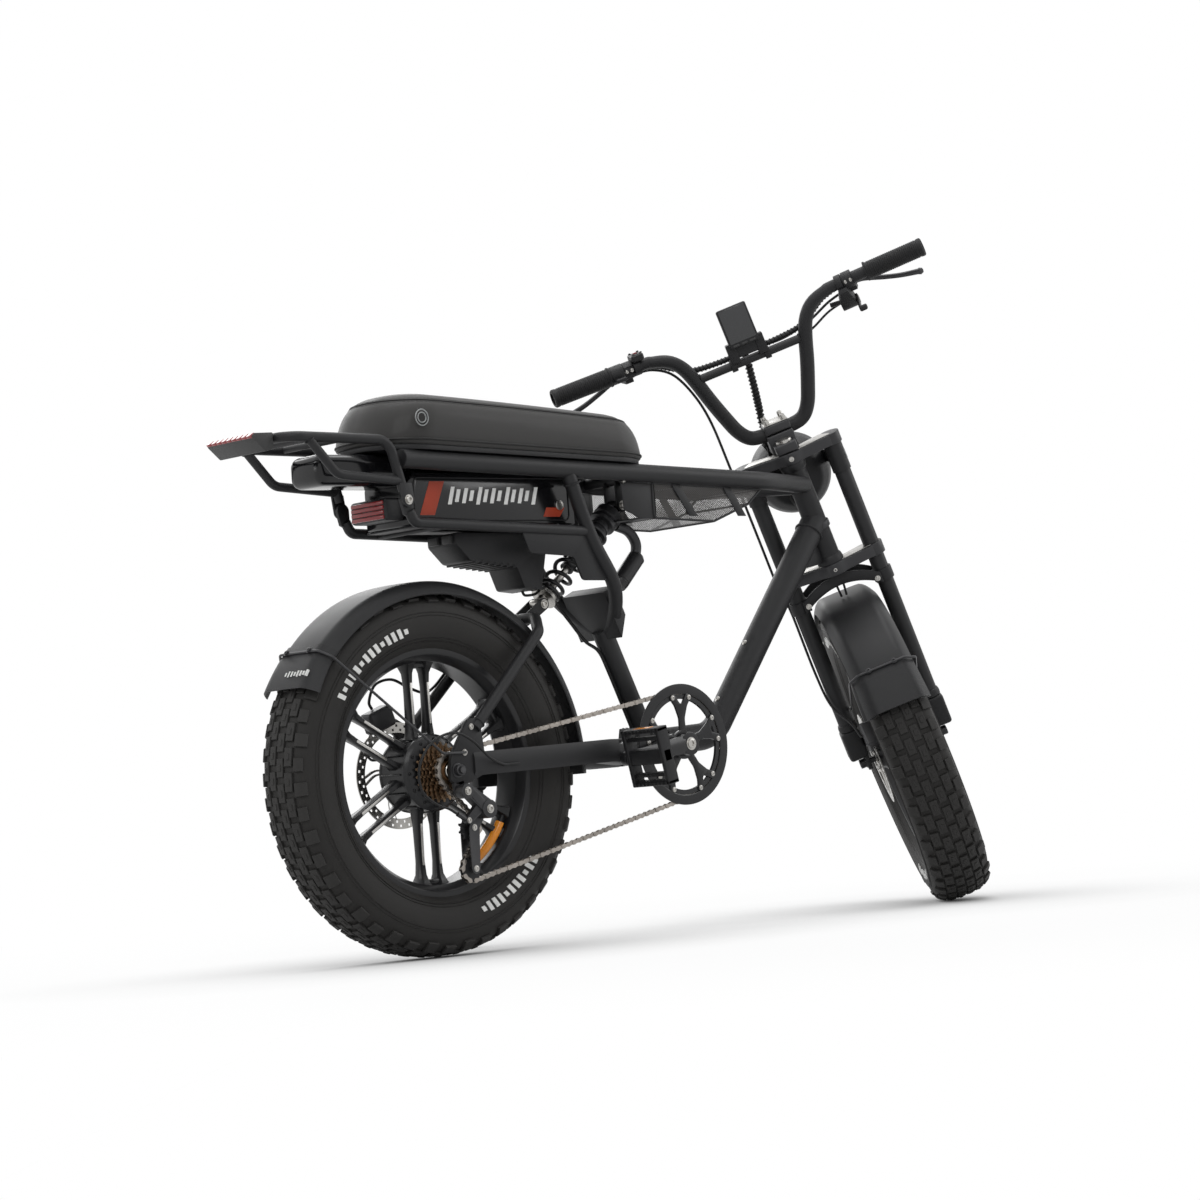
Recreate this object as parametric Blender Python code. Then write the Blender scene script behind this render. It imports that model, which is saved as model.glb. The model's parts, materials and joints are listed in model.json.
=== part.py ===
"""Full-suspension electric bicycle with fat 20 inch tyres, a bench seat and a dual-crown fork.

Bike frame of reference: metres, x forward, y left, z up, floor at z = 0, rear axle above the origin.
Steering frame of reference: x forward, y left, z up along the steering axis, origin beside the front axle.
"""
import math

import bmesh
import bpy
from mathutils import Matrix, Vector

# Fits
GAP = 0.0003
RUN = 0.0006
WELD = 0.000002
FLAT_ANGLE = math.radians(0.02)

# Wheels and tyres
TYRE_RADIUS = 0.307
TYRE_HALF_WIDTH = 0.0575
TYRE_STEPS = 20
CROWN_HALF_WIDTH = 0.020
SHOULDER_SHARE = 0.892
WIDEST_SHARE = 0.464
BEAD_SHARE = 0.046
TYRE_WALL = 0.0075
RIM_RADIUS = 0.210
RIM_HALF_WIDTH = 0.0394
RIM_FLANGE = 0.003
BEAD_SEAT_RADIUS = 0.2025
RIM_INNER_RADIUS = 0.186
SPOKE_PAIRS = 6
SPOKE_SPACING = 0.036
SPOKE_WIDTH = 0.011
SPOKE_DEPTH = 0.016
AXLE_RADIUS = 0.006
REAR_HUB_FACE = 0.0394
WHEEL_BORE_SIDES = 12
# The frame is laid out round this axle height, and another tyre radius lifts the bicycle
AXLE_HEIGHT = 0.307
LIFT = TYRE_RADIUS - AXLE_HEIGHT
REAR_FENDER_CLEARANCE = 0.0164
FRONT_FENDER_CLEARANCE = 0.0150
ROTOR_RADIUS = 0.090
ROTOR_INNER_RADIUS = 0.072
ROTOR_THICKNESS = 0.002
ROTOR_ARMS = 5

# Steering geometry
WHEELBASE_FOOT_X = 1.1879
HEAD_ANGLE = math.radians(65.76)
STEER_REST = math.radians(49.33)
FORK_OFFSET = 0.0193

# Main frame
RAIL_Y = 0.0852
RAIL_RADIUS = 0.016
RAIL_REAR_X = -0.0670
RAIL_REAR_Z = 0.826
RAIL_SLOPE = -0.03785
RAIL_BEND_BACK = 0.183
RAIL_END_Y = 0.010
RAIL_JOIN_HEIGHT = 0.5519
RAIL_JOIN_OFFSET = -0.0033
DOWN_TUBE_JOIN_HEIGHT = 0.4828
DOWN_TUBE_JOIN_OFFSET = 0.0023
CROSS_TUBE_BACK = 0.135
CROSS_TUBE_Z = 0.800
LOWER_RAIL_RADIUS = 0.009
STAY_RADIUS = 0.0125
SEAT_TUBE_RADIUS = 0.0185
DOWN_TUBE_RADIUS = 0.0245
HEAD_TUBE_RADIUS = 0.0215
STEERER_RADIUS = 0.0143
HEAD_TUBE_LOW = 0.3953
HEAD_TUBE_TOP = 0.5997
FRAME_LUG = (-0.0627, 0.757)
LUG_RADIUS = 0.0125
TRAY_TOP = 0.7173
TRAY_THICKNESS = 0.003
BOTTOM_BRACKET = (0.531, 0.327)
BB_HALF_WIDTH = 0.050
BB_RADIUS = 0.021
SPINDLE_RADIUS = 0.0085

# Rear suspension
PIVOT = (0.410, 0.313)
PIVOT_RADIUS = 0.018
PIVOT_HALF_WIDTH = 0.0385
PIVOT_BOLT_RADIUS = 0.006
SHOCK_LOW = (0.286, 0.585)
SHOCK_TOP = (0.487, 0.757)
SHOCK_EYE_RADIUS = 0.0115
SHOCK_EYE_HALF_WIDTH = 0.012
SHOCK_BOLT_RADIUS = 0.004
OPEN_PIVOT_CLEARANCE = 0.0020
CHAINSTAY_Y = 0.088
DROPOUT_Y = 0.0845
DROPOUT_THICKNESS = 0.008

# Drivetrain
CHAIN_Y = -0.075
CHAIN_HALF_HEIGHT = 0.004
CHAIN_HALF_WIDTH = 0.003
BELT_STEP = math.radians(20)
CHAINRING_RADIUS = 0.093
SPROCKET_RADIUS = 0.0285
SPROCKETS = 7
SPROCKET_PITCH = 0.005
FREEWHEEL_CLEARANCE = 0.0009
LARGE_SPROCKET_RADIUS = 0.0485
GUARD_RADIUS = 0.1065
CRANK_LENGTH = 0.165
CRANK_ANGLE = math.radians(6.6)
PEDAL_Y = 0.166
PEDAL_HALF_WIDTH = 0.046
PEDAL_HALF_LENGTH = 0.050
GUIDE_PULLEY = (0.0314, 0.2111)
TENSION_PULLEY = (0.0293, 0.1431)
PULLEY_RADIUS = 0.0205
CAGE_PIVOT = (0.049, 0.240)

# Fork and cockpit, in the steering frame
LEG_Y = 0.0846
LEG_RADIUS = 0.0155
LEG_TOP = 0.6205
LEG_BOTTOM = 0.073
LOWER_CROWN = (0.372, 0.395)
UPPER_CROWN = (0.600, 0.622)
CROWN_CLAMP_RADIUS = 0.0205
BAR_X = 0.030
BAR_Z = 0.661
BAR_RADIUS = 0.0135
BAR_END_RADIUS = 0.0111
GRIP_ROOT = (-0.006, 0.200, 0.8795)
GRIP_TIP = (-0.040, 0.3675, 0.889)
CROSSBAR_RADIUS = 0.008
CROSSBAR_Z = 0.810
CROSSBAR_X = 0.006


def clear_scene():
    for old in list(bpy.data.objects):
        bpy.data.objects.remove(old)


def material(name, colour, roughness, metallic):
    made = bpy.data.materials.new(name)
    made.use_nodes = True
    shader = made.node_tree.nodes["Principled BSDF"]
    shader.inputs["Base Color"].default_value = (*colour, 1.0)
    shader.inputs["Roughness"].default_value = roughness
    shader.inputs["Metallic"].default_value = metallic
    made.diffuse_color = (*colour, 1.0)
    return made


def from_bmesh(shape):
    bmesh.ops.remove_doubles(shape, verts=shape.verts, dist=1e-6)
    bmesh.ops.recalc_face_normals(shape, faces=shape.faces)
    mesh = bpy.data.meshes.new("solid")
    shape.to_mesh(mesh)
    shape.free()
    made = bpy.data.objects.new("solid", mesh)
    bpy.context.scene.collection.objects.link(made)
    return made


def toward(direction):
    """Rotation that turns the z axis into the direction."""
    return Vector(direction).to_track_quat("Z", "Y").to_matrix().to_4x4()


def turned(profile, steps, centre=(0, 0, 0), direction=(0, 1, 0), half_step=False, ring=True):
    """Solid of revolution from (radius, height) points around the direction through the centre."""
    shape = bmesh.new()
    points = [shape.verts.new((radius, 0.0, height)) for radius, height in profile]
    edges = [shape.edges.new(pair) for pair in zip(points, points[1:])]
    if ring:
        edges.append(shape.edges.new((points[-1], points[0])))
    if half_step:
        bmesh.ops.rotate(shape, verts=shape.verts, matrix=Matrix.Rotation(math.pi / steps, 3, "Z"))
    bmesh.ops.spin(shape, geom=points + edges, cent=(0, 0, 0), axis=(0, 0, 1), angle=math.tau,
                   steps=steps, use_merge=True)
    bmesh.ops.remove_doubles(shape, verts=shape.verts, dist=1e-6)
    poles = [vertex for vertex in shape.verts if vertex.co.xy.length < 1e-6]
    bmesh.ops.dissolve_verts(shape, verts=poles)
    bmesh.ops.transform(shape, verts=shape.verts, matrix=Matrix.Translation(centre) @ toward(direction))
    return from_bmesh(shape)


def rod(start, end, radius, steps=12, end_radius=None):
    start = Vector(start)
    run = Vector(end) - start
    last = radius if end_radius is None else end_radius
    profile = [(0.0, 0.0), (radius, 0.0), (last, run.length), (0.0, run.length)]
    return turned(profile, steps, start, run, ring=False)


def tube(points, radius, resolution=2, radii=None):
    """Round bar along the points, with flat ends; it has 4 + 2 * resolution sides."""
    curve = bpy.data.curves.new("tube", "CURVE")
    curve.dimensions = "3D"
    curve.bevel_depth = radius
    curve.bevel_resolution = resolution
    curve.use_fill_caps = True
    spline = curve.splines.new("POLY")
    spline.points.add(len(points) - 1)
    for index, place in enumerate(points):
        spline.points[index].co = (*place, 1.0)
        if radii:
            spline.points[index].radius = radii[index] / radius
    holder = bpy.data.objects.new("tube", curve)
    bpy.context.scene.collection.objects.link(holder)
    shape = bmesh.new()
    shape.from_mesh(bpy.data.meshes.new_from_object(holder))
    bpy.data.objects.remove(holder)
    return from_bmesh(shape)


def bent(corners, radius, step=math.radians(18)):
    """Polyline through the corners with each inner corner rounded to the radius."""
    corners = [Vector(corner) for corner in corners]
    path = [corners[0]]
    for before, corner, after in zip(corners, corners[1:], corners[2:]):
        back = (before - corner).normalized()
        ahead = (after - corner).normalized()
        turn = math.pi - back.angle(ahead)
        reach = radius * math.tan(turn / 2)
        centre = corner + (back + ahead).normalized() * (radius / math.cos(turn / 2))
        first = corner + back * reach - centre
        axis = first.cross(corner + ahead * reach - centre).normalized()
        count = max(2, math.ceil(turn / step))
        for index in range(count + 1):
            path.append(centre + Matrix.Rotation(turn * index / count, 3, axis) @ first)
    path.append(corners[-1])
    return path


def smooth(route, per_span=4):
    """Points on a Catmull-Rom curve through the route."""
    route = [Vector(place) for place in route]
    padded = [route[0] * 2 - route[1], *route, route[-1] * 2 - route[-2]]
    path = []
    for p0, p1, p2, p3 in zip(padded, padded[1:], padded[2:], padded[3:]):
        for index in range(per_span):
            t = index / per_span
            path.append(0.5 * (2 * p1 + (p2 - p0) * t + (2 * p0 - 5 * p1 + 4 * p2 - p3) * t * t
                               + (3 * p1 - p0 - 3 * p2 + p3) * t * t * t))
    path.append(route[-1])
    return path


def block(low, high, bevel=0.0, segments=1, placed=None):
    """Box between two corners, in the frame of the placed matrix."""
    low = Vector(low)
    high = Vector(high)
    shape = bmesh.new()
    bmesh.ops.create_cube(shape, size=1.0)
    bmesh.ops.scale(shape, vec=high - low, verts=shape.verts)
    bmesh.ops.translate(shape, vec=(low + high) / 2, verts=shape.verts)
    if bevel:
        bmesh.ops.bevel(shape, geom=shape.edges[:], offset=bevel, segments=segments, affect="EDGES",
                        profile=0.5)
    if placed:
        bmesh.ops.transform(shape, verts=shape.verts, matrix=placed)
    return from_bmesh(shape)


def prism(outline, start, end, axis="y", bevel=0.0):
    """Outline extruded along an axis from start to end; the outline gives the other two coordinates."""
    build = {"x": lambda a, b, d: (d, a, b), "y": lambda a, b, d: (a, d, b), "z": lambda a, b, d: (a, b, d)}
    shape = bmesh.new()
    face = shape.faces.new([shape.verts.new(build[axis](a, b, start)) for a, b in outline])
    grown = bmesh.ops.extrude_face_region(shape, geom=[face])["geom"]
    moved = [item for item in grown if isinstance(item, bmesh.types.BMVert)]
    bmesh.ops.translate(shape, vec=build[axis](0, 0, end - start), verts=moved)
    if bevel:
        bmesh.ops.bevel(shape, geom=shape.edges[:], offset=bevel, segments=1, affect="EDGES", profile=0.5)
    return from_bmesh(shape)


def hull(*solids):
    """Convex body round the solids, which it takes the place of."""
    shape = bmesh.new()
    for solid in solids:
        for vertex in solid.data.vertices:
            shape.verts.new(vertex.co)
        bpy.data.objects.remove(solid)
    bmesh.ops.remove_doubles(shape, verts=shape.verts, dist=1e-6)
    made = bmesh.ops.convex_hull(shape, input=shape.verts)
    unused = [item for item in made["geom_interior"] + made["geom_unused"]
              if isinstance(item, bmesh.types.BMVert)]
    bmesh.ops.delete(shape, geom=list(set(unused)), context="VERTS")
    return from_bmesh(shape)


def circle(centre, radius, count, start=0.0, end=math.tau):
    """Points on a circle; a whole turn leaves out the repeated last point."""
    spans = count if end - start >= math.tau - 1e-9 else count - 1
    angles = [start + (end - start) * index / spans for index in range(count)]
    return [(centre[0] + radius * math.cos(angle), centre[1] + radius * math.sin(angle)) for angle in angles]


def combine(base, others, operation):
    """Apply the Boolean with each other solid in turn, and weld the slivers it leaves."""
    for other in others:
        change = base.modifiers.new("change", "BOOLEAN")
        change.operation = operation
        change.object = other
        bpy.context.view_layer.update()
        graph = bpy.context.evaluated_depsgraph_get()
        shape = bmesh.new()
        shape.from_mesh(bpy.data.meshes.new_from_object(base.evaluated_get(graph)))
        bmesh.ops.remove_doubles(shape, verts=shape.verts, dist=WELD)
        bmesh.ops.dissolve_degenerate(shape, edges=shape.edges, dist=WELD)
        base.modifiers.clear()
        shape.to_mesh(base.data)
        shape.free()
        bpy.data.objects.remove(other)
    return tidied(base)


def tidied(solid):
    """Join the flat faces that Booleans split, and drop the points in straight edges."""
    shape = bmesh.new()
    shape.from_mesh(solid.data)
    bmesh.ops.dissolve_limit(shape, angle_limit=FLAT_ANGLE, use_dissolve_boundaries=False,
                             verts=shape.verts, edges=shape.edges, delimit=set())
    shape.to_mesh(solid.data)
    shape.free()
    return solid


def union(*solids):
    return combine(solids[0], solids[1:], "UNION")


def cut(base, *cutters):
    return combine(base, cutters, "DIFFERENCE")


def bore(radius, clearance, steps):
    """Radius of a faceted hole whose flats clear a round bar."""
    return (radius + clearance) / math.cos(math.pi / steps)


def empty(name, place, parent=None):
    made = bpy.data.objects.new(name, None)
    bpy.context.scene.collection.objects.link(made)
    made["place"] = list(place)
    made.location = place
    if parent:
        made.parent = parent
        made.location = Vector(place) - Vector(parent["place"])
    return made


def node(name, solid, look, origin=(0, 0, 0), parent=None, sharp=35):
    """Name a finished solid, set its material, and hang it on its joint's empty."""
    solid.name = name
    solid.data.name = name
    solid.data.transform(Matrix.Translation(-Vector(origin)))
    solid.location = origin
    if parent:
        solid.parent = parent
        solid.location = Vector(origin) - Vector(parent["place"])
    solid.data.materials.clear()
    solid.data.materials.append(look)
    solid.data.shade_smooth()
    solid.data.set_sharp_from_angle(angle=math.radians(sharp))
    return solid


def rail_z(x):
    """Height of the main rails' centre line."""
    return RAIL_REAR_Z + RAIL_SLOPE * (x - RAIL_REAR_X)


def tyre_radius_at(share):
    """Radius at a share of the tyre's height above the rim."""
    return RIM_RADIUS + share * (TYRE_RADIUS - RIM_RADIUS)


def tyre_profile():
    """Outer tread points as (radius, half width), from the crown to the bead."""
    return [(TYRE_RADIUS, CROWN_HALF_WIDTH), (tyre_radius_at(SHOULDER_SHARE), 0.0435),
            (tyre_radius_at(WIDEST_SHARE), TYRE_HALF_WIDTH), (tyre_radius_at(BEAD_SHARE), 0.0455)]


def foot_height():
    """Height of the steering frame's origin that stands the leaning front tyre on the floor."""
    lean = math.asin(math.sin(STEER_REST) * math.cos(HEAD_ANGLE))
    reach = max(radius * math.cos(lean) + half * math.sin(lean) for radius, half in tyre_profile())
    return reach - FORK_OFFSET * math.cos(HEAD_ANGLE) * math.cos(STEER_REST)


STEER_FOOT = (WHEELBASE_FOOT_X, 0.0, foot_height() - LIFT)
STEER_AXIS = Vector((-math.cos(HEAD_ANGLE), 0.0, math.sin(HEAD_ANGLE)))


def steer_point(height):
    """Point of the steering axis in the bike's frame."""
    return Vector(STEER_FOOT) + STEER_AXIS * height


RAIL_FRONT = steer_point(RAIL_JOIN_HEIGHT) + Vector((RAIL_JOIN_OFFSET, 0, 0))
RAIL_BEND_X = RAIL_FRONT.x - RAIL_BEND_BACK
CROSS_TUBE_X = RAIL_BEND_X - CROSS_TUBE_BACK
DOWN_TUBE_TOP = steer_point(DOWN_TUBE_JOIN_HEIGHT) + Vector((DOWN_TUBE_JOIN_OFFSET, 0, 0))


# Materials
def make_looks():
    return {
        "frame": material("frame_paint", (0.035, 0.035, 0.037), 0.42, 0.3),
        "steel": material("bright_steel", (0.62, 0.62, 0.60), 0.28, 1.0),
        "alloy": material("silver_alloy", (0.55, 0.54, 0.50), 0.35, 1.0),
        "dark": material("dark_metal", (0.045, 0.045, 0.048), 0.35, 0.8),
        "rubber": material("tyre_rubber", (0.030, 0.029, 0.029), 0.75, 0.0),
        "grip": material("grip_rubber", (0.022, 0.022, 0.023), 0.65, 0.0),
        "plastic": material("black_plastic", (0.020, 0.020, 0.022), 0.4, 0.0),
        "gloss": material("battery_case", (0.012, 0.012, 0.013), 0.12, 0.0),
        "leather": material("seat_cover", (0.075, 0.073, 0.070), 0.55, 0.0),
        "fender": material("fender_paint", (0.040, 0.040, 0.042), 0.3, 0.4),
        "chain": material("chain_steel", (0.55, 0.53, 0.50), 0.35, 1.0),
        "bronze": material("sprocket_bronze", (0.42, 0.30, 0.20), 0.4, 1.0),
        "red": material("red_lens", (0.35, 0.01, 0.015), 0.2, 0.0),
        "cable": material("cable_housing", (0.015, 0.015, 0.016), 0.5, 0.0),
        "glass": material("display_glass", (0.010, 0.010, 0.012), 0.15, 0.0),
    }


# Main frame
def build_main_frame(look):
    solids = []
    for side in (1, -1):
        y = side * RAIL_Y
        rail = bent([(RAIL_REAR_X, y, rail_z(RAIL_REAR_X)), (RAIL_BEND_X, y, rail_z(RAIL_BEND_X)),
                     (RAIL_FRONT.x, side * RAIL_END_Y, RAIL_FRONT.z)], 0.15, math.radians(18))
        solids.append(tube(rail, RAIL_RADIUS, 2))
        lower = bent([(-0.0572, y, 0.7390), (-0.047, y, 0.7195), (0.345, y, 0.7035)], 0.016, math.radians(35))
        solids.append(tube(lower, LOWER_RAIL_RADIUS, 1))
        lug = [*circle(FRAME_LUG, LUG_RADIUS, 6, 0.0, math.pi), (-0.0690, 0.733), (-0.0500, 0.724)]
        solids.append(prism(lug, y - 0.0035, y + 0.0035))
        stay = smooth([(0.302, y, 0.802), (0.343, y, 0.695), (0.384, y, 0.624), (0.405, side * 0.070, 0.588),
                       (0.424, side * 0.040, 0.556), (0.436, side * 0.010, 0.532)], 1)
        solids.append(tube(stay, STAY_RADIUS))
        gusset = [(0.185, 0.704), (0.200, 0.667), (0.298, 0.661), (0.317, 0.619), (0.382, 0.618),
                  (0.345, 0.706)]
        solids.append(prism(gusset, y - 0.0025, y + 0.0025))
    seat_tube = rod((0.430, 0.0, 0.538), (0.520, 0.0, 0.335), SEAT_TUBE_RADIUS, 8)
    down_tube = tube(bent([(0.533, 0, 0.334), (0.680, 0, 0.341), DOWN_TUBE_TOP], 0.07), DOWN_TUBE_RADIUS)
    head_tube = rod(steer_point(HEAD_TUBE_LOW), steer_point(HEAD_TUBE_TOP), HEAD_TUBE_RADIUS, 14)
    web = prism([(0.392, 0.600), (0.428, 0.520), (0.440, 0.560), (0.418, 0.612)], -0.0545, 0.0545)
    corners = ((-0.042, -0.093), (0.016, -0.082), (0.026, -0.043), (-0.012, -0.033))
    head_gusset = prism([(DOWN_TUBE_TOP.x + x, DOWN_TUBE_TOP.z + z) for x, z in corners], -0.003, 0.003)
    bb_shell = rod((BOTTOM_BRACKET[0], -BB_HALF_WIDTH, BOTTOM_BRACKET[1]),
                   (BOTTOM_BRACKET[0], BB_HALF_WIDTH, BOTTOM_BRACKET[1]), BB_RADIUS, 12)
    pivot_shell = rod((PIVOT[0], -PIVOT_HALF_WIDTH, PIVOT[1]), (PIVOT[0], PIVOT_HALF_WIDTH, PIVOT[1]),
                      PIVOT_RADIUS, 12)
    pivot_arm = block((PIVOT[0] + 0.004, -0.021, PIVOT[1] - 0.012), (0.525, 0.021, PIVOT[1] + 0.019))
    crosses = [rod((x, -RAIL_Y, z), (x, RAIL_Y, z), radius, 6)
               for x, z, radius in ((0.487, 0.8035, 0.010), (CROSS_TUBE_X, CROSS_TUBE_Z, 0.009),
                                    (0.010, 0.7125, 0.0045), (0.270, 0.7125, 0.0045))]
    tray = block((-0.030, -0.064, TRAY_TOP - TRAY_THICKNESS), (0.325, 0.064, TRAY_TOP))
    tabs = []
    for side in (1, -1):
        outline = [(0.475, 0.800), *circle(SHOCK_TOP, SHOCK_EYE_RADIUS, 8, math.pi, math.tau), (0.499, 0.800)]
        inner = SHOCK_EYE_HALF_WIDTH + GAP
        tabs.append(prism(outline, side * inner, side * (inner + 0.005)))
    bolt = rod((SHOCK_TOP[0], -0.022, SHOCK_TOP[1]), (SHOCK_TOP[0], 0.022, SHOCK_TOP[1]),
               SHOCK_BOLT_RADIUS, 8)
    whole = union(head_tube, *solids, seat_tube, down_tube, web, head_gusset, bb_shell, pivot_shell,
                  pivot_arm, *crosses, tray, *tabs, bolt)
    steerer_hole = rod(steer_point(HEAD_TUBE_LOW - 0.02), steer_point(HEAD_TUBE_TOP + 0.02),
                       bore(STEERER_RADIUS, GAP, 12), 12)
    bb_hole = rod((BOTTOM_BRACKET[0], -0.08, BOTTOM_BRACKET[1]), (BOTTOM_BRACKET[0], 0.08, BOTTOM_BRACKET[1]),
                  bore(SPINDLE_RADIUS, GAP, 12), 12)
    pivot_hole = rod((PIVOT[0], -0.08, PIVOT[1]), (PIVOT[0], 0.08, PIVOT[1]),
                     bore(PIVOT_BOLT_RADIUS, GAP, 12), 12)
    node("main_frame", cut(whole, steerer_hole, bb_hole, pivot_hole), look["frame"])


def build_battery(look):
    main = block((-0.035, -0.058, TRAY_TOP + GAP), (0.335, 0.058, 0.806), 0.006)
    nose = block((-0.205, -0.045, 0.786), (-0.015, 0.045, 0.8395), 0.018, 2)
    node("battery_pack", union(main, nose), look["gloss"], (0.15, 0.0, TRAY_TOP + GAP))
    outline = [(0.079, 0.7077), (0.079, 0.688), (0.109, 0.659), (0.211, 0.648), (0.226, 0.612),
               (0.264, 0.608), (0.283, 0.685), (0.283, 0.7077)]
    node("controller_box", prism(outline, -0.038, 0.038, bevel=0.002), look["plastic"], (0.18, 0.0, 0.675))
    lamp = block((-0.078, -0.0475, 0.728), (-0.0353, 0.0475, 0.766), 0.006)
    node("rear_lamp", lamp, look["red"], (-0.0353, 0.0, 0.747))


# Seat
SEAT_TILT = math.atan(-RAIL_SLOPE)
SEAT_CENTRE = (0.205, 0.0, rail_z(0.205) + RAIL_RADIUS / math.cos(SEAT_TILT))
SEAT_HALF_LENGTH = 0.311
SEAT_HALF_WIDTH = 0.105
SEAT_END_RADIUS = 0.098
SEAT_BASE_THICKNESS = 0.009
SEAT_SIDES = 28


def seat_outline(inset):
    """Rounded bench outline, drawn in by the inset."""
    half_length = SEAT_HALF_LENGTH - inset
    half_width = SEAT_HALF_WIDTH - inset
    corner = max(SEAT_END_RADIUS - inset, 0.004)
    quarter = SEAT_SIDES // 4
    outline = []
    for number, (sx, sy) in enumerate(((1, 1), (-1, 1), (-1, -1), (1, -1))):
        centre = (sx * (half_length - corner), sy * (half_width - corner))
        start = number * math.pi / 2
        outline += circle(centre, corner, quarter, start, start + math.pi / 2)
    return outline


def seat_height(x):
    """Cushion thickness above its base at a place along the bench, full behind and lower in front."""
    along = (x + SEAT_HALF_LENGTH) / (2 * SEAT_HALF_LENGTH)
    return 0.094 - 0.004 * along - 0.012 * along ** 2


def build_seat(look):
    placed = Matrix.Translation(SEAT_CENTRE) @ Matrix.Rotation(SEAT_TILT, 4, "Y")
    base = prism(seat_outline(0.006), GAP, SEAT_BASE_THICKNESS, "z")
    base.matrix_world = placed
    seat_base = node("seat_base", base, look["plastic"])
    seat_base.matrix_world = placed
    shape = bmesh.new()
    # Each level is an inset of the outline and a share of the local height
    levels = [(0.005, 0.0), (0.001, 0.10), (0.0, 0.30), (0.002, 0.50), (0.008, 0.70), (0.018, 0.85),
              (0.034, 0.95), (0.056, 0.99), (0.080, 1.0)]
    rings = []
    for inset, share in levels:
        # The ends lean inward over the height
        lean = 1.0 - 0.085 * share
        ring = []
        for x, y in seat_outline(inset):
            height = SEAT_BASE_THICKNESS + GAP + share * seat_height(x)
            ring.append(shape.verts.new((x * lean, y, height)))
        rings.append(ring)
    for low, high in zip(rings, rings[1:]):
        for index in range(len(low)):
            following = (index + 1) % len(low)
            shape.faces.new((low[index], low[following], high[following], high[index]))
    shape.faces.new(rings[0])
    shape.faces.new(rings[-1])
    cushion = node("seat_cushion", from_bmesh(shape), look["leather"], sharp=60)
    cushion.matrix_world = placed


# Rear rack and lights
def build_rack(look):
    radius = 0.0085
    loop = []
    for side in (-1, 1):
        y = side * RAIL_Y
        half = [(-0.0665, y, 0.7725), (-0.0905, y, 0.8570), (-0.3000, y, 0.8605)]
        loop.append(half)
    loop = bent([*loop[0], *reversed(loop[1])], 0.034, math.radians(50))
    solids = [tube(loop, radius)]
    for side in (1, -1):
        y = side * RAIL_Y
        bar = bent([(-0.2560, y, 0.8570), (-0.2020, y, 0.7990), (-0.0745, y, 0.7890)], 0.03, math.radians(45))
        solids.append(tube(bar, 0.0078, 1))
        # The lug stands on the outer face of the frame's lug
        inner = RAIL_Y + 0.0035 + GAP
        outline = [*circle(FRAME_LUG, LUG_RADIUS, 6, math.pi, math.tau), (-0.0540, 0.785), (-0.0790, 0.785)]
        solids.append(prism(outline, side * inner, side * (inner + 0.0045)))
    for x in (-0.180, -0.245):
        solids.append(rod((x, -RAIL_Y + 0.001, 0.8590), (x, RAIL_Y - 0.001, 0.8590), 0.006, 6))
    node("rear_rack", union(*solids), look["frame"], (FRAME_LUG[0], 0.0, FRAME_LUG[1]))
    wedge = [(-0.3092, 0.869), (-0.3460, 0.8675), (-0.3520, 0.862), (-0.3480, 0.857), (-0.3260, 0.838),
             (-0.3092, 0.842)]
    node("tail_light", prism(wedge, -0.062, 0.062, bevel=0.001), look["red"], (-0.3092, 0.0, 0.856))


BASKET_DROP = 0.0002


def build_basket(look):
    side_y = 0.083
    wall = 0.002

    def under_rail(x, drop):
        return rail_z(x) - RAIL_RADIUS - drop

    front = RAIL_BEND_X - 0.007
    outer = [(0.425, under_rail(0.425, BASKET_DROP)), (0.430, 0.742), (0.463, 0.727), (front - 0.122, 0.721),
             (front - 0.033, 0.752), (front, under_rail(front, BASKET_DROP))]
    shell = prism(outer, -side_y, side_y)
    inner = [(0.514, 0.830), (0.514, 0.727), (front - 0.122, 0.7232), (front - 0.0345, 0.7545),
             (front - 0.003, 0.779), (front - 0.003, 0.830)]
    hollow = prism(inner, -side_y + wall, side_y - wall)
    bay = block((0.400, -side_y + wall, 0.70), (0.512, side_y - wall, 0.83))
    crossing = rod((CROSS_TUBE_X, -RAIL_Y, CROSS_TUBE_Z), (CROSS_TUBE_X, RAIL_Y, CROSS_TUBE_Z), 0.012, 10)
    node("mesh_basket", cut(shell, hollow, bay, crossing), look["steel"], (0.60, 0.0, 0.724))


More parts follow.
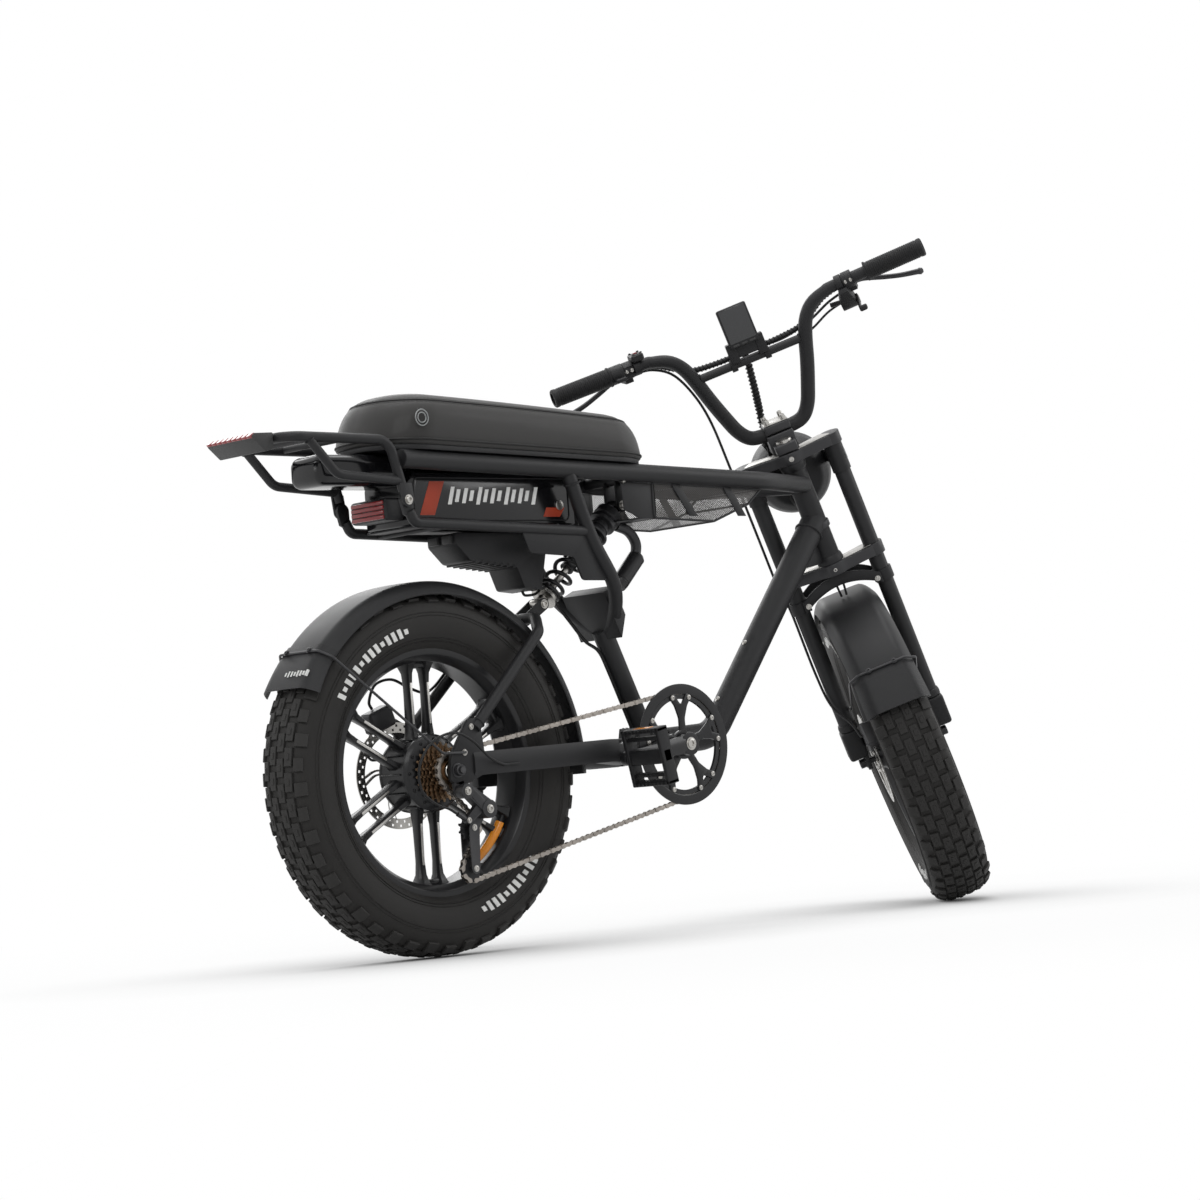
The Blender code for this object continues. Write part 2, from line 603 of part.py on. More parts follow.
# Rear swingarm
def build_swingarm(look, pivot):
    solids = []
    for side in (1, -1):
        stay = [(0.036, 0.2965), (0.036, 0.3345), (0.364, 0.3435), (0.364, 0.3045)]
        solids.append(prism(stay, side * (CHAINSTAY_Y - 0.008), side * (CHAINSTAY_Y + 0.008)))
        # The yoke steps in from the chainstay to the pivot ear
        ear = PIVOT_HALF_WIDTH + GAP
        solids.append(prism([(0.340, 0.306), (0.340, 0.340), (0.402, 0.330), (0.402, 0.298)],
                            side * ear, side * (CHAINSTAY_Y + 0.004)))
        solids.append(rod((PIVOT[0], side * ear, PIVOT[1]), (PIVOT[0], side * (ear + 0.014), PIVOT[1]),
                          0.0175, 12))
        inner = DROPOUT_Y
        plate = [(-0.016, 0.291), (-0.012, 0.330), (0.030, 0.392), (0.056, 0.392), (0.062, 0.335),
                 (0.060, 0.299), (0.020, 0.283), (-0.004, 0.283)]
        solids.append(prism(plate, side * inner, side * (inner + DROPOUT_THICKNESS)))
        corners = [(0.046, side * 0.089, 0.375), (0.212, side * 0.0790, 0.533), (0.242, side * 0.040, 0.5600),
                   (0.242, side * 0.001, 0.5600)]
        seat_stay = bent(corners, 0.022, math.radians(30))
        solids.append(tube(seat_stay, 0.0100, 1))
        inner = SHOCK_EYE_HALF_WIDTH + GAP
        clevis = [(0.230, 0.560), (0.246, 0.548), *circle(SHOCK_LOW, 0.010, 5, -1.1, 2.2)]
        solids.append(prism(clevis, side * inner, side * (inner + 0.0045)))
    solids.append(rod((0.354, -0.086, 0.323), (0.354, 0.086, 0.323), 0.012, 8))
    solids.append(rod((PIVOT[0], -0.056, PIVOT[1]), (PIVOT[0], 0.056, PIVOT[1]), PIVOT_BOLT_RADIUS, 10))
    solids.append(rod((SHOCK_LOW[0], -0.020, SHOCK_LOW[1]), (SHOCK_LOW[0], 0.020, SHOCK_LOW[1]),
                      SHOCK_BOLT_RADIUS, 8))
    # Hanger for the derailleur under the right dropout
    hanger = [(0.012, 0.290), (-0.010, 0.286), (-0.008, 0.268),
              *circle((0.004, 0.272), 0.011, 4, math.pi, math.tau)]
    solids.append(prism(hanger, -DROPOUT_Y - DROPOUT_THICKNESS, -DROPOUT_Y - 0.002))
    # Kickstand bracket under the left chainstay
    solids.append(block((0.188, 0.079, 0.278), (0.236, 0.0985, 0.306)))
    whole = union(*solids)
    cuts = []
    for side in (1, -1):
        cuts.append(rod((0, side * 0.070, AXLE_HEIGHT), (0, side * 0.110, AXLE_HEIGHT),
                        bore(AXLE_RADIUS, GAP, 12), 12))
    node("swingarm", cut(whole, *cuts), look["frame"], (PIVOT[0], 0.0, PIVOT[1]), pivot)
    nut_face = DROPOUT_Y + DROPOUT_THICKNESS + GAP
    nut_end = nut_face + 0.011
    profile = [(0.0, -nut_end), (0.0095, -nut_end), (0.0095, -nut_face), (AXLE_RADIUS, -nut_face),
               (AXLE_RADIUS, nut_face), (0.0095, nut_face), (0.0095, nut_end), (0.0, nut_end)]
    axle = turned(profile, 12, (0, 0, AXLE_HEIGHT), ring=False)
    node("rear_axle", axle, look["dark"], (0.0, 0.0, AXLE_HEIGHT), pivot)


FENDER_CENTRE = (0.007, AXLE_HEIGHT - 0.002)
FENDER_RADIUS = TYRE_RADIUS + REAR_FENDER_CLEARANCE


def arched_shell(radius, half_width, sweep, placed, thickness=0.002, steps_per_turn=26, flare=None):
    """Fender skin swept about the y axis; the sweep runs from +x over +z."""
    section = [(-1.0, -0.0230), (-0.93, -0.0115), (-0.60, -0.0022), (0.0, 0.0), (0.60, -0.0022),
               (0.93, -0.0115), (1.0, -0.0230)]
    start, end = sweep
    count = math.ceil((end - start) / math.tau * steps_per_turn)
    shape = bmesh.new()
    rows = []
    for index in range(count + 1):
        angle = start + (end - start) * index / count
        width = half_width * (flare(angle) if flare else 1.0)
        outer = []
        inner = []
        for across, drop in section:
            reach = radius + drop
            outer.append(shape.verts.new((reach * math.cos(angle), across * width, reach * math.sin(angle))))
            edge = abs(across) > 0.9
            reach -= thickness * (0.2 if edge else 1.0)
            across_in = across * (width - (thickness if edge else 0.0))
            inner.append(shape.verts.new((reach * math.cos(angle), across_in, reach * math.sin(angle))))
        rows.append(outer + inner[::-1])
    for near, far in zip(rows, rows[1:]):
        for index in range(len(near)):
            following = (index + 1) % len(near)
            shape.faces.new((near[index], near[following], far[following], far[index]))
    half = len(section)
    for row in (rows[0], rows[-1]):
        for index in range(half - 1):
            shape.faces.new((row[index], row[index + 1], row[-index - 2], row[-index - 1]))
    bmesh.ops.transform(shape, verts=shape.verts, matrix=placed)
    return from_bmesh(shape)


def build_rear_fender(look, pivot):
    flap_start = math.radians(138)

    def flare(angle):
        return 1.0 + max(0.0, angle - flap_start) / math.radians(14) * 0.11

    placed = Matrix.Translation((FENDER_CENTRE[0], 0.0, FENDER_CENTRE[1]))
    shell = arched_shell(FENDER_RADIUS, 0.064, (math.radians(-3), math.radians(152)), placed, flare=flare)
    # Wire stay from one dropout over the fender to the other
    angle = math.radians(139.5)
    crown = FENDER_RADIUS + 0.0012
    over = (FENDER_CENTRE[0] + crown * math.cos(angle), FENDER_CENTRE[1] + crown * math.sin(angle))
    edge = (over[0] + 0.020 * -math.cos(angle), over[1] - 0.020 * math.sin(angle))
    ends = []
    for side in (-1, 1):
        tip_y = side * (DROPOUT_Y + DROPOUT_THICKNESS + GAP + 0.0026)
        ends.append([(0.018, tip_y, 0.336), (-0.030, tip_y, 0.336), (edge[0], side * 0.0690, edge[1]),
                     (over[0], side * 0.050, over[1] - 0.001)])
    stay = tube([*ends[0], *reversed(ends[1])], 0.0023, 1)
    node("rear_fender", union(shell, stay), look["fender"], (FENDER_CENTRE[0], 0.0, FENDER_CENTRE[1]), pivot)


def build_kickstand(look, pivot):
    hinge_place = Vector((0.212, 0.1055, 0.286))
    foot = Vector((0.232, 0.212, -LIFT))
    stand = empty("kickstand_pivot", hinge_place, pivot)
    leg_top = hinge_place + Vector((0.0, 0.002, 0.0))
    route = [leg_top, (0.214, 0.116, 0.250), (0.225, 0.180, 0.080), (foot.x, foot.y, foot.z + 0.012)]
    leg = tube(smooth(route, 2), 0.0085, 1)
    boss = rod(hinge_place - Vector((0, 0.0067, 0)), hinge_place + Vector((0, 0.0095, 0)), 0.014, 14)
    shoe = hull(prism(circle((foot.x, foot.y), 0.019, 12), foot.z, foot.z + 0.006, "z"),
                prism(circle((foot.x - 0.001, foot.y - 0.006), 0.012, 12), foot.z + 0.028, foot.z + 0.030,
                      "z"))
    node("kickstand", union(leg, boss, shoe), look["dark"], hinge_place, stand)


# Wheels
def wheel_rim(centre, hub_profile, bore_radius):
    """Cast wheel with paired straight spokes, its axis along y."""
    wide = RIM_HALF_WIDTH
    lip = RIM_HALF_WIDTH - RIM_FLANGE
    profile = [(RIM_RADIUS, wide), (RIM_RADIUS, lip), (BEAD_SEAT_RADIUS, lip - 0.0006),
               (BEAD_SEAT_RADIUS, -lip + 0.0006), (RIM_RADIUS, -lip), (RIM_RADIUS, -wide), (0.197, -wide),
               (RIM_INNER_RADIUS, -0.024), (RIM_INNER_RADIUS, 0.024), (0.197, wide)]
    solids = [turned(profile, TYRE_STEPS, centre, half_step=True),
              turned(hub_profile, 12, centre, ring=False)]
    for pair in range(SPOKE_PAIRS):
        angle = math.tau * (pair + 0.5) / SPOKE_PAIRS
        placed = Matrix.Translation(centre) @ Matrix.Rotation(-angle, 4, "Y")
        for offset in (-SPOKE_SPACING / 2, SPOKE_SPACING / 2):
            solids.append(block((0.020, -SPOKE_DEPTH / 2, offset - SPOKE_WIDTH / 2),
                                (0.1885, SPOKE_DEPTH / 2, offset + SPOKE_WIDTH / 2), placed=placed))
    hole = rod(Vector(centre) - Vector((0, 0.12, 0)), Vector(centre) + Vector((0, 0.12, 0)), bore_radius,
               WHEEL_BORE_SIDES)
    return cut(union(*solids), hole)


def wheel_tyre(centre, roll=0.0):
    """Open-section fat tyre on the rim; the roll turns a flat of the tread to the floor."""
    scale = 1.0 / math.cos(math.pi / TYRE_STEPS)
    outer = [(radius * scale, half) for radius, half in tyre_profile()]
    bead = RIM_HALF_WIDTH - RIM_FLANGE - GAP
    low = BEAD_SEAT_RADIUS * scale + GAP
    side = [*outer, (RIM_RADIUS * scale + GAP, bead), (low, bead - 0.0006), (low, bead - 0.008),
            (tyre_radius_at(WIDEST_SHARE), TYRE_HALF_WIDTH - TYRE_WALL),
            (tyre_radius_at(SHOULDER_SHARE), CROWN_HALF_WIDTH + 0.002)]
    profile = side + [(radius, -half) for radius, half in reversed(side)]
    made = turned(profile, TYRE_STEPS, (0, 0, 0), half_step=True)
    made.data.transform(Matrix.Translation(centre) @ Matrix.Rotation(roll, 4, "Y"))
    return made


def wheel_rotor(centre, y, bore_radius):
    """Brake disc with straight arms, in the plane y."""
    low = (centre[0], centre[1] + y, centre[2])
    ring = turned([(ROTOR_RADIUS, 0.0), (ROTOR_RADIUS, ROTOR_THICKNESS),
                   (ROTOR_INNER_RADIUS, ROTOR_THICKNESS), (ROTOR_INNER_RADIUS, 0.0)], 16, low)
    hub = turned([(0.0, 0.0), (0.026, 0.0), (0.026, ROTOR_THICKNESS), (0.0, ROTOR_THICKNESS)], 8, low,
                 ring=False)
    arms = []
    for index in range(ROTOR_ARMS):
        turn = math.tau * (index + 0.25) / ROTOR_ARMS
        placed = Matrix.Translation(low) @ Matrix.Rotation(-turn, 4, "Y")
        arms.append(block((0.015, 0.0002, -0.004), (0.0735, ROTOR_THICKNESS - 0.0002, 0.004), placed=placed))
    hole = rod((low[0], low[1] - 0.02, low[2]), (low[0], low[1] + 0.02, low[2]), bore_radius,
               WHEEL_BORE_SIDES)
    return cut(union(ring, hub, *arms), hole)


def build_rear_wheel(look, pivot):
    centre = (0.0, 0.0, AXLE_HEIGHT)
    hinge = empty("rear_wheel_axis", centre, pivot)
    hub = [(0.0, -REAR_HUB_FACE), (0.050, -REAR_HUB_FACE), (0.0645, -0.033), (0.0645, 0.036), (0.048, 0.046),
           (0.020, 0.0520), (0.016, 0.0617), (0.0, 0.0617)]
    clear = bore(AXLE_RADIUS, GAP, WHEEL_BORE_SIDES)
    node("rear_rim", wheel_rim(centre, hub, clear), look["frame"], centre, hinge)
    node("rear_tyre", wheel_tyre(centre), look["rubber"], centre, hinge)
    node("rear_rotor", wheel_rotor(centre, 0.0620, clear), look["steel"], centre, hinge)
    # Freewheel: sprockets that grow inward, drawn as one stepped stack
    inner = -REAR_HUB_FACE - FREEWHEEL_CLEARANCE
    profile = [(0.0, inner)]
    for index in range(SPROCKETS):
        share = 1 - index / (SPROCKETS - 1)
        tip = tooth_tip(SPROCKET_RADIUS + (LARGE_SPROCKET_RADIUS - SPROCKET_RADIUS) * share)
        outer = CHAIN_Y + (SPROCKETS - 1 - index) * SPROCKET_PITCH - 0.0009
        profile += [(tip, inner), (tip, outer)]
        inner = outer
    profile += [(0.017, inner), (0.017, -0.0788), (0.0, -0.0788)]
    stack = turned(profile, 10, centre, ring=False)
    hole = rod((0, -0.10, AXLE_HEIGHT), (0, -0.02, AXLE_HEIGHT), clear, WHEEL_BORE_SIDES)
    free = empty("freewheel_axis", centre, pivot)
    node("cassette", cut(stack, hole), look["bronze"], centre, free)


def build_rear_brake(look, pivot):
    # Body over the disc and an adapter to the left dropout
    centre = Vector((-0.035, 0.0630, AXLE_HEIGHT + 0.094))
    tilt = Matrix.Translation(centre) @ Matrix.Rotation(math.radians(-20), 4, "Y")
    body = block((-0.026, -0.0160, -0.016), (0.026, 0.0137, 0.020), 0.004, 1, tilt)
    outline = [(-0.026, 0.392), (-0.012, 0.412), (0.030, 0.390), (0.036, 0.372), (0.010, 0.370)]
    arm = prism(outline, 0.0661, 0.0731)
    foot = block((0.0200, 0.0680, 0.3712), (0.0350, DROPOUT_Y - GAP, 0.3880))
    slot = block((-0.060, -0.0018, -0.050), (0.060, 0.0022, 0.008), placed=tilt)
    node("rear_caliper", cut(union(body, arm, foot), slot), look["alloy"], centre, pivot)


# Rear derailleur and chain
def belt(stops, step):
    """Closed path round circles given as (centre, radius, sense), where +1 keeps the centre on the left."""
    runs = []
    for (c1, r1, e1), (c2, r2, e2) in zip(stops, stops[1:] + stops[:1]):
        line = Vector(c2) - Vector(c1)
        along = line.normalized()
        left = Vector((-along.y, along.x))
        sine = (e2 * r2 - e1 * r1) / line.length
        normal = along * sine + left * math.sqrt(1 - sine * sine)
        runs.append((Vector(c1) - normal * e1 * r1, Vector(c2) - normal * e2 * r2))
    path = []
    for number, (centre, radius, sense) in enumerate(stops):
        enter = runs[number - 1][1] - Vector(centre)
        leave = runs[number][0] - Vector(centre)
        first = math.atan2(enter.y, enter.x)
        turn = (math.atan2(leave.y, leave.x) - first) * sense % math.tau
        count = max(2, math.ceil(turn / step))
        for index in range(count + 1):
            angle = first + sense * turn * index / count
            path.append(Vector(centre) + radius * Vector((math.cos(angle), math.sin(angle))))
    return path


def tooth_tip(radius):
    """Wheel radius that clears the inside of the chain's flat runs round it."""
    return radius * math.cos(BELT_STEP / 2) - CHAIN_HALF_HEIGHT - GAP


def build_chain(look, pivot):
    stops = [(BOTTOM_BRACKET, CHAINRING_RADIUS, -1), (TENSION_PULLEY, PULLEY_RADIUS, -1),
             (GUIDE_PULLEY, PULLEY_RADIUS, 1), ((0.0, AXLE_HEIGHT), SPROCKET_RADIUS, -1)]
    path = belt(stops, BELT_STEP)
    shape = bmesh.new()
    rows = []
    for index, place in enumerate(path):
        ahead = (path[(index + 1) % len(path)] - path[index - 1]).normalized()
        normal = Vector((-ahead.y, ahead.x)) * CHAIN_HALF_HEIGHT
        row = []
        for edge, y in ((1, -1), (1, 1), (-1, 1), (-1, -1)):
            spot = place + normal * edge
            row.append(shape.verts.new((spot.x, CHAIN_Y + y * CHAIN_HALF_WIDTH, spot.y)))
        rows.append(row)
    for near, far in zip(rows, rows[1:] + rows[:1]):
        for index in range(4):
            following = (index + 1) % 4
            shape.faces.new((near[index], near[following], far[following], far[index]))
    node("chain", from_bmesh(shape), look["chain"], (0.0, CHAIN_Y, AXLE_HEIGHT), pivot)


def build_derailleur(look, pivot):
    outer = DROPOUT_Y + DROPOUT_THICKNESS + GAP
    knuckle = rod((0.004, -outer, 0.272), (0.004, -outer - 0.018, 0.272), 0.0125, 14)
    link = hull(rod((0.010, -0.094, 0.272), (0.010, -0.109, 0.272), 0.010, 10),
                rod((0.046, -0.092, 0.245), (0.046, -0.109, 0.245), 0.013, 10))
    lower = rod((CAGE_PIVOT[0], -0.0885, CAGE_PIVOT[1]), (CAGE_PIVOT[0], -0.111, CAGE_PIVOT[1]), 0.0155, 16)
    anchor = hull(rod((0.036, -0.095, 0.246), (0.036, -0.106, 0.246), 0.009, 8),
                  rod((0.008, -0.095, 0.2235), (0.008, -0.104, 0.2235), 0.006, 8))
    barrel = rod((0.008, -0.0995, 0.2235), (-0.0129, -0.0995, 0.2350), 0.0040, 8)
    whole = union(knuckle, link, lower, anchor, barrel)
    node("derailleur_body", whole, look["dark"], (0.004, -0.1, 0.272), pivot)
    cage_axis = (CAGE_PIVOT[0], CHAIN_Y, CAGE_PIVOT[1])
    cage_joint = empty("cage_axis", cage_axis, pivot)
    plates = []
    for outer_face, inner_face in ((-0.0880, -0.0858), (-0.0652, -0.0632)):
        ends = [rod((x, outer_face, z), (x, inner_face, z), radius, 8)
                for (x, z), radius in ((GUIDE_PULLEY, 0.011), (TENSION_PULLEY, 0.009))]
        plates.append(hull(*ends))
    reach = hull(*[rod((x, -0.0880, z), (x, -0.0858, z), radius, 10)
                   for (x, z), radius in ((CAGE_PIVOT, 0.012), (GUIDE_PULLEY, 0.010))])
    pins = [rod((x, -0.0870, z), (x, -0.0642, z), 0.003, 8) for x, z in (GUIDE_PULLEY, TENSION_PULLEY)]
    node("derailleur_cage", union(*plates, reach, *pins), look["steel"], cage_axis, cage_joint)
    for name, (x, z) in (("guide_pulley", GUIDE_PULLEY), ("tension_pulley", TENSION_PULLEY)):
        tip = tooth_tip(PULLEY_RADIUS)
        hole = bore(0.003, GAP, 12)
        wheel = turned([(tip, -0.0035), (tip, 0.0035), (hole, 0.0035), (hole, -0.0035)], 16, (x, CHAIN_Y, z))
        spin = empty(name + "_axis", (x, CHAIN_Y, z), cage_joint)
        node(name, wheel, look["plastic"], (x, CHAIN_Y, z), spin)


# Shock absorber
def shock_point(distance, side=0.0):
    """Point on the shock's centre line, measured from the lower eye."""
    low = Vector((SHOCK_LOW[0], 0.0, SHOCK_LOW[1]))
    top = Vector((SHOCK_TOP[0], 0.0, SHOCK_TOP[1]))
    return low + (top - low).normalized() * distance + Vector((0, side, 0))


def coil_gap(coil, per_turn, wire):
    """Least gap between the surfaces of neighbouring turns, measured on points along the wire."""
    spots = []
    for start, end in zip(coil, coil[1:]):
        spots += [Vector(start).lerp(Vector(end), share / 4) for share in range(4)]
    apart = per_turn * 4 * 3 // 4
    nearest = min((spots[first] - spots[second]).length for first in range(len(spots))
                  for second in range(first + apart, min(first + 2 * apart, len(spots))))
    return nearest - 2 * wire


def build_shock(look):
    top = Vector((SHOCK_TOP[0], 0.0, SHOCK_TOP[1]))
    axis = top - Vector((SHOCK_LOW[0], 0.0, SHOCK_LOW[1]))
    length = axis.length
    body_joint = empty("shock_axis", top)
    shaft_radius = 0.0065
    spring_low = 0.0240
    spring_top = length - 0.0800
    half = SHOCK_EYE_HALF_WIDTH
    eye_top = rod(top - Vector((0, half, 0)), top + Vector((0, half, 0)), SHOCK_EYE_RADIUS, 16)
    body = turned([(0.0, 0.095), (0.0125, 0.095), (0.0125, spring_top + GAP), (0.0255, spring_top + GAP),
                   (0.0255, spring_top + 0.006), (0.0165, spring_top + 0.006), (0.0165, length - 0.052),
                   (0.0245, length - 0.050), (0.0245, length - 0.022), (0.018, length - 0.016),
                   (0.008, length - 0.008), (0.0, length - 0.008)], 12, shock_point(0.0), axis, ring=False)
    route = [(0.484, 0, 0.722), (0.512, 0, 0.712), (0.528, 0, 0.690), (0.524, 0, 0.664)]
    neck = tube(smooth(route, 2), 0.0095, 1)
    bottle = rod((0.529, 0, 0.667), (0.478, 0, 0.616), 0.0155, 12)
    inner = rod(shock_point(0.080), shock_point(length - 0.030), bore(shaft_radius, RUN, 12), 12)
    eye_hole = rod(top - Vector((0, 0.05, 0)), top + Vector((0, 0.05, 0)),
                   bore(SHOCK_BOLT_RADIUS, GAP, 12), 12)
    whole = cut(union(body, eye_top, neck, bottle), inner, eye_hole)
    node("shock_body", whole, look["dark"], top, body_joint)
    low = Vector((SHOCK_LOW[0], 0.0, SHOCK_LOW[1]))
    eye_low = rod(low - Vector((0, half, 0)), low + Vector((0, half, 0)), SHOCK_EYE_RADIUS, 16)
    shaft = turned([(0.0, 0.008), (0.0095, 0.008), (0.0095, 0.016), (0.0240, 0.018),
                    (0.0240, spring_low - GAP), (shaft_radius, spring_low - GAP), (shaft_radius, 0.175),
                    (0.0, 0.175)], 12, shock_point(0.0), axis, ring=False)
    hole = rod(low - Vector((0, 0.05, 0)), low + Vector((0, 0.05, 0)),
               bore(SHOCK_BOLT_RADIUS, OPEN_PIVOT_CLEARANCE, 12), 12)
    node("shock_shaft", cut(union(eye_low, shaft), hole), look["steel"], low, body_joint)
    # Coil with closed end turns
    wire = 0.0036
    mean = 0.0205
    turns = 7
    per_turn = 8
    count = turns * per_turn
    start = spring_low + wire
    end = spring_top - wire
    coil = []
    for index in range(count + 1):
        t = index / count
        rise = (t - math.sin(math.tau * t) / math.tau * 0.6)
        angle = math.tau * turns * t
        coil.append((mean * math.cos(angle), mean * math.sin(angle), start + (end - start) * rise))
    spring = tube(coil, wire, 1)
    spring.data.transform(Matrix.Translation(shock_point(0.0)) @ toward(axis))
    print("spring self gap mm", round(coil_gap(coil, per_turn, wire) * 1000, 3))
    node("shock_spring", spring, look["dark"], shock_point(spring_top), body_joint, sharp=80)


# Crank set
def crank_point(radius, side, y):
    """Point on the crank's line; side -1 is the right crank, which points back."""
    reach = radius * side
    return Vector((BOTTOM_BRACKET[0] + reach * math.cos(CRANK_ANGLE), y,
                   BOTTOM_BRACKET[1] + reach * math.sin(CRANK_ANGLE)))


def build_crankset(look):
    centre = Vector((BOTTOM_BRACKET[0], 0.0, BOTTOM_BRACKET[1]))
    axis = empty("crank_axis", centre)
    face = -0.0815
    guard = turned([(GUARD_RADIUS, face), (GUARD_RADIUS, face + 0.0027), (0.0800, face + 0.0027),
                    (0.0800, face)], 18, centre)
    tip = tooth_tip(CHAINRING_RADIUS)
    teeth = turned([(tip, face + 0.001), (tip, CHAIN_Y + 0.0012), (0.0810, CHAIN_Y + 0.0012),
                    (0.0810, face + 0.001)], 18, centre)
    hub = turned([(0.0, face), (0.022, face), (0.022, face + 0.004), (0.016, face + 0.010),
                  (0.016, -BB_HALF_WIDTH - GAP), (0.0, -BB_HALF_WIDTH - GAP)], 12, centre, ring=False)
    fork = [(0.014, 0.0065), (0.050, 0.0065), (0.080, 0.021), (0.084, 0.011), (0.062, 0.0)]
    fork += [(x, -z) for x, z in reversed(fork[:-1])]
    arms = []
    for index in range(5):
        arm = prism(fork, face + 0.0003, face + 0.0035)
        turn = Matrix.Rotation(-math.tau * (index + 0.25) / 5, 4, "Y")
        arm.data.transform(Matrix.Translation(centre) @ turn)
        arms.append(arm)
    hole = rod(centre - Vector((0, 0.10, 0)), centre - Vector((0, 0.03, 0)),
               bore(SPINDLE_RADIUS, GAP, 12), 12)
    node("chainring", cut(union(guard, teeth, hub, *arms), hole), look["dark"], centre, axis)
    for name, side in (("right", -1), ("left", 1)):
        inner = 0.0818
        boss = [crank_point(0.0, side, side * inner), crank_point(0.0, side, side * (inner + 0.018))]
        eye = [crank_point(CRANK_LENGTH, side, side * 0.1040), crank_point(CRANK_LENGTH, side, side * 0.1175)]
        root = [crank_point(0.020, side, side * (inner + depth)) for depth in (0.001, 0.016)]
        arm = hull(rod(root[0], root[1], 0.0150, 8), rod(eye[0], eye[1], 0.0125, 10))
        whole = union(rod(boss[0], boss[1], 0.0205, 12), arm)
        pedal_hole = rod(eye[0] - Vector((0, side * 0.02, 0)), eye[1] + Vector((0, side * 0.02, 0)),
                         bore(0.0060, GAP, 12), 12)
        whole = cut(whole, pedal_hole)
        if side == 1:
            # The spindle belongs to the left crank and reaches the right one
            spindle = rod(centre - Vector((0, inner - GAP, 0)), centre + Vector((0, inner + 0.004, 0)),
                          SPINDLE_RADIUS, 12)
            sleeve = rod(centre + Vector((0, BB_HALF_WIDTH + GAP, 0)), centre + Vector((0, inner + 0.004, 0)),
                         0.0145, 12)
            whole = union(whole, spindle, sleeve)
        node("crank_" + name, whole, look["dark"], centre, axis)
        build_pedal(look, name, side, crank_point(CRANK_LENGTH, side, side * PEDAL_Y), axis)


def build_pedal(look, name, side, centre, crank_axis):
    tilt = math.radians(78) if side == -1 else math.radians(12)
    placed = Matrix.Translation(centre) @ Matrix.Rotation(tilt, 4, "Y")
    corner = Vector((PEDAL_HALF_LENGTH, PEDAL_HALF_WIDTH, 0.0130))
    frame = block(-corner, corner, 0.004, 1, placed)
    cuts = []
    for x in (-1, 1):
        for y in (-1, 1):
            low = (x * 0.0130, y * 0.0085, -0.03)
            high = (x * (PEDAL_HALF_LENGTH - 0.007), y * (PEDAL_HALF_WIDTH - 0.007), 0.03)
            corner_low = [min(a, b) for a, b in zip(low, high)]
            corner_high = [max(a, b) for a, b in zip(low, high)]
            cuts.append(block(corner_low, corner_high, placed=placed))
    spindle_end = Vector((centre.x, side * 0.1045, centre.z))
    spindle = rod(spindle_end, (centre.x, side * (PEDAL_Y - PEDAL_HALF_WIDTH + 0.004), centre.z), 0.0060, 10)
    collar = rod((centre.x, side * (0.1175 + GAP), centre.z), (centre.x, side * (PEDAL_Y - 0.040), centre.z),
                 0.0085, 12)
    joint = empty("pedal_axis_" + name, centre, crank_axis)
    node("pedal_" + name, union(cut(frame, *cuts), spindle, collar), look["plastic"], centre, joint)


# Fork, in the steering frame
def crown(heights, boss_radius):
    """Triple clamp plate with its leg bores still solid."""
    low, top = heights
    clamps = [rod((FORK_OFFSET, side * LEG_Y, low), (FORK_OFFSET, side * LEG_Y, top), CROWN_CLAMP_RADIUS, 12)
              for side in (1, -1)]
    boss = rod((0, 0, low + 0.0004), (0, 0, top - 0.0004), boss_radius, 12)
    outline = [(0.030, -0.070), (0.018, -0.030), (0.018, 0.030), (0.030, 0.070), (0.006, 0.078),
               (-0.016, 0.022), (-0.016, -0.022), (0.006, -0.078)]
    web = prism(outline, low + 0.001, top - 0.001, "z")
    return union(boss, *clamps, web)


def leg_holes(low, top):
    sides = 12
    return [rod((FORK_OFFSET, side * LEG_Y, low), (FORK_OFFSET, side * LEG_Y, top),
                bore(LEG_RADIUS, GAP, sides), sides) for side in (1, -1)]


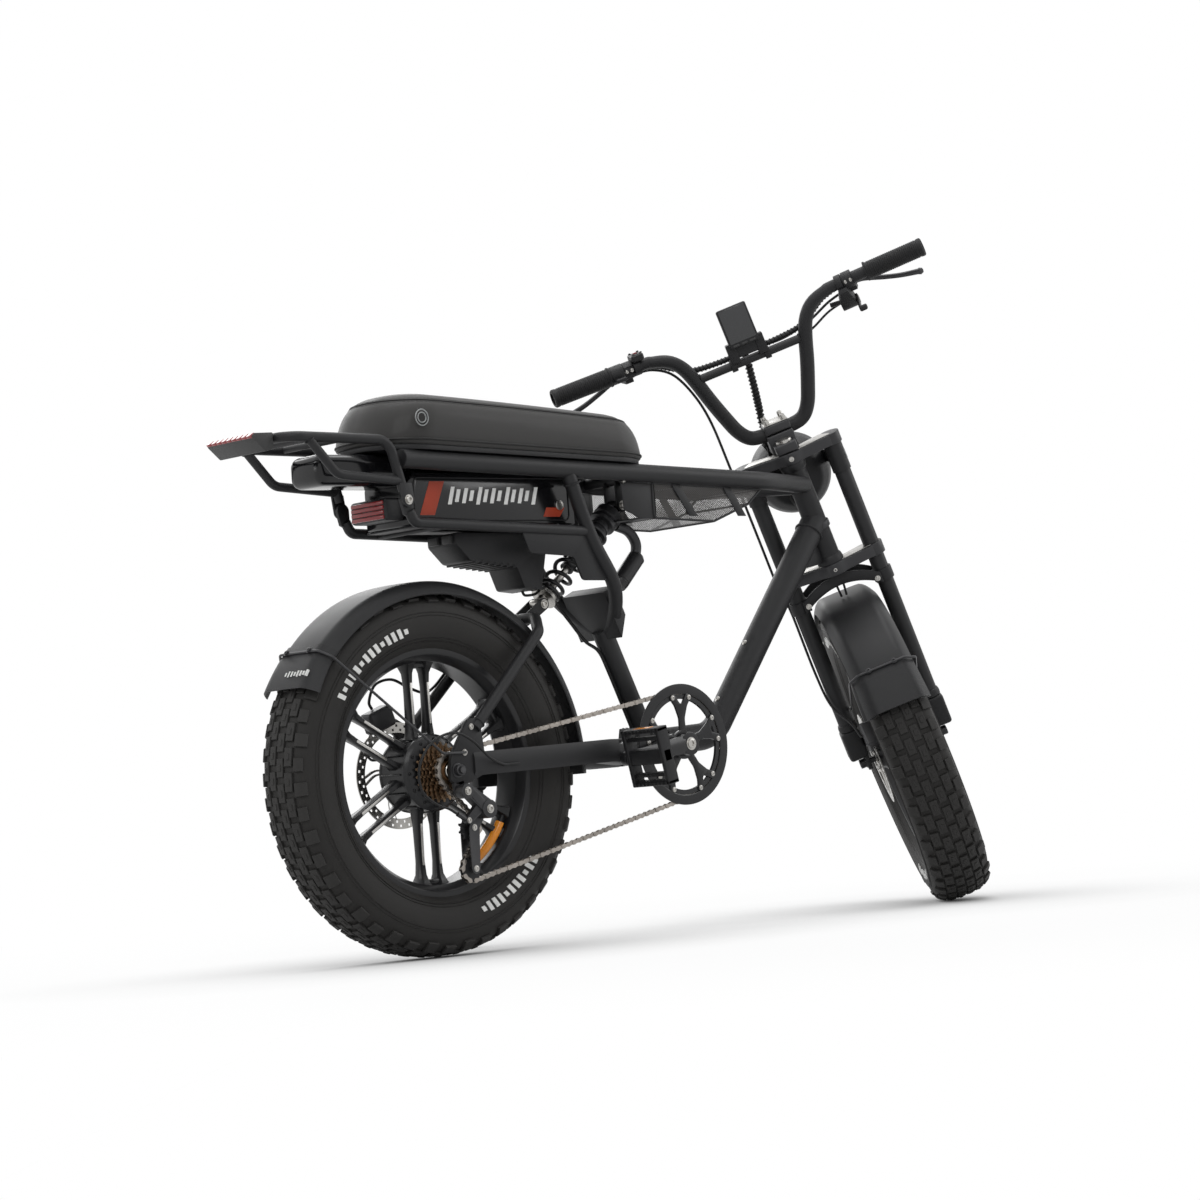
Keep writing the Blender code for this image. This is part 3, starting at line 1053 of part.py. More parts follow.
def build_fork(look, steer):
    lower = cut(crown(LOWER_CROWN, 0.0275), *leg_holes(LOWER_CROWN[0] - 0.01, LOWER_CROWN[1] + 0.01))
    steerer = rod((0, 0, LOWER_CROWN[0] + 0.002), (0, 0, UPPER_CROWN[1]), STEERER_RADIUS, 12)
    node("steerer_crown", union(lower, steerer), look["dark"], (0, 0, LOWER_CROWN[0]), steer)
    steer_hole = rod((0, 0, 0.58), (0, 0, 0.64), bore(STEERER_RADIUS, GAP, 12), 12)
    clamp_holes = leg_holes(UPPER_CROWN[0] - 0.01, UPPER_CROWN[1] + 0.01)
    upper = cut(crown(UPPER_CROWN, 0.0265), steer_hole, *clamp_holes)
    node("upper_crown", upper, look["dark"], (0, 0, UPPER_CROWN[0]), steer)
    for name, side in (("right", -1), ("left", 1)):
        y = side * LEG_Y
        leg = rod((FORK_OFFSET, y, LEG_BOTTOM - 0.01), (FORK_OFFSET, y, LEG_TOP), LEG_RADIUS, 12)
        casting = block((FORK_OFFSET - 0.0195, y - 0.0175, 0.014),
                        (FORK_OFFSET + 0.0195, y + 0.0195, LEG_BOTTOM), 0.005, 1)
        if side == -1:
            casting.data.transform(Matrix.Translation((0, -0.002, 0)))
        plate = [(FORK_OFFSET - 0.016, 0.045), *circle((FORK_OFFSET, 0.0), 0.0165, 8, math.pi, math.tau),
                 (FORK_OFFSET + 0.016, 0.045)]
        dropout = prism(plate, side * 0.0690, side * 0.0770)
        hole = rod((FORK_OFFSET, side * 0.060, 0), (FORK_OFFSET, side * 0.085, 0),
                   bore(AXLE_RADIUS, GAP, 12), 12)
        well = rod((FORK_OFFSET, y, LEG_TOP - 0.010), (FORK_OFFSET, y, LEG_TOP + 0.01), 0.0105, 12)
        node("fork_leg_" + name, cut(union(leg, casting, dropout), hole, well), look["frame"],
             (FORK_OFFSET, y, LEG_TOP), steer)
    # Two arched bands joined at the legs, and the fender's hanger
    parts = []
    for x, rise in ((-0.0030, 0.359), (0.0440, 0.363)):
        span = LEG_Y - 0.006
        outer = []
        inner = []
        for index in range(6):
            share = -1 + index / 2.5
            top = 0.341 + (rise - 0.332) * (1 - share * share)
            outer.append((share * span, top))
            inner.append((share * span, top - 0.021))
        parts.append(prism(outer + inner[::-1], x - 0.002, x + 0.002, "x"))
    for side in (1, -1):
        inner_y = LEG_Y - LEG_RADIUS - GAP
        parts.append(block((-0.004, side * inner_y - (0.004 if side == 1 else 0), 0.322),
                           (0.045, side * inner_y + (0 if side == 1 else 0.004), 0.3405)))
        parts.append(rod((-0.0030, side * 0.007, 0.352), (0.004, side * 0.005, 0.3235), 0.0022, 8))
    node("fork_brace", union(*parts), look["frame"], (FORK_OFFSET, 0.0, 0.34), steer)


def build_front_fender(look, steer):
    placed = Matrix.Translation((FORK_OFFSET, 0.0, 0.0))
    radius = TYRE_RADIUS + FRONT_FENDER_CLEARANCE
    shell = arched_shell(radius, 0.0600, (math.radians(38), math.radians(150)), placed)
    angle = math.radians(135)
    crown_reach = radius + 0.0012
    over = (FORK_OFFSET + crown_reach * math.cos(angle), crown_reach * math.sin(angle))
    edge = (over[0] - 0.018 * math.cos(angle), over[1] - 0.018 * math.sin(angle))
    ends = []
    for side in (-1, 1):
        inner_y = side * (LEG_Y - LEG_RADIUS - GAP - 0.0023)
        ends.append([(FORK_OFFSET, inner_y, 0.112), (-0.010, inner_y, 0.116),
                     (edge[0], side * 0.0655, edge[1]), (over[0], side * 0.046, over[1] - 0.001)])
    wire = tube([*ends[0], *reversed(ends[1])], 0.0023, 1)
    node("front_fender", union(shell, wire), look["fender"], (FORK_OFFSET, 0.0, 0.0), steer)


def build_headlight(look, steer):
    centre_z = 0.558
    bowl = turned([(0.0, 0.0430), (0.030, 0.0430), (0.052, 0.0520), (0.067, 0.0700), (0.074, 0.0920),
                   (0.0765, 0.1180), (0.0765, 0.1300), (0.0700, 0.1300), (0.0650, 0.1230), (0.0, 0.1180)],
                  14, (0, 0, centre_z), (1, 0, 0), ring=False)
    solids = [bowl]
    for side in (1, -1):
        y = side * LEG_Y
        solids.append(rod((FORK_OFFSET, y, 0.546), (FORK_OFFSET, y, UPPER_CROWN[0] - GAP), 0.0178, 12))
        arm = [(0.030, side * 0.078), (0.034, side * 0.092), (0.086, side * 0.076), (0.086, side * 0.064)]
        solids.append(prism(arm, 0.560, 0.585, "z"))
    whole = cut(union(*solids), *leg_holes(0.53, 0.61))
    node("headlight", whole, look["plastic"], (0.043, 0, centre_z), steer)


def build_front_wheel(look, steer):
    centre = (FORK_OFFSET, 0.0, 0.0)
    hinge = empty("front_wheel_axis", centre, steer)
    clear = bore(AXLE_RADIUS, GAP, WHEEL_BORE_SIDES)
    hub = [(0.0, -0.0685), (0.013, -0.0685), (0.013, -0.052), (0.040, -0.034), (0.040, 0.034), (0.022, 0.046),
           (0.020, 0.0552), (0.0, 0.0552)]
    # Angle from straight down the fork to the floor, in the wheel's plane
    roll = math.atan2(math.cos(HEAD_ANGLE) * math.cos(STEER_REST), math.sin(HEAD_ANGLE))
    node("front_rim", wheel_rim(centre, hub, clear), look["frame"], centre, hinge)
    node("front_tyre", wheel_tyre(centre, roll), look["rubber"], centre, hinge)
    node("front_rotor", wheel_rotor(centre, 0.0555, clear), look["steel"], centre, hinge)
    face = 0.0770 + GAP
    profile = [(0.0, -0.0895), (0.0090, -0.0895), (0.0090, -face), (AXLE_RADIUS, -face), (AXLE_RADIUS, face),
               (0.0090, face), (0.0090, 0.0895), (0.0, 0.0895)]
    node("front_axle", turned(profile, 12, centre, ring=False), look["dark"], centre, steer)
    body_centre = Vector((-0.0485, 0.0565, 0.0640))
    tilt = Matrix.Translation(body_centre) @ Matrix.Rotation(math.radians(-46), 4, "Y")
    body = block((-0.026, -0.0140, -0.014), (0.026, 0.0120, 0.020), 0.004, 1, tilt)
    slot = block((-0.06, -0.0018, -0.05), (0.06, 0.0022, 0.0095), placed=tilt)
    arm = prism([(-0.050, 0.060), (-0.036, 0.084), (0.016, 0.050), (0.012, 0.030)], 0.0605, 0.0667)
    node("front_caliper", cut(union(body, arm), slot), look["alloy"], body_centre, steer)


# Handlebar and controls, in the steering frame
def mirrored(place, side):
    return Vector((place[0], place[1] * side, place[2]))


def grip_place(along, side):
    """Point on the bar's straight end, measured from its root."""
    root = mirrored(GRIP_ROOT, side)
    return root + (mirrored(GRIP_TIP, side) - root).normalized() * along


def grip_frame(along, side):
    """Frame on the bar's end: x forward, y out along the bar, z up."""
    out = (mirrored(GRIP_TIP, side) - mirrored(GRIP_ROOT, side)).normalized() * side
    up = Vector((0, 0, 1))
    ahead = out.cross(up).normalized()
    up = ahead.cross(out)
    turn = Matrix((ahead, out, up)).transposed().to_4x4()
    return Matrix.Translation(grip_place(along, side)) @ turn


def build_handlebar(look, steer):
    half = [(BAR_X, 0.032, BAR_Z), (0.029, 0.055, 0.668), (0.026, 0.071, 0.689), (0.020, 0.0835, 0.722),
            (0.012, 0.0975, 0.765), (0.006, 0.1105, 0.810), (0.002, 0.1235, 0.842), (-0.001, 0.1430, 0.864),
            (-0.003, 0.1720, 0.8755), GRIP_ROOT]
    length = (Vector(GRIP_TIP) - Vector(GRIP_ROOT)).length
    left = [Vector(place) for place in (*half, grip_place(length - 0.0035, 1))]
    right = [mirrored(place, -1) for place in left]
    path = [*reversed(right), *left]
    radii = []
    for place in path:
        share = min(max((abs(place[1]) - 0.110) / 0.060, 0.0), 1.0)
        radii.append(BAR_RADIUS + (BAR_END_RADIUS - BAR_RADIUS) * share)
    bar = tube(path, BAR_RADIUS, 2, radii)
    cross = rod((CROSSBAR_X, -0.108, CROSSBAR_Z), (CROSSBAR_X, 0.108, CROSSBAR_Z), CROSSBAR_RADIUS, 8)
    node("handlebar", union(bar, cross), look["frame"], (BAR_X, 0.0, BAR_Z), steer)
    clamp = block((0.006, -0.026, UPPER_CROWN[1] + GAP), (0.054, 0.026, 0.6815), 0.002)
    foot = block((-0.0215, -0.021, UPPER_CROWN[1] + GAP), (0.020, 0.021, 0.6420), 0.002)
    bolts = [rod((BAR_X + x, y, 0.680), (BAR_X + x, y, 0.693), 0.0052, 6)
             for x in (-0.018, 0.018) for y in (-0.016, 0.016)]
    hole = rod((BAR_X, -0.05, BAR_Z), (BAR_X, 0.05, BAR_Z), bore(BAR_RADIUS, GAP, 14), 14)
    node("bar_clamp", cut(union(clamp, foot, *bolts), hole), look["dark"], (BAR_X, 0.0, BAR_Z), steer)


def sleeve(along, length, outer, side, steps=12):
    """Ring of the given outer radius round the bar's end."""
    return rod(grip_place(along, side), grip_place(along + length, side), outer, steps)


def bar_hole(side, start=-0.02, end=0.30):
    return rod(grip_place(start, side), grip_place(end, side), bore(BAR_END_RADIUS + 0.0006, GAP, 12), 12)


def build_grips(look, steer):
    length = (Vector(GRIP_TIP) - Vector(GRIP_ROOT)).length
    for name, side in (("right", -1), ("left", 1)):
        body = sleeve(0.0560, length - 0.0560, 0.0165, side, 14)
        inner = bar_hole(side, 0.04, length - 0.0030)
        node("grip_" + name, cut(body, inner), look["grip"], grip_place(0.056, side), steer)


LEVER_PIVOT = (0.030, 0.002, -0.014)


def build_levers(look, steer):
    for name, side in (("right", -1), ("left", 1)):
        frame = grip_frame(0.020, side)
        pivot_place = frame @ Vector((LEVER_PIVOT[0], side * LEVER_PIVOT[1], LEVER_PIVOT[2]))
        joint = empty("brake_lever_axis_" + name, pivot_place, steer)
        route = [LEVER_PIVOT, (0.037, 0.022, -0.016), (0.043, 0.058, -0.030), (0.043, 0.090, -0.040),
                 (0.047, 0.124, -0.048)]
        path = [frame @ Vector((x, side * y, z)) for x, y, z in smooth(route, 2)]
        blade = tube(path, 0.0045, 2, [0.0045] * (len(path) - 1) + [0.0062])
        hub = rod(frame @ Vector((LEVER_PIVOT[0], side * LEVER_PIVOT[1], -0.0188)),
                  frame @ Vector((LEVER_PIVOT[0], side * LEVER_PIVOT[1], -0.0092)), 0.0078, 12)
        node("brake_lever_" + name, union(blade, hub), look["dark"], pivot_place, joint)


def perch(side):
    """Bar clamp with a fork that holds the lever's hub from above and below."""
    frame = grip_frame(0.020, side)
    ring = sleeve(0.0110, 0.0180, 0.0165, side)
    ends = sorted((-0.006 * side, 0.0095 * side))
    neck = block((0.004, ends[0], -0.0245), (0.0385, ends[1], -0.0035), placed=frame)
    slot = block((0.0200, -0.05, -0.0193), (0.060, 0.05, -0.0087), placed=frame)
    return cut(union(ring, neck), slot)


def build_right_controls(look, steer):
    side = -1
    frame = grip_frame(0.0, side)
    ring = sleeve(-0.0030, 0.0120, 0.0160, side)
    upper = rod(frame @ Vector((-0.010, 0.002, -0.017)), frame @ Vector((-0.010, -0.014, -0.017)), 0.010, 8)
    lower = rod(frame @ Vector((0.008, 0.010, -0.040)), frame @ Vector((0.008, -0.020, -0.040)), 0.0135, 10)
    pod = hull(upper, lower)
    link = block((-0.006, -0.018, -0.034), (0.016, -0.002, -0.010), placed=frame)
    barrel = rod(frame @ Vector((0.010, 0.008, -0.036)), frame @ Vector((0.012, 0.030, -0.034)), 0.0045, 8)
    whole = cut(union(perch(side), ring, pod, link, barrel), bar_hole(side))
    node("right_controls", whole, look["plastic"], frame.to_translation(), steer)
    pivot_place = frame @ Vector((0.006, -0.0208, -0.042))
    joint = empty("shift_lever_axis", pivot_place, steer)
    hub = rod(frame @ Vector((0.006, -0.0208, -0.042)), frame @ Vector((0.006, -0.0250, -0.042)), 0.0085, 12)
    paddle = hull(block((-0.034, -0.0250, -0.058), (-0.026, -0.0212, -0.048), placed=frame),
                  block((-0.002, -0.0248, -0.048), (0.010, -0.0214, -0.038), placed=frame))
    tip = block((-0.036, -0.0360, -0.060), (-0.024, -0.0214, -0.050), 0.002, 1, frame)
    node("shift_lever", union(hub, paddle, tip), look["plastic"], pivot_place, joint)


def build_left_controls(look, steer):
    side = 1
    frame = grip_frame(0.0, side)
    ring = sleeve(-0.0030, 0.0130, 0.0160, side)
    switch = block((-0.0220, -0.0130, 0.0115), (0.0100, 0.0110, 0.0255), 0.003, 1, frame)
    pocket = block((-0.0110, -0.0050, 0.0210), (-0.0030, 0.0030, 0.0280), placed=frame)
    link = block((0.0125, 0.004, -0.0080), (0.0150, 0.016, 0.0020), placed=frame)
    whole = cut(union(perch(side), ring, switch, link), pocket, bar_hole(side))
    node("left_controls", whole, look["plastic"], frame.to_translation(), steer)
    button_place = frame @ Vector((-0.0070, -0.0010, 0.0225))
    slide = empty("horn_button_axis", button_place, steer)
    button = block((-0.0106, -0.0046, 0.0235), (-0.0034, 0.0026, 0.0275), placed=frame)
    node("horn_button", button, look["red"], button_place, slide)
    # Thumb throttle: ring between the brake perch and the grip, with a paddle behind and below the bar
    ring_place = grip_place(0.0425, side)
    twist = empty("throttle_axis", ring_place, steer)
    near = sleeve(0.0302, 0.0250, 0.0175, side)
    grip_side = grip_frame(0.0425, side)
    paddle = block((-0.0320, -0.0100, -0.0120), (-0.0120, 0.0110, -0.0050), 0.0015, 1, grip_side)
    whole = cut(union(near, paddle), bar_hole(side))
    node("throttle_lever", whole, look["plastic"], ring_place, twist)


def build_display(look, steer):
    tilt = Matrix.Translation((-0.012, 0.001, 0.8800)) @ Matrix.Rotation(math.radians(8), 4, "Y")
    case = block((-0.0065, -0.0290, -0.0380), (0.0065, 0.0290, 0.0380), 0.002, 1, tilt)
    solids = [case]
    for y in (-0.0335, 0.0335):
        solids.append(rod((CROSSBAR_X, y - 0.006, CROSSBAR_Z), (CROSSBAR_X, y + 0.006, CROSSBAR_Z),
                          0.0125, 8))
        inward = -1 if y > 0 else 1
        low_y = min(y, y + inward * 0.012) - 0.003
        high_y = max(y, y + inward * 0.012) + 0.003
        solids.append(block((-0.0120, low_y, CROSSBAR_Z + 0.004), (0.0030, high_y, 0.8520)))
    hole = rod((CROSSBAR_X, -0.06, CROSSBAR_Z), (CROSSBAR_X, 0.06, CROSSBAR_Z),
               bore(CROSSBAR_RADIUS, GAP, 8), 8)
    node("display", cut(union(*solids), hole), look["glass"], (-0.012, 0.0, 0.88), steer)


# Cables held by the bike all the way
CABLE_BUNDLE = [(0.0204, 0.003, 0.828), (0.0204, 0.005, 0.810), (0.028, 0.008, 0.780), (0.042, 0.012, 0.740),
                (0.0612, 0.016, 0.702), (0.0607, 0.020, 0.680), (0.0605, 0.023, 0.650), (0.058, 0.030, 0.634)]
FRONT_BRAKE_CABLE = [(-0.050, 0.0716, 0.070), (-0.030, 0.0800, 0.098), (0.000, 0.1000, 0.135),
                     (0.0193, 0.1044, 0.200), (0.0193, 0.1036, 0.330), (0.0193, 0.1094, 0.372),
                     (0.0193, 0.1094, 0.500), (0.0193, 0.1094, 0.630), (0.030, 0.1100, 0.720),
                     (0.030, 0.1200, 0.780), (0.027, 0.1420, 0.832), (0.020, 0.1750, 0.858),
                     (0.012, 0.2115, 0.866)]
REAR_BRAKE_CABLE = [(0.1806, 0.0803, 0.5220), (0.1456, 0.0824, 0.4888), (0.1106, 0.0845, 0.4558),
                    (0.085, 0.0835, 0.4460), (0.050, 0.080, 0.455), (0.010, 0.076, 0.470),
                    (-0.030, 0.071, 0.462), (-0.0470, 0.069, 0.4345), (-0.0421, 0.069, 0.4207)]
SHIFT_CABLE = [(0.130, -0.0988, 0.312), (0.112, -0.0988, 0.312), (0.094, -0.0992, 0.3125),
               (0.060, -0.1060, 0.325), (0.020, -0.112, 0.354), (-0.020, -0.112, 0.369),
               (-0.066, -0.110, 0.354), (-0.0925, -0.108, 0.318),
               (-0.0900, -0.105, 0.280), (-0.062, -0.102, 0.256), (-0.0307, -0.0997, 0.2448),
               (-0.0133, -0.0995, 0.2352)]
FRAME_CABLE = [(0.2752, 0.030, 0.650), (0.300, 0.033, 0.642), (0.345, 0.032, 0.600), (0.380, 0.026, 0.556),
               (0.402, 0.014, 0.520), (0.4227, 0.004, 0.5008), (0.4401, 0.0, 0.4615), (0.4851, 0.0, 0.3600)]


def build_cables(look, steer, pivot):
    for name, route, radius, steps, parent in (("cable_bundle", CABLE_BUNDLE, 0.0060, 1, steer),
                                               ("front_brake_cable", FRONT_BRAKE_CABLE, 0.0025, 1, steer),
                                               ("rear_brake_cable", REAR_BRAKE_CABLE, 0.0025, 2, pivot),
                                               ("shift_cable", SHIFT_CABLE, 0.0022, 2, pivot),
                                               ("frame_cable", FRAME_CABLE, 0.0030, 1, None)):
        cord = tube(smooth(route, steps), radius, 1)
        node(name, cord, look["cable"], route[0], parent, sharp=60)


def main():
    clear_scene()
    look = make_looks()
    build_main_frame(look)
    build_battery(look)
    build_seat(look)
    build_rack(look)
    build_basket(look)
    pivot = empty("swingarm_pivot", (PIVOT[0], 0.0, PIVOT[1]))
    build_swingarm(look, pivot)
    build_rear_fender(look, pivot)
    build_kickstand(look, pivot)
    build_rear_wheel(look, pivot)
    build_rear_brake(look, pivot)
    build_chain(look, pivot)
    build_derailleur(look, pivot)
    build_shock(look)
    build_crankset(look)
    steer = empty("steering_axis", (0.0, 0.0, 0.0))
    build_fork(look, steer)
    build_front_fender(look, steer)
    build_headlight(look, steer)
    build_front_wheel(look, steer)
    build_handlebar(look, steer)
    build_grips(look, steer)
    build_levers(look, steer)
    build_right_controls(look, steer)
    build_left_controls(look, steer)
    build_display(look, steer)
    build_cables(look, steer, pivot)
    # Lean the steering frame back to the head angle, then turn it to its rest
    lean = Matrix.Rotation(-(math.pi / 2 - HEAD_ANGLE), 4, "Y")
    steer.matrix_world = Matrix.Translation(STEER_FOOT) @ lean @ Matrix.Rotation(STEER_REST, 4, "Z")
    for made in bpy.data.objects:
        if made.parent is None:
            made.location.z += LIFT
    bpy.context.view_layer.update()


main()
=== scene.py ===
"""Looks of the electric bicycle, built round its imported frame.

Bike frame: metres, x forward, y left, z up, rear axle above the origin.
Steering frame: the same axes along the steering axis, turned to the rest position by STEER.
"""
import json
import math

import bmesh
import bpy
from mathutils import Matrix, Vector

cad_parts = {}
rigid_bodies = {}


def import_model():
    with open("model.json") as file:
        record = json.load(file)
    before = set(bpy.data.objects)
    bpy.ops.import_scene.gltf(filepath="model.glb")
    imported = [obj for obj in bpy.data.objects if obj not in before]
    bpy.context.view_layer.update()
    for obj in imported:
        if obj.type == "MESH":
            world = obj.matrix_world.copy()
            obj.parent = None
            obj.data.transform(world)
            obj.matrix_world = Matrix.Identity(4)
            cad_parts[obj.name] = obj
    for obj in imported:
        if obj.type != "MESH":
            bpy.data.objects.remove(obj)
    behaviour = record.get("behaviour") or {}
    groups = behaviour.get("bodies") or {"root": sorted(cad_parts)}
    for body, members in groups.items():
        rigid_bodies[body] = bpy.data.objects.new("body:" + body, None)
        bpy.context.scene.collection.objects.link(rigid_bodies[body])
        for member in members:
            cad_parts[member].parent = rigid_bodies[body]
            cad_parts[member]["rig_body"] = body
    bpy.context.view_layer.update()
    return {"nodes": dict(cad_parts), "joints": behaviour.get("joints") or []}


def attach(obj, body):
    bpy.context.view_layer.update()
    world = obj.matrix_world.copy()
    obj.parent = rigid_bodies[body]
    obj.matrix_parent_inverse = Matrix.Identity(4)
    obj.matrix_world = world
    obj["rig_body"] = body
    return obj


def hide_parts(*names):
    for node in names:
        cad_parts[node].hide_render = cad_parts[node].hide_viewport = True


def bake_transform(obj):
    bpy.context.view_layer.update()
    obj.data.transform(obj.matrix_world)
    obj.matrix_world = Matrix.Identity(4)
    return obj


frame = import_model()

# Sizes shared with the CAD source
WHEEL_RADIUS = 0.307
AXLE = Vector((0.0, 0.0, WHEEL_RADIUS))
HEAD_ANGLE = math.radians(65.76)
STEER_REST = math.radians(49.33)
FORK_OFFSET = 0.0193
RAIL_Y = 0.0852
RAIL_BACK = (-0.067, 0.826)
RAIL_SLOPE = 0.03785
RAIL_RADIUS = 0.016
LEG_Y = 0.0846
CHAIN_Y = -0.075
CRANK_CENTRE = Vector((0.531, 0.0, 0.327))
CRANK_ANGLE = math.radians(6.6)
CRANK_LENGTH = 0.165
CHAIN_PITCH = 0.0127
CHAINRING_RADIUS, PULLEY_RADIUS, SPROCKET_RADIUS = 0.093, 0.0205, 0.0285
PIVOT = Vector((0.41, 0.0, 0.313))
SHOCK_LOW = Vector((0.286, 0.0, 0.585))
SHOCK_TOP = Vector((0.487, 0.0, 0.757))
GUIDE_PULLEY = (0.0314, 0.2111)
TENSION_PULLEY = (0.0293, 0.1431)
SEAT_TILT = math.atan(RAIL_SLOPE)
DOWN_TUBE_LOW, DOWN_TUBE_TOP = Vector((0.68, 0, 0.341)), Vector((0.992, 0, 0.733))
DOWN_TUBE_RUN = (DOWN_TUBE_TOP - DOWN_TUBE_LOW).normalized()
LOWER_CROWN, UPPER_CROWN = (0.372, 0.395), (0.6, 0.622)
HEAD_TUBE = (LOWER_CROWN[1] + 0.0003, UPPER_CROWN[0] - 0.0003)
BRACKET_HALF, PIVOT_HALF = 0.05, 0.0385
CROSSBAR_X, CROSSBAR_Z = 0.006, 0.81

JOINTS = {joint["name"]: joint for joint in frame["joints"]}
FOOT = Vector(JOINTS["steering"]["pos_m"])
STEER = (Matrix.Translation(FOOT) @ Matrix.Rotation(HEAD_ANGLE - math.pi / 2, 4, "Y")
         @ Matrix.Rotation(STEER_REST, 4, "Z"))
FRONT = STEER @ Matrix.Translation((FORK_OFFSET, 0.0, 0.0))
REAR = Matrix.Translation(AXLE)


def rail_z(x):
    """Height of the seat rail's middle line."""
    return RAIL_BACK[1] - RAIL_SLOPE * (x - RAIL_BACK[0])


def at_y(place, y):
    """The place moved sideways to y."""
    return Vector((place.x, y, place.z))


# Mesh building: a solid is a list of points and a list of faces
def merged(*solids):
    points, faces = [], []
    for solid_points, solid_faces in solids:
        start = len(points)
        points += solid_points
        faces += [[index + start for index in face] for face in solid_faces]
    return points, faces


def moved(solid, matrix):
    return [matrix @ Vector(point) for point in solid[0]], solid[1]


def strip(near, far, count):
    """Faces between two closed rings of points."""
    return [[near + k, near + (k + 1) % count, far + (k + 1) % count, far + k] for k in range(count)]


def round_points(radius, y, angles):
    """Points on a circle round the y axis."""
    return [(radius * math.cos(angle), y, radius * math.sin(angle)) for angle in angles]


def evenly(count, offset=0.0):
    """Angles spread evenly round a turn."""
    return [math.tau * (k + offset) / count for k in range(count)]


def solid_of(shape):
    shape.verts.index_update()
    points = [vertex.co.copy() for vertex in shape.verts]
    faces = [[vertex.index for vertex in face.verts] for face in shape.faces]
    shape.free()
    return points, faces


def toward(direction):
    return Vector(direction).to_track_quat("Z", "Y").to_matrix().to_4x4()


def lathe(profile, steps=64, centre=(0, 0, 0), direction=(0, 1, 0), ring=True):
    """Turned solid from (radius, height) points along the direction through the centre."""
    turn = Matrix.Translation(centre) @ toward(direction)
    count = len(profile)
    points, faces = [], []
    for step in range(steps):
        angle = math.tau * step / steps
        for radius, height in profile:
            points.append(turn @ Vector((radius * math.cos(angle), radius * math.sin(angle), height)))
    for step in range(steps):
        near, far = step * count, (step + 1) % steps * count
        for index in range(count if ring else count - 1):
            after = (index + 1) % count
            faces.append([near + index, far + index, far + after, near + after])
    if not ring:
        for index in (0, count - 1):
            if profile[index][0] > 1e-6:
                faces.append([step * count + index for step in range(steps)])
    return points, faces


def softened(profile, radius, ring=True, steps=3):
    """Profile or outline with its corners rounded."""
    rounded = []
    count = len(profile)
    for index, corner in enumerate(profile):
        corner = Vector(corner)
        if not ring and index in (0, count - 1):
            rounded.append(tuple(corner))
            continue
        back = Vector(profile[index - 1]) - corner
        ahead = Vector(profile[(index + 1) % count]) - corner
        reach = min(radius, back.length * 0.45, ahead.length * 0.45)
        first = corner + back.normalized() * reach
        last = corner + ahead.normalized() * reach
        for step in range(steps + 1):
            t = step / steps
            rounded.append(tuple(first * (1 - t) ** 2 + corner * (2 * t * (1 - t)) + last * t * t))
    return rounded


def tube(route, radius, sides=16, radii=None, closed=False, squash=1.0):
    """Round bar along the route; squash flattens its section."""
    route = [Vector(place) for place in route]
    count = len(route)
    points, faces = [], []
    normal = None
    for index, place in enumerate(route):
        before = route[index - 1] if index or closed else place
        after = route[(index + 1) % count] if index < count - 1 or closed else place
        along = (after - before).normalized()
        if normal is None:
            normal = along.orthogonal().normalized()
        normal = (normal - along * normal.dot(along)).normalized()
        side = along.cross(normal)
        size = radii[index] if radii else radius
        for step in range(sides):
            angle = math.tau * step / sides
            points.append(place + size * (math.cos(angle) * normal + math.sin(angle) * squash * side))
    for index in range(count if closed else count - 1):
        faces += strip(index * sides, (index + 1) % count * sides, sides)
    if not closed:
        faces += [list(range(sides)), list(range((count - 1) * sides, count * sides))]
    return points, faces


def rod(start, end, radius, sides=32, edge=0.0006):
    """Straight round bar with softened ends."""
    run = (Vector(end) - Vector(start)).length
    profile = [(0.0, 0.0), (radius, 0.0), (radius, run), (0.0, run)]
    return lathe(softened(profile, edge, ring=False), sides, start, Vector(end) - Vector(start), ring=False)


def smooth(route, per_span=6, closed=False):
    """Points on a Catmull-Rom curve through the route."""
    route = [Vector(place) for place in route]
    if closed:
        padded = [route[-1], *route, route[0], route[1]]
    else:
        padded = [route[0] * 2 - route[1], *route, route[-1] * 2 - route[-2]]
    path = []
    for p0, p1, p2, p3 in zip(padded, padded[1:], padded[2:], padded[3:]):
        for index in range(per_span):
            t = index / per_span
            path.append(0.5 * (2 * p1 + (p2 - p0) * t + (2 * p0 - 5 * p1 + 4 * p2 - p3) * t * t
                               + (3 * p1 - p0 - 3 * p2 + p3) * t * t * t))
    if not closed:
        path.append(route[-1])
    return path


def bent(corners, radius, step=math.radians(6)):
    """Line through the corners with each inner corner rounded."""
    corners = [Vector(corner) for corner in corners]
    path = [corners[0]]
    for before, corner, after in zip(corners, corners[1:], corners[2:]):
        back = (before - corner).normalized()
        ahead = (after - corner).normalized()
        turn = math.pi - back.angle(ahead)
        reach = radius * math.tan(turn / 2)
        centre = corner + (back + ahead).normalized() * (radius / math.cos(turn / 2))
        first = corner + back * reach - centre
        axis = first.cross(corner + ahead * reach - centre).normalized()
        count = max(2, math.ceil(turn / step))
        path += [centre + Matrix.Rotation(turn * index / count, 3, axis) @ first
                 for index in range(count + 1)]
    path.append(corners[-1])
    return path


def box(low, high, bevel=0.001, segments=2, placed=None):
    low, high = Vector(low), Vector(high)
    shape = bmesh.new()
    bmesh.ops.create_cube(shape, size=1.0)
    bmesh.ops.scale(shape, vec=high - low, verts=shape.verts)
    bmesh.ops.translate(shape, vec=(low + high) / 2, verts=shape.verts)
    bmesh.ops.bevel(shape, geom=shape.edges[:], offset=bevel, segments=segments, affect="EDGES", profile=0.5)
    solid = solid_of(shape)
    return moved(solid, placed) if placed else solid


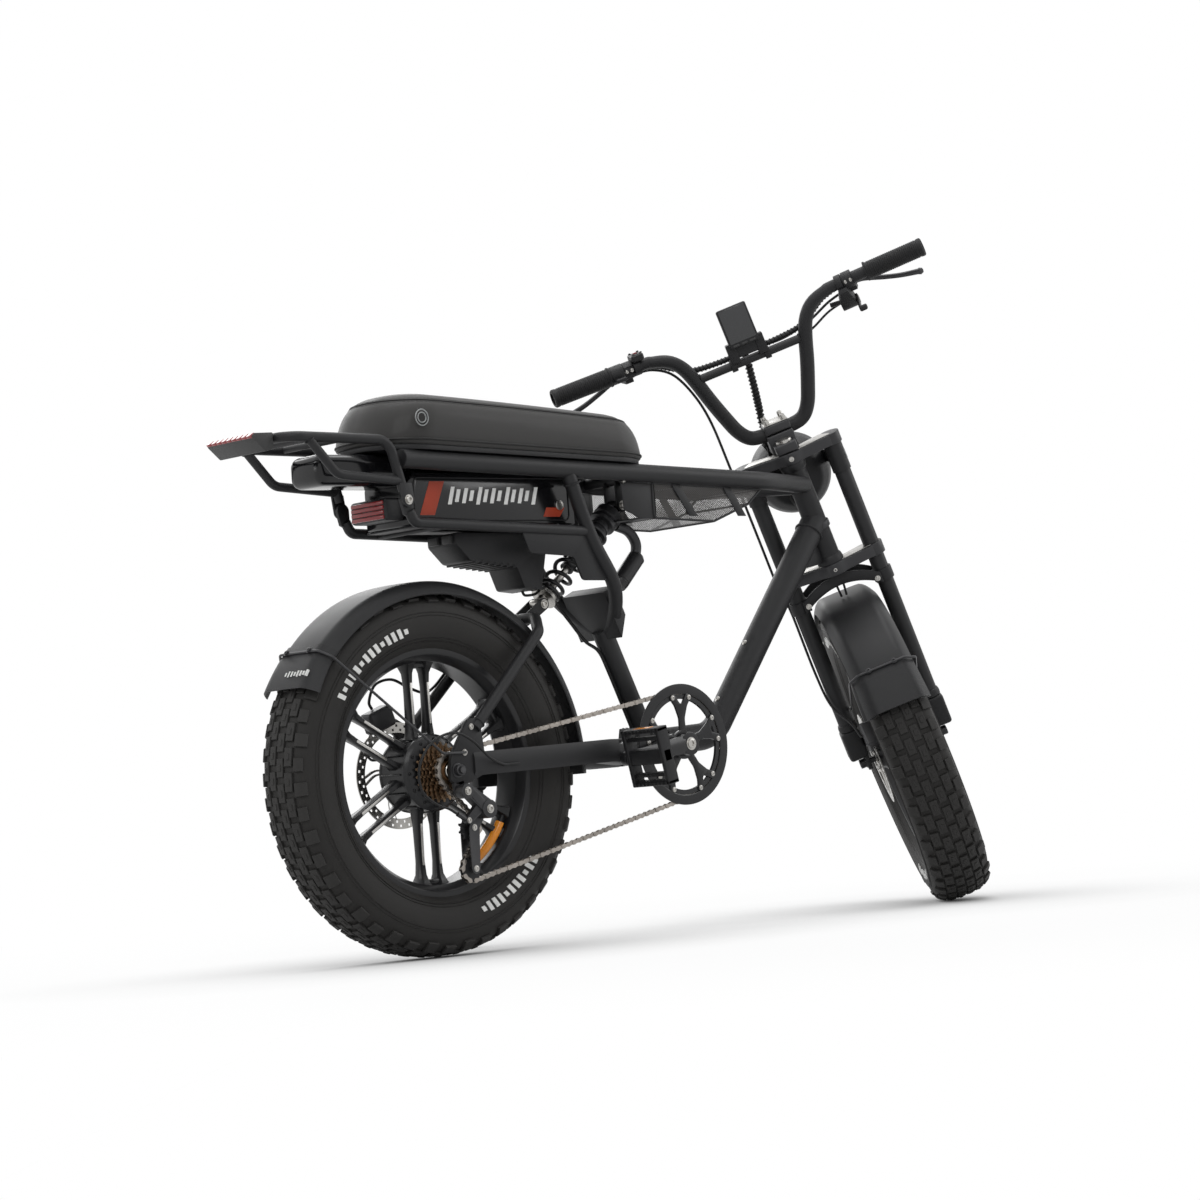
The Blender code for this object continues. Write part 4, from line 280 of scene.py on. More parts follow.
def in_order(solid):
    """The same solid with its points and faces in an order that no run changes."""
    points, faces = solid
    order = sorted(range(len(points)), key=lambda index: [round(size, 7) for size in points[index]])
    rank = {index: place for place, index in enumerate(order)}
    turned = []
    for face in faces:
        face = [rank[index] for index in face]
        first = face.index(min(face))
        turned.append(face[first:] + face[:first])
    return [points[index] for index in order], sorted(turned)


def prism(outline, start, end, axis="y", bevel=0.0006):
    """Outline drawn out along an axis, with softened edges."""
    place = {"x": lambda a, b, d: (d, a, b), "y": lambda a, b, d: (a, d, b), "z": lambda a, b, d: (a, b, d)}[axis]
    shape = bmesh.new()
    face = shape.faces.new([shape.verts.new(place(a, b, start)) for a, b in outline])
    grown = bmesh.ops.extrude_face_region(shape, geom=[face])["geom"]
    raised = [item for item in grown if isinstance(item, bmesh.types.BMVert)]
    bmesh.ops.translate(shape, vec=place(0, 0, end - start), verts=raised)
    if bevel:
        rims = [edge for face in shape.faces if len(face.verts) == len(outline) for edge in face.edges]
        bmesh.ops.bevel(shape, geom=list(dict.fromkeys(rims)), offset=bevel, segments=2, affect="EDGES",
                        profile=0.5)
    return in_order(solid_of(shape))


def circle(centre, radius, count, start=0.0, end=math.tau):
    spans = count if end - start >= math.tau - 1e-9 else count - 1
    angles = [start + (end - start) * index / spans for index in range(count)]
    return [(centre[0] + radius * math.cos(angle), centre[1] + radius * math.sin(angle)) for angle in angles]


def bolt(place, direction, radius=0.0045, height=0.003):
    """Socket head bolt on a washer."""
    rim = radius * 1.35
    profile = [(0.0, 0.0), (rim, 0.0), (rim, 0.0008), (radius, 0.0008), (radius, height * 0.85),
               (radius * 0.85, height), (radius * 0.52, height), (radius * 0.48, height * 0.4),
               (0.0, height * 0.4)]
    return lathe(profile, 20, place, direction, ring=False)


def weld(centre, direction, radius, bead=0.0022, ripples=44):
    """Ring of weld round a joint of two tubes."""
    turn = Matrix.Translation(centre) @ toward(direction)
    count = ripples * 3
    ring = [turn @ Vector((radius * math.cos(a), radius * math.sin(a), 0.0)) for a in evenly(count)]
    radii = [bead * (1.0 + 0.16 * math.cos(math.tau * index / 3)) for index in range(count)]
    return tube(ring, bead, 8, radii, closed=True)


def toothed(pitch_radius, teeth, thickness, inner, centre, height=0.0045):
    """Sprocket in the xz plane with a round hole."""
    outer, bore_line = [], []
    root = pitch_radius - 0.0036
    tip = root + height + 0.0016
    shares = ((0.0, root), (0.22, root + 0.0006), (0.4, tip), (0.6, tip), (0.78, root + 0.0006))
    for tooth in range(teeth):
        for share, radius in shares:
            angle = math.tau * (tooth + share) / teeth
            outer.append((radius * math.cos(angle), radius * math.sin(angle)))
            bore_line.append((inner * math.cos(angle), inner * math.sin(angle)))
    count = len(outer)
    points = []
    for line, half in ((outer, 0.5), (bore_line, 0.5), (bore_line, -0.5), (outer, -0.5)):
        points += [Vector((x, thickness * half, z)) + Vector(centre) for x, z in line]
    faces = []
    for index in range(count):
        after = (index + 1) % count
        for ring in range(4):
            low, top = ring * count, (ring + 1) % 4 * count
            faces.append([low + index, low + after, top + after, top + index])
    return points, faces


def cell_plate(radii, steps, solid, low, top):
    """Flat ring in the xz plane from y low to top, with holes where solid(row, step) is false."""
    points, faces = [], []
    for y in (low, top):
        for radius in radii:
            points += [Vector((radius * math.cos(math.tau * s / steps), y, radius
                               * math.sin(math.tau * s / steps)))
                       for s in range(steps)]
    level = len(radii) * steps

    def at(row, step):
        return row * steps + step % steps

    for row in range(len(radii) - 1):
        for step in range(steps):
            if not solid(row, step):
                continue
            quad = [at(row, step), at(row, step + 1), at(row + 1, step + 1), at(row + 1, step)]
            faces += [quad, [index + level for index in reversed(quad)]]
            sides = ((quad[0], quad[1], row > 0 and solid(row - 1, step)),
                     (quad[1], quad[2], solid(row, (step + 1) % steps)),
                     (quad[2], quad[3], row < len(radii) - 2 and solid(row + 1, step)),
                     (quad[3], quad[0], solid(row, (step - 1) % steps)))
            faces += [[a, b, b + level, a + level] for a, b, filled in sides if not filled]
    return points, faces


def loft(sections):
    """Bar through (centre, across, along, half width, half depth) sections with cut corners."""
    points, faces = [], []
    for centre, across, deep, half_width, half_depth in sections:
        for a, b in ((1, 0.6), (0.6, 1), (-0.6, 1), (-1, 0.6), (-1, -0.6), (-0.6, -1), (0.6, -1), (1, -0.6)):
            points.append(Vector(centre) + Vector(across) * half_width * a + Vector(deep) * half_depth * b)
    for index in range(len(sections) - 1):
        faces += strip(index * 8, index * 8 + 8, 8)
    last = len(sections) * 8
    return points, faces + [list(range(8)), list(range(last - 8, last))]


# Materials
def add_node(tree, kind, inputs=None, **settings):
    """Shader node with its settings and input values."""
    made = tree.nodes.new("ShaderNode" + kind)
    for key, value in settings.items():
        setattr(made, key, value)
    for key, value in (inputs or {}).items():
        made.inputs[key].default_value = value
    return made


def join(tree, source, target, socket=0):
    """Link an output to an input of the target node."""
    tree.links.new(source, target.inputs[socket])


def ramp(tree, source, low, high, low_colour=None, high_colour=None):
    """Colour ramp between two positions, driven by the source."""
    made = add_node(tree, "ValToRGB")
    for stop, position, colour in zip(made.color_ramp.elements, (low, high), (low_colour, high_colour)):
        stop.position = position
        if colour:
            stop.color = (*colour, 1.0)
    join(tree, source, made)
    return made.outputs["Color"]


def finish(name, colour, roughness, metallic=0.0, grain=600.0, bump=0.03, vary=0.12, coat=0.0, edge=0.0,
           sheen=0.0, pattern="noise", painted_glow=0.0, clear=0.0):
    """Principled material whose colour, roughness and relief come from noise at the piece's real scale."""
    made = bpy.data.materials.new(name)
    made.use_nodes = True
    made.diffuse_color = (*colour, 1.0)
    tree = made.node_tree
    shader = tree.nodes["Principled BSDF"]
    for socket, value in (("Metallic", metallic), ("Coat Weight", coat), ("Coat Roughness", 0.12),
                          ("Specular IOR Level", 0.5 if metallic or clear else 0.25),
                          ("Sheen Weight", sheen),
                          ("Transmission Weight", clear)):
        shader.inputs[socket].default_value = value
    place = add_node(tree, "TexCoord").outputs["Object"]
    broad = add_node(tree, "TexNoise", {"Scale": 14.0, "Detail": 4.0})
    join(tree, place, broad, "Vector")
    shade = ramp(tree, broad.outputs["Fac"], 0.3, 0.7, [c * (1 - vary) for c in colour],
                 [min(1.0, c * (1 + vary)) for c in colour])
    rough = add_node(tree, "MapRange",
                     {"To Min": max(0.02, roughness - 0.07), "To Max": min(1.0, roughness + 0.07)})
    join(tree, broad.outputs["Fac"], rough, "Value")
    join(tree, rough.outputs["Result"], shader, "Roughness")
    if edge:
        # Paler where the surface turns a corner
        corner_mask = ramp(tree, add_node(tree, "NewGeometry").outputs["Pointiness"], 0.53, 0.66)
        mix = add_node(tree, "Mix", {7: (*[min(1.0, c + edge) for c in colour], 1.0)}, data_type="RGBA")
        join(tree, corner_mask, mix, "Factor")
        join(tree, shade, mix, 6)
        shade = mix.outputs[2]
    join(tree, shade, shader, "Base Color")
    if pattern == "leather":
        fine = add_node(tree, "TexVoronoi", {"Scale": grain}, feature="DISTANCE_TO_EDGE")
    else:
        fine = add_node(tree, "TexNoise", {"Scale": grain, "Detail": 3.0})
    mapping = add_node(tree, "Mapping", {"Scale": (1.0, 0.04, 1.0)} if pattern == "brushed" else {})
    join(tree, place, mapping, "Vector")
    join(tree, mapping.outputs["Vector"], fine, "Vector")
    relief = add_node(tree, "Bump", {"Strength": min(1.0, bump * 10), "Distance": 0.0006})
    join(tree, fine.outputs["Distance" if pattern == "leather" else "Fac"], relief, "Height")
    join(tree, relief.outputs["Normal"], shader, "Normal")
    # Painted glow: faint emission in the material's own colour
    if painted_glow:
        shader.inputs["Emission Color"].default_value = (*colour, 1.0)
        shader.inputs["Emission Strength"].default_value = painted_glow
    return made


MESH_PITCH, MESH_WIRE = 0.0026, 0.001


def mesh_finish():
    """Expanded steel mesh with open diamonds, laid out by the UV map in metres."""
    made = finish("basket_mesh", (0.05, 0.047, 0.045), 0.42, 0.6, 900, 0.02)
    tree = made.node_tree
    shader = tree.nodes["Principled BSDF"]
    parts = add_node(tree, "SeparateXYZ")
    join(tree, add_node(tree, "UVMap", uv_map="metres").outputs["UV"], parts, "Vector")
    wire = add_node(tree, "Math", operation="MAXIMUM")
    for socket, slope in enumerate((1.7, -1.7)):
        slanted = add_node(tree, "Math", {1: slope}, operation="MULTIPLY_ADD")
        join(tree, parts.outputs["Y"], slanted)
        join(tree, parts.outputs["X"], slanted, 2)
        scaled = add_node(tree, "Math", {1: MESH_PITCH}, operation="PINGPONG")
        join(tree, slanted.outputs[0], scaled)
        limit = add_node(tree, "Math", {1: MESH_WIRE}, operation="LESS_THAN")
        join(tree, scaled.outputs[0], limit)
        join(tree, limit.outputs[0], wire, socket)
    mix = add_node(tree, "MixShader")
    join(tree, wire.outputs[0], mix)
    join(tree, add_node(tree, "BsdfTransparent").outputs[0], mix, 1)
    join(tree, shader.outputs[0], mix, 2)
    join(tree, mix.outputs[0], tree.nodes["Material Output"], "Surface")
    return made


PAINT = finish("satin_black_paint", (0.014, 0.014, 0.015), 0.5, 0.0, 1400, 0.02, 0.1, 0.0, edge=0.01)
FENDER = finish("fender_paint", (0.016, 0.016, 0.017), 0.46, 0.0, 900, 0.012, 0.08, 0.0)
GLOSS = finish("gloss_black_paint", (0.011, 0.011, 0.012), 0.32, 0.0, 900, 0.01, 0.1, 0.1, edge=0.012)
BATTERY = finish("battery_gloss", (0.007, 0.007, 0.008), 0.14, 0.0, 700, 0.004, 0.1, 0.2)
PLASTIC = finish("moulded_plastic", (0.012, 0.012, 0.013), 0.44, 0.0, 1600, 0.05, 0.12)
RUBBER = finish("tyre_rubber", (0.016, 0.015, 0.014), 0.62, 0.0, 900, 0.06, 0.18, edge=0.012)
GRIP = finish("grip_rubber", (0.012, 0.012, 0.0125), 0.62, 0.0, 1500, 0.05, 0.12)
LEATHER = finish("seat_leather", (0.022, 0.021, 0.02), 0.56, 0.0, 900, 0.045, 0.1, 0.05, sheen=0.15,
                 pattern="leather")
PIPING = finish("seat_piping", (0.014, 0.0135, 0.0135), 0.5, 0.0, 1500, 0.05)
ANODISED = finish("dark_anodised", (0.02, 0.02, 0.022), 0.42, 0.3, 900, 0.012, 0.15, edge=0.05)
MACHINED = finish("machined_alloy", (0.46, 0.45, 0.43), 0.32, 1.0, 500, 0.02, 0.08, pattern="brushed")
STEEL = finish("bright_steel", (0.4, 0.39, 0.37), 0.28, 1.0, 700, 0.015, 0.1, pattern="brushed")
CHAIN = finish("chain_steel", (0.3, 0.275, 0.25), 0.36, 1.0, 900, 0.02, 0.25)
BRONZE = finish("sprocket_bronze", (0.24, 0.165, 0.105), 0.38, 1.0, 700, 0.02, 0.25)
CABLE = finish("cable_housing", (0.01, 0.01, 0.0105), 0.45, 0.0, 1200, 0.03)
# Red lens colour with a faint painted glow; the horn button takes it too
RED = finish("red_lens", (0.2, 0.006, 0.008), 0.16, 0.0, 500, 0.01, 0.15, 0.5, painted_glow=0.03)
# Amber reflector colour with a faint painted glow
AMBER = finish("amber_reflector", (0.8, 0.27, 0.012), 0.22, 0.0, 500, 0.02, 0.15, 0.4, painted_glow=0.03)
GLASS = finish("lamp_glass", (0.75, 0.78, 0.8), 0.06, 0.0, 300, 0.01, 0.05, 0.8, clear=0.85)
SCREEN = finish("display_screen", (0.012, 0.013, 0.015), 0.08, 0.0, 300, 0.003, 0.1, 0.9)
GREY = finish("lamp_housing_grey", (0.045, 0.045, 0.045), 0.48, 0.0, 900, 0.03, 0.1)
INK = finish("white_print", (0.78, 0.78, 0.76), 0.45, 0.0, 900, 0.02, 0.05)
ORANGE = finish("orange_print", (0.34, 0.04, 0.014), 0.4, 0.0, 900, 0.02, 0.12)
SILVER_INK = finish("grey_print", (0.3, 0.31, 0.31), 0.45, 0.0, 900, 0.02, 0.08)
MESH = mesh_finish()


def put(name, data):
    """Object that holds the data, linked to the scene."""
    made = bpy.data.objects.new(name, data)
    bpy.context.scene.collection.objects.link(made)
    return made


def make(name, solids, look, body, stands_for=(), angle=38, placed=None, blend=None):
    """Put a piece together, set its finish and hang it on its body."""
    points, faces = merged(*solids)
    mesh = bpy.data.meshes.new(name)
    mesh.from_pydata([placed @ Vector(point) if placed else point for point in points], [], faces)
    shape = bmesh.new()
    shape.from_mesh(mesh)
    bmesh.ops.remove_doubles(shape, verts=shape.verts, dist=1e-6)
    bmesh.ops.recalc_face_normals(shape, faces=shape.faces)
    shape.to_mesh(mesh)
    shape.free()
    mesh.shade_smooth()
    mesh.set_sharp_from_angle(angle=math.radians(angle))
    mesh.materials.append(look)
    made = put(name, mesh)
    if blend:
        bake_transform(made)
    else:
        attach(made, body)
    if stands_for:
        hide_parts(*stands_for)
    return made


def detail(name, solids, look, body, angle=38, placed=None):
    """A piece that the CAD has no node for."""
    return make(name, solids, look, body, (), angle, placed)


def refined(node, look, bevel=0.0008, segments=2):
    """The CAD node's shape with its edges rounded, standing for it."""
    source = frame["nodes"][node]
    shape = bmesh.new()
    shape.from_mesh(source.data)
    bmesh.ops.remove_doubles(shape, verts=shape.verts, dist=1e-5)
    bmesh.ops.dissolve_limit(shape, angle_limit=math.radians(1.0), use_dissolve_boundaries=False,
                             verts=shape.verts, edges=shape.edges, delimit=set())
    sharp = [edge for edge in shape.edges
             if edge.is_manifold and edge.calc_face_angle(0.0) > math.radians(32)]
    bmesh.ops.bevel(shape, geom=sharp, offset=bevel, segments=segments, affect="EDGES", profile=0.5,
                    clamp_overlap=True)
    solid = solid_of(shape)
    return make(node + "_finished", [solid], look, source["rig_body"], (node,), 32)


# Wheels
TYRE_HALF = [(0.2045, 0.0376), (0.2135, 0.0448), (0.23, 0.0532), (0.25, 0.0572), (0.269, 0.0562),
             (0.284, 0.051), (0.2935, 0.041), (0.2985, 0.027), (0.3005, 0.013)]
TYRE_PROFILE = smooth([(r, -y, 0) for r, y in TYRE_HALF] + [(0.301, 0.0, 0)]
                      + [(r, y, 0) for r, y in reversed(TYRE_HALF)], 5)


def tread_at(reach):
    """Radius, side place and outward normal at a distance from the middle of the tread."""
    middle = len(TYRE_PROFILE) // 2
    index = middle
    left = abs(reach)
    while index < len(TYRE_PROFILE) - 2:
        step = (TYRE_PROFILE[index + 1] - TYRE_PROFILE[index]).length
        if left <= step:
            break
        left -= step
        index += 1
    run = (TYRE_PROFILE[index + 1] - TYRE_PROFILE[index]).normalized()
    place = TYRE_PROFILE[index] + run * left
    side = 1.0 if reach >= 0 else -1.0
    return place.x, place.y * side, run.y, -run.x * side


# Corners round the edge of a patch of three by two points
PATCH_EDGE = ((0, 2), (2, 4), (4, 5), (5, 3), (3, 1), (1, 0))


def tread_block(reach_low, reach_high, start, end, height):
    """Rubber block on the tyre, bounded in side reach and in angle."""
    points = []
    middle = (reach_low + reach_high) / 2
    inset = 0.0007
    for lift, draw in ((-0.0012, 0.0), (height * 0.82, inset * 0.4), (height, inset * 1.5)):
        reaches = (reach_low + draw, middle, reach_high - draw)
        for reach in reaches:
            radius, y, out, aside = tread_at(reach)
            for angle in (start + draw / WHEEL_RADIUS, end - draw / WHEEL_RADIUS):
                r = radius + out * lift
                points.append(Vector((r * math.cos(angle), y + aside * lift, r * math.sin(angle))))
    faces = [[a + level, b + level, b + level + 6, a + level + 6] for level in (0, 6) for a, b in PATCH_EDGE]
    return points, faces + [[12, 14, 15, 13], [14, 16, 17, 15]]


TREAD_PITCHES = 46
SPOKE_TURNS = [Matrix.Rotation(-angle, 4, "Y") for angle in evenly(6, 0.5)]


def tyre_solids():
    inner = [(0.205, 0.03), (0.25, 0.05), (0.29, 0.03), (0.295, 0.0), (0.29, -0.03),
             (0.25, -0.05), (0.205, -0.03)]
    body = lathe([(p.x, p.y) for p in TYRE_PROFILE] + inner, 144)
    solids = [body]
    for side in (1, -1):
        for radius, y in ((0.2185, 0.0486), (0.2235, 0.0511), (0.261, 0.0578), (0.266, 0.0574)):
            ring = [(radius - 0.0012, side * (y - 0.002)), (radius, side * (y + 0.0006)),
                    (radius + 0.0012, side * (y - 0.002))]
            solids.append(lathe(ring, 144))
    pitch = math.tau / TREAD_PITCHES
    for index in range(TREAD_PITCHES):
        for side in (1, -1):
            start = pitch * (index + (0.5 if side == 1 else 0.0))
            for low, high, begin, end, height in (
                    (0.0016, 0.0172, 0.06, 0.8, 0.004), (0.006, 0.0128, 0.3, 0.58, 0.005),
                    (0.0198, 0.0352, -0.36, 0.4, 0.0046), (0.024, 0.0306, -0.12, 0.16, 0.0056)):
                first, last = sorted((low * side, high * side))
                solids.append(tread_block(first, last, start + begin * pitch, start + end * pitch, height))
            reach = 0.058 if index % 2 else 0.053
            first, last = sorted((0.0378 * side, reach * side))
            solids.append(tread_block(first, last, start + 0.06 * pitch, start + 0.62 * pitch, 0.0052))
    return solids


def sidewall_bars(groups, side):
    """Plain raised bars in arcs on the sidewall, as (start angle, count)."""
    solids = []
    bar_radius = 0.2415
    for start, count in groups:
        for index in range(count):
            middle = math.radians(start + index * 3.3)
            half = math.radians(0.95)
            tall = 0.0085 if index % 4 else 0.0045
            points = []
            for lift in (-0.001, 0.0005):
                for radius, y in ((bar_radius - tall, 0.05535), (bar_radius, 0.0566),
                                  (bar_radius + tall, 0.0572)):
                    slant = (radius - bar_radius) * 0.9
                    for angle in (middle - half + slant, middle + half + slant):
                        points.append(Vector((radius * math.cos(angle), side * (y + lift), radius
                                              * math.sin(angle))))
            faces = [[a, b, b + 6, a + 6] for a, b in PATCH_EDGE]
            solids.append((points, faces + [[6, 8, 9, 7], [8, 10, 11, 9]]))
    return solids


def rim_solids(hub):
    wide, lip = 0.0394, 0.0364
    profile = [(0.21, wide), (0.21, lip), (0.2025, 0.0358), (0.2025, -0.0358), (0.21, -lip), (0.21, -wide),
               (0.197, -wide), (0.186, -0.024), (0.186, 0.024), (0.197, wide)]
    solids = [lathe(softened(profile, 0.0022), 128), lathe(hub, 96, ring=False)]
    for turn in SPOKE_TURNS:
        for side in (-1, 1):
            sections = []
            for radius, offset, width, depth in ((0.04, 0.0165, 0.0095, 0.02),
                                                 (0.064, 0.0175, 0.0066, 0.013),
                                                 (0.085, 0.018, 0.0054, 0.0098),
                                                 (0.145, 0.018, 0.005, 0.0085),
                                                 (0.168, 0.0182, 0.0062, 0.0105),
                                                 (0.182, 0.0195, 0.011, 0.016),
                                                 (0.1885, 0.021, 0.018, 0.0205)):
                sections.append(((radius, 0, side * offset), (0, 0, 1), (0, 1, 0), width, depth))
            solids.append(moved(loft(sections), turn))
        solids.append(moved(box((0.176, -0.012, -0.016), (0.187, 0.012, 0.016), 0.003), turn))
    return solids


def spoke_faces():
    """Cut faces along the outside of each spoke, on both sides of the wheel."""
    solids = []
    for turn in SPOKE_TURNS:
        for side in (-1, 1):
            outline = [(0.078, side * 0.018 - 0.0018), (0.152, side * 0.0182 - 0.0022),
                       (0.152, side * 0.0182 + 0.0022), (0.078, side * 0.018 + 0.0018)]
            for low, high in ((-0.0101, -0.0086), (0.0086, 0.0101)):
                solids.append(moved(prism(outline, low, high, bevel=0.0003), turn))
    return solids


def rotor_solids(y):
    """Brake disc with a drilled, waved rim on five swept arms."""
    radii = [0.0725, 0.0755, 0.0795, 0.0825, 0.0865, 0.09]
    ring = cell_plate(radii, 120, lambda row, s: not (row in (1, 3) and (s + row) % 4 == 0), y, y + 0.002)
    hub = cell_plate([0.0125, 0.0185, 0.0215, 0.0265], 60, lambda row, s: not (row == 1 and s % 10 < 3), y,
                     y + 0.002)
    solids = [ring, hub]
    for start in evenly(5, 0.25):
        for lead in (0.0, 0.16):
            route = []
            for radius, sweep in ((0.0255, 0.0), (0.05, 0.1), (0.0735, 0.32)):
                route += round_points(radius, y + 0.001, [start + lead + sweep])
            solids.append(tube(smooth(route, 5), 0.0027, 6, squash=0.34))
    solids += [bolt(place, (0, 1, 0), 0.0026, 0.002) for place in round_points(0.02, y + 0.002, evenly(6))]
    return solids


REAR_HUB = [(0.0, -0.0391), (0.02, -0.0391), (0.04, -0.0388), (0.052, -0.0374), (0.06, -0.0345),
            (0.0645, -0.029), (0.0648, -0.025), (0.0632, -0.0235), (0.0632, 0.029), (0.0648, 0.0305),
            (0.064, 0.035), (0.056, 0.041), (0.046, 0.045), (0.03, 0.05), (0.02, 0.052), (0.016, 0.061),
            (0.0, 0.061)]
FRONT_HUB = [(0.0, -0.068), (0.013, -0.068), (0.0135, -0.054), (0.02, -0.046), (0.04, -0.0345),
             (0.0405, -0.03),
             (0.036, -0.026), (0.036, 0.026), (0.0405, 0.03), (0.04, 0.0345), (0.024, 0.045), (0.02, 0.0545),
             (0.0, 0.0545)]


def build_wheels():
    tread = tyre_solids()
    for name, placed, body, hub, groups in (
            ("rear", REAR, "rear_wheel", REAR_HUB, ((104, 14), (286, 11))),
            ("front", FRONT, "front_wheel", FRONT_HUB, ((60, 14), (240, 11)))):
        make(name + "_tyre_tread", tread, RUBBER, body, (name + "_tyre",), 30, placed)
        bars = sidewall_bars(groups, -1) + sidewall_bars(groups, 1)
        detail(name + "_sidewall_bars", bars, INK, body, 30, placed)
        extra = []
        if name == "rear":
            for angle in evenly(12):
                extra.append(bolt(round_points(0.0555, -0.0355, [angle])[0], (0, -1, 0), 0.0024, 0.0022))
                fin = [round_points(0.0652, y, [angle])[0] for y in (-0.022, 0.028)]
                extra.append(tube(fin, 0.0016, 6))
        make(name + "_cast_rim", rim_solids(hub) + extra, GLOSS, body, (name + "_rim",), 34,
             placed)
        detail(name + "_spoke_faces", spoke_faces(), MACHINED, body, 34, placed)
        y = 0.062 if name == "rear" else 0.0555
        make(name + "_brake_disc", rotor_solids(y), STEEL, body, (name + "_rotor",), 30,
             placed)
        # Reflector arc clipped inside the rim, amber with a faint painted glow
        first = -62 if name == "rear" else 120
        arc = round_points(0.177, -0.012, [math.radians(first + 2.6 * index) for index in range(13)])
        detail(name + "_wheel_reflector", [tube(arc, 0.0075, 12, squash=0.45)], AMBER, body, 40, placed)
        valve = [tube([(0.186, 0.004, 0.0), (0.16, 0.006, 0.0)], 0.0032, 12),
                 rod((0.162, 0.0059, 0.0), (0.15, 0.0066, 0.0), 0.0042, 14)]
        turned = [moved(solid, Matrix.Rotation(math.radians(37), 4, "Y")) for solid in valve]
        detail(name + "_tyre_valve", turned, PLASTIC, body, 40, placed)


def build_freewheel():
    solids = []
    counts = (24, 22, 20, 18, 17, 16, 14)
    for index, teeth in enumerate(counts):
        pitch = CHAIN_PITCH / (2 * math.sin(math.pi / teeth))
        y = CHAIN_Y + (len(counts) - 1 - index) * 0.005
        solids.append(toothed(pitch, teeth, 0.002, 0.0145, AXLE + Vector((0, y, 0)), 0.004))
        solids.append(lathe([(0.0145, -0.0015), (0.0175, -0.0015), (0.0175, 0.0015), (0.0145, 0.0015)], 40,
                            AXLE + Vector((0, y - 0.0025, 0))))
    make("sprocket_cluster", solids, BRONZE, "freewheel", ("cassette",), 30)
    cap = [(0.0072, -0.0792), (0.0128, -0.0792), (0.0142, -0.078), (0.0142, -0.0405), (0.0072, -0.0405)]
    detail("freewheel_core", [lathe(cap, 48, AXLE)], STEEL, "freewheel", 30)


# Chain
def belt(stops, step):
    """Path round the (centre, radius, sense) wheels."""
    runs = []
    for (c1, r1, e1), (c2, r2, e2) in zip(stops, stops[1:] + stops[:1]):
        line = Vector(c2) - Vector(c1)
        along = line.normalized()
        left = Vector((-along.y, along.x))
        sine = (e2 * r2 - e1 * r1) / line.length
        normal = along * sine + left * math.sqrt(1 - sine * sine)
        runs.append((Vector(c1) - normal * e1 * r1, Vector(c2) - normal * e2 * r2))
    path = []
    for number, (centre, radius, sense) in enumerate(stops):
        enter = runs[number - 1][1] - Vector(centre)
        leave = runs[number][0] - Vector(centre)
        first = math.atan2(enter.y, enter.x)
        turn = (math.atan2(leave.y, leave.x) - first) * sense % math.tau
        count = max(2, math.ceil(turn / step))
        path += [Vector(centre) + radius * Vector((math.cos(first + sense * turn * k / count),
                                                  math.sin(first + sense * turn * k / count)))
                 for k in range(count + 1)]
    return path


def build_chain():
    stops = [((CRANK_CENTRE.x, CRANK_CENTRE.z), CHAINRING_RADIUS, -1), (TENSION_PULLEY, PULLEY_RADIUS, -1),
             (GUIDE_PULLEY, PULLEY_RADIUS, 1), ((AXLE.x, AXLE.z), SPROCKET_RADIUS, -1)]
    path = belt(stops, math.radians(3))
    lengths = [(path[(k + 1) % len(path)] - path[k]).length for k in range(len(path))]
    total = sum(lengths)
    links = 2 * round(total / CHAIN_PITCH / 2)
    pins = []
    walked, index = 0.0, 0
    for number in range(links):
        target = total * number / links
        while walked + lengths[index] < target:
            walked += lengths[index]
            index += 1
        share = (target - walked) / lengths[index]
        pins.append(path[index].lerp(path[(index + 1) % len(path)], share))
    plates, rollers = [], []
    for number, pin in enumerate(pins):
        following = pins[(number + 1) % links]
        along = (following - pin).normalized()
        up = Vector((-along.y, along.x))
        offset, radius = (0.0034, 0.0041) if number % 2 else (0.0025, 0.0042)
        outline = []
        for centre, first, sign in ((pin, math.pi / 2, -1), (following, -math.pi / 2, 1)):
            for step in range(7):
                angle = first + math.pi * step / 6
                outline.append(centre + radius * (math.cos(angle) * along + math.sin(angle) * up))
            outline.append((pin + following) / 2 + up * radius * 0.62 * sign)
        for side in (-1, 1):
            y = CHAIN_Y + side * offset
            plates.append(prism([tuple(p) for p in outline], y - 0.00042, y + 0.00042, bevel=0))
        for half, thick, sides in ((0.0041, 0.0018, 8), (0.002, 0.0036, 12)):
            ends = [(pin.x, CHAIN_Y + sign * half, pin.y) for sign in (-1, 1)]
            rollers.append(rod(*ends, thick, sides, 0.0003))
    make("chain_links", plates + rollers, CHAIN, None, ("chain",), 40,
         blend=("frame", "swingarm", (0.46, CHAIN_Y, 0.31), (0.1, CHAIN_Y, 0.29)))


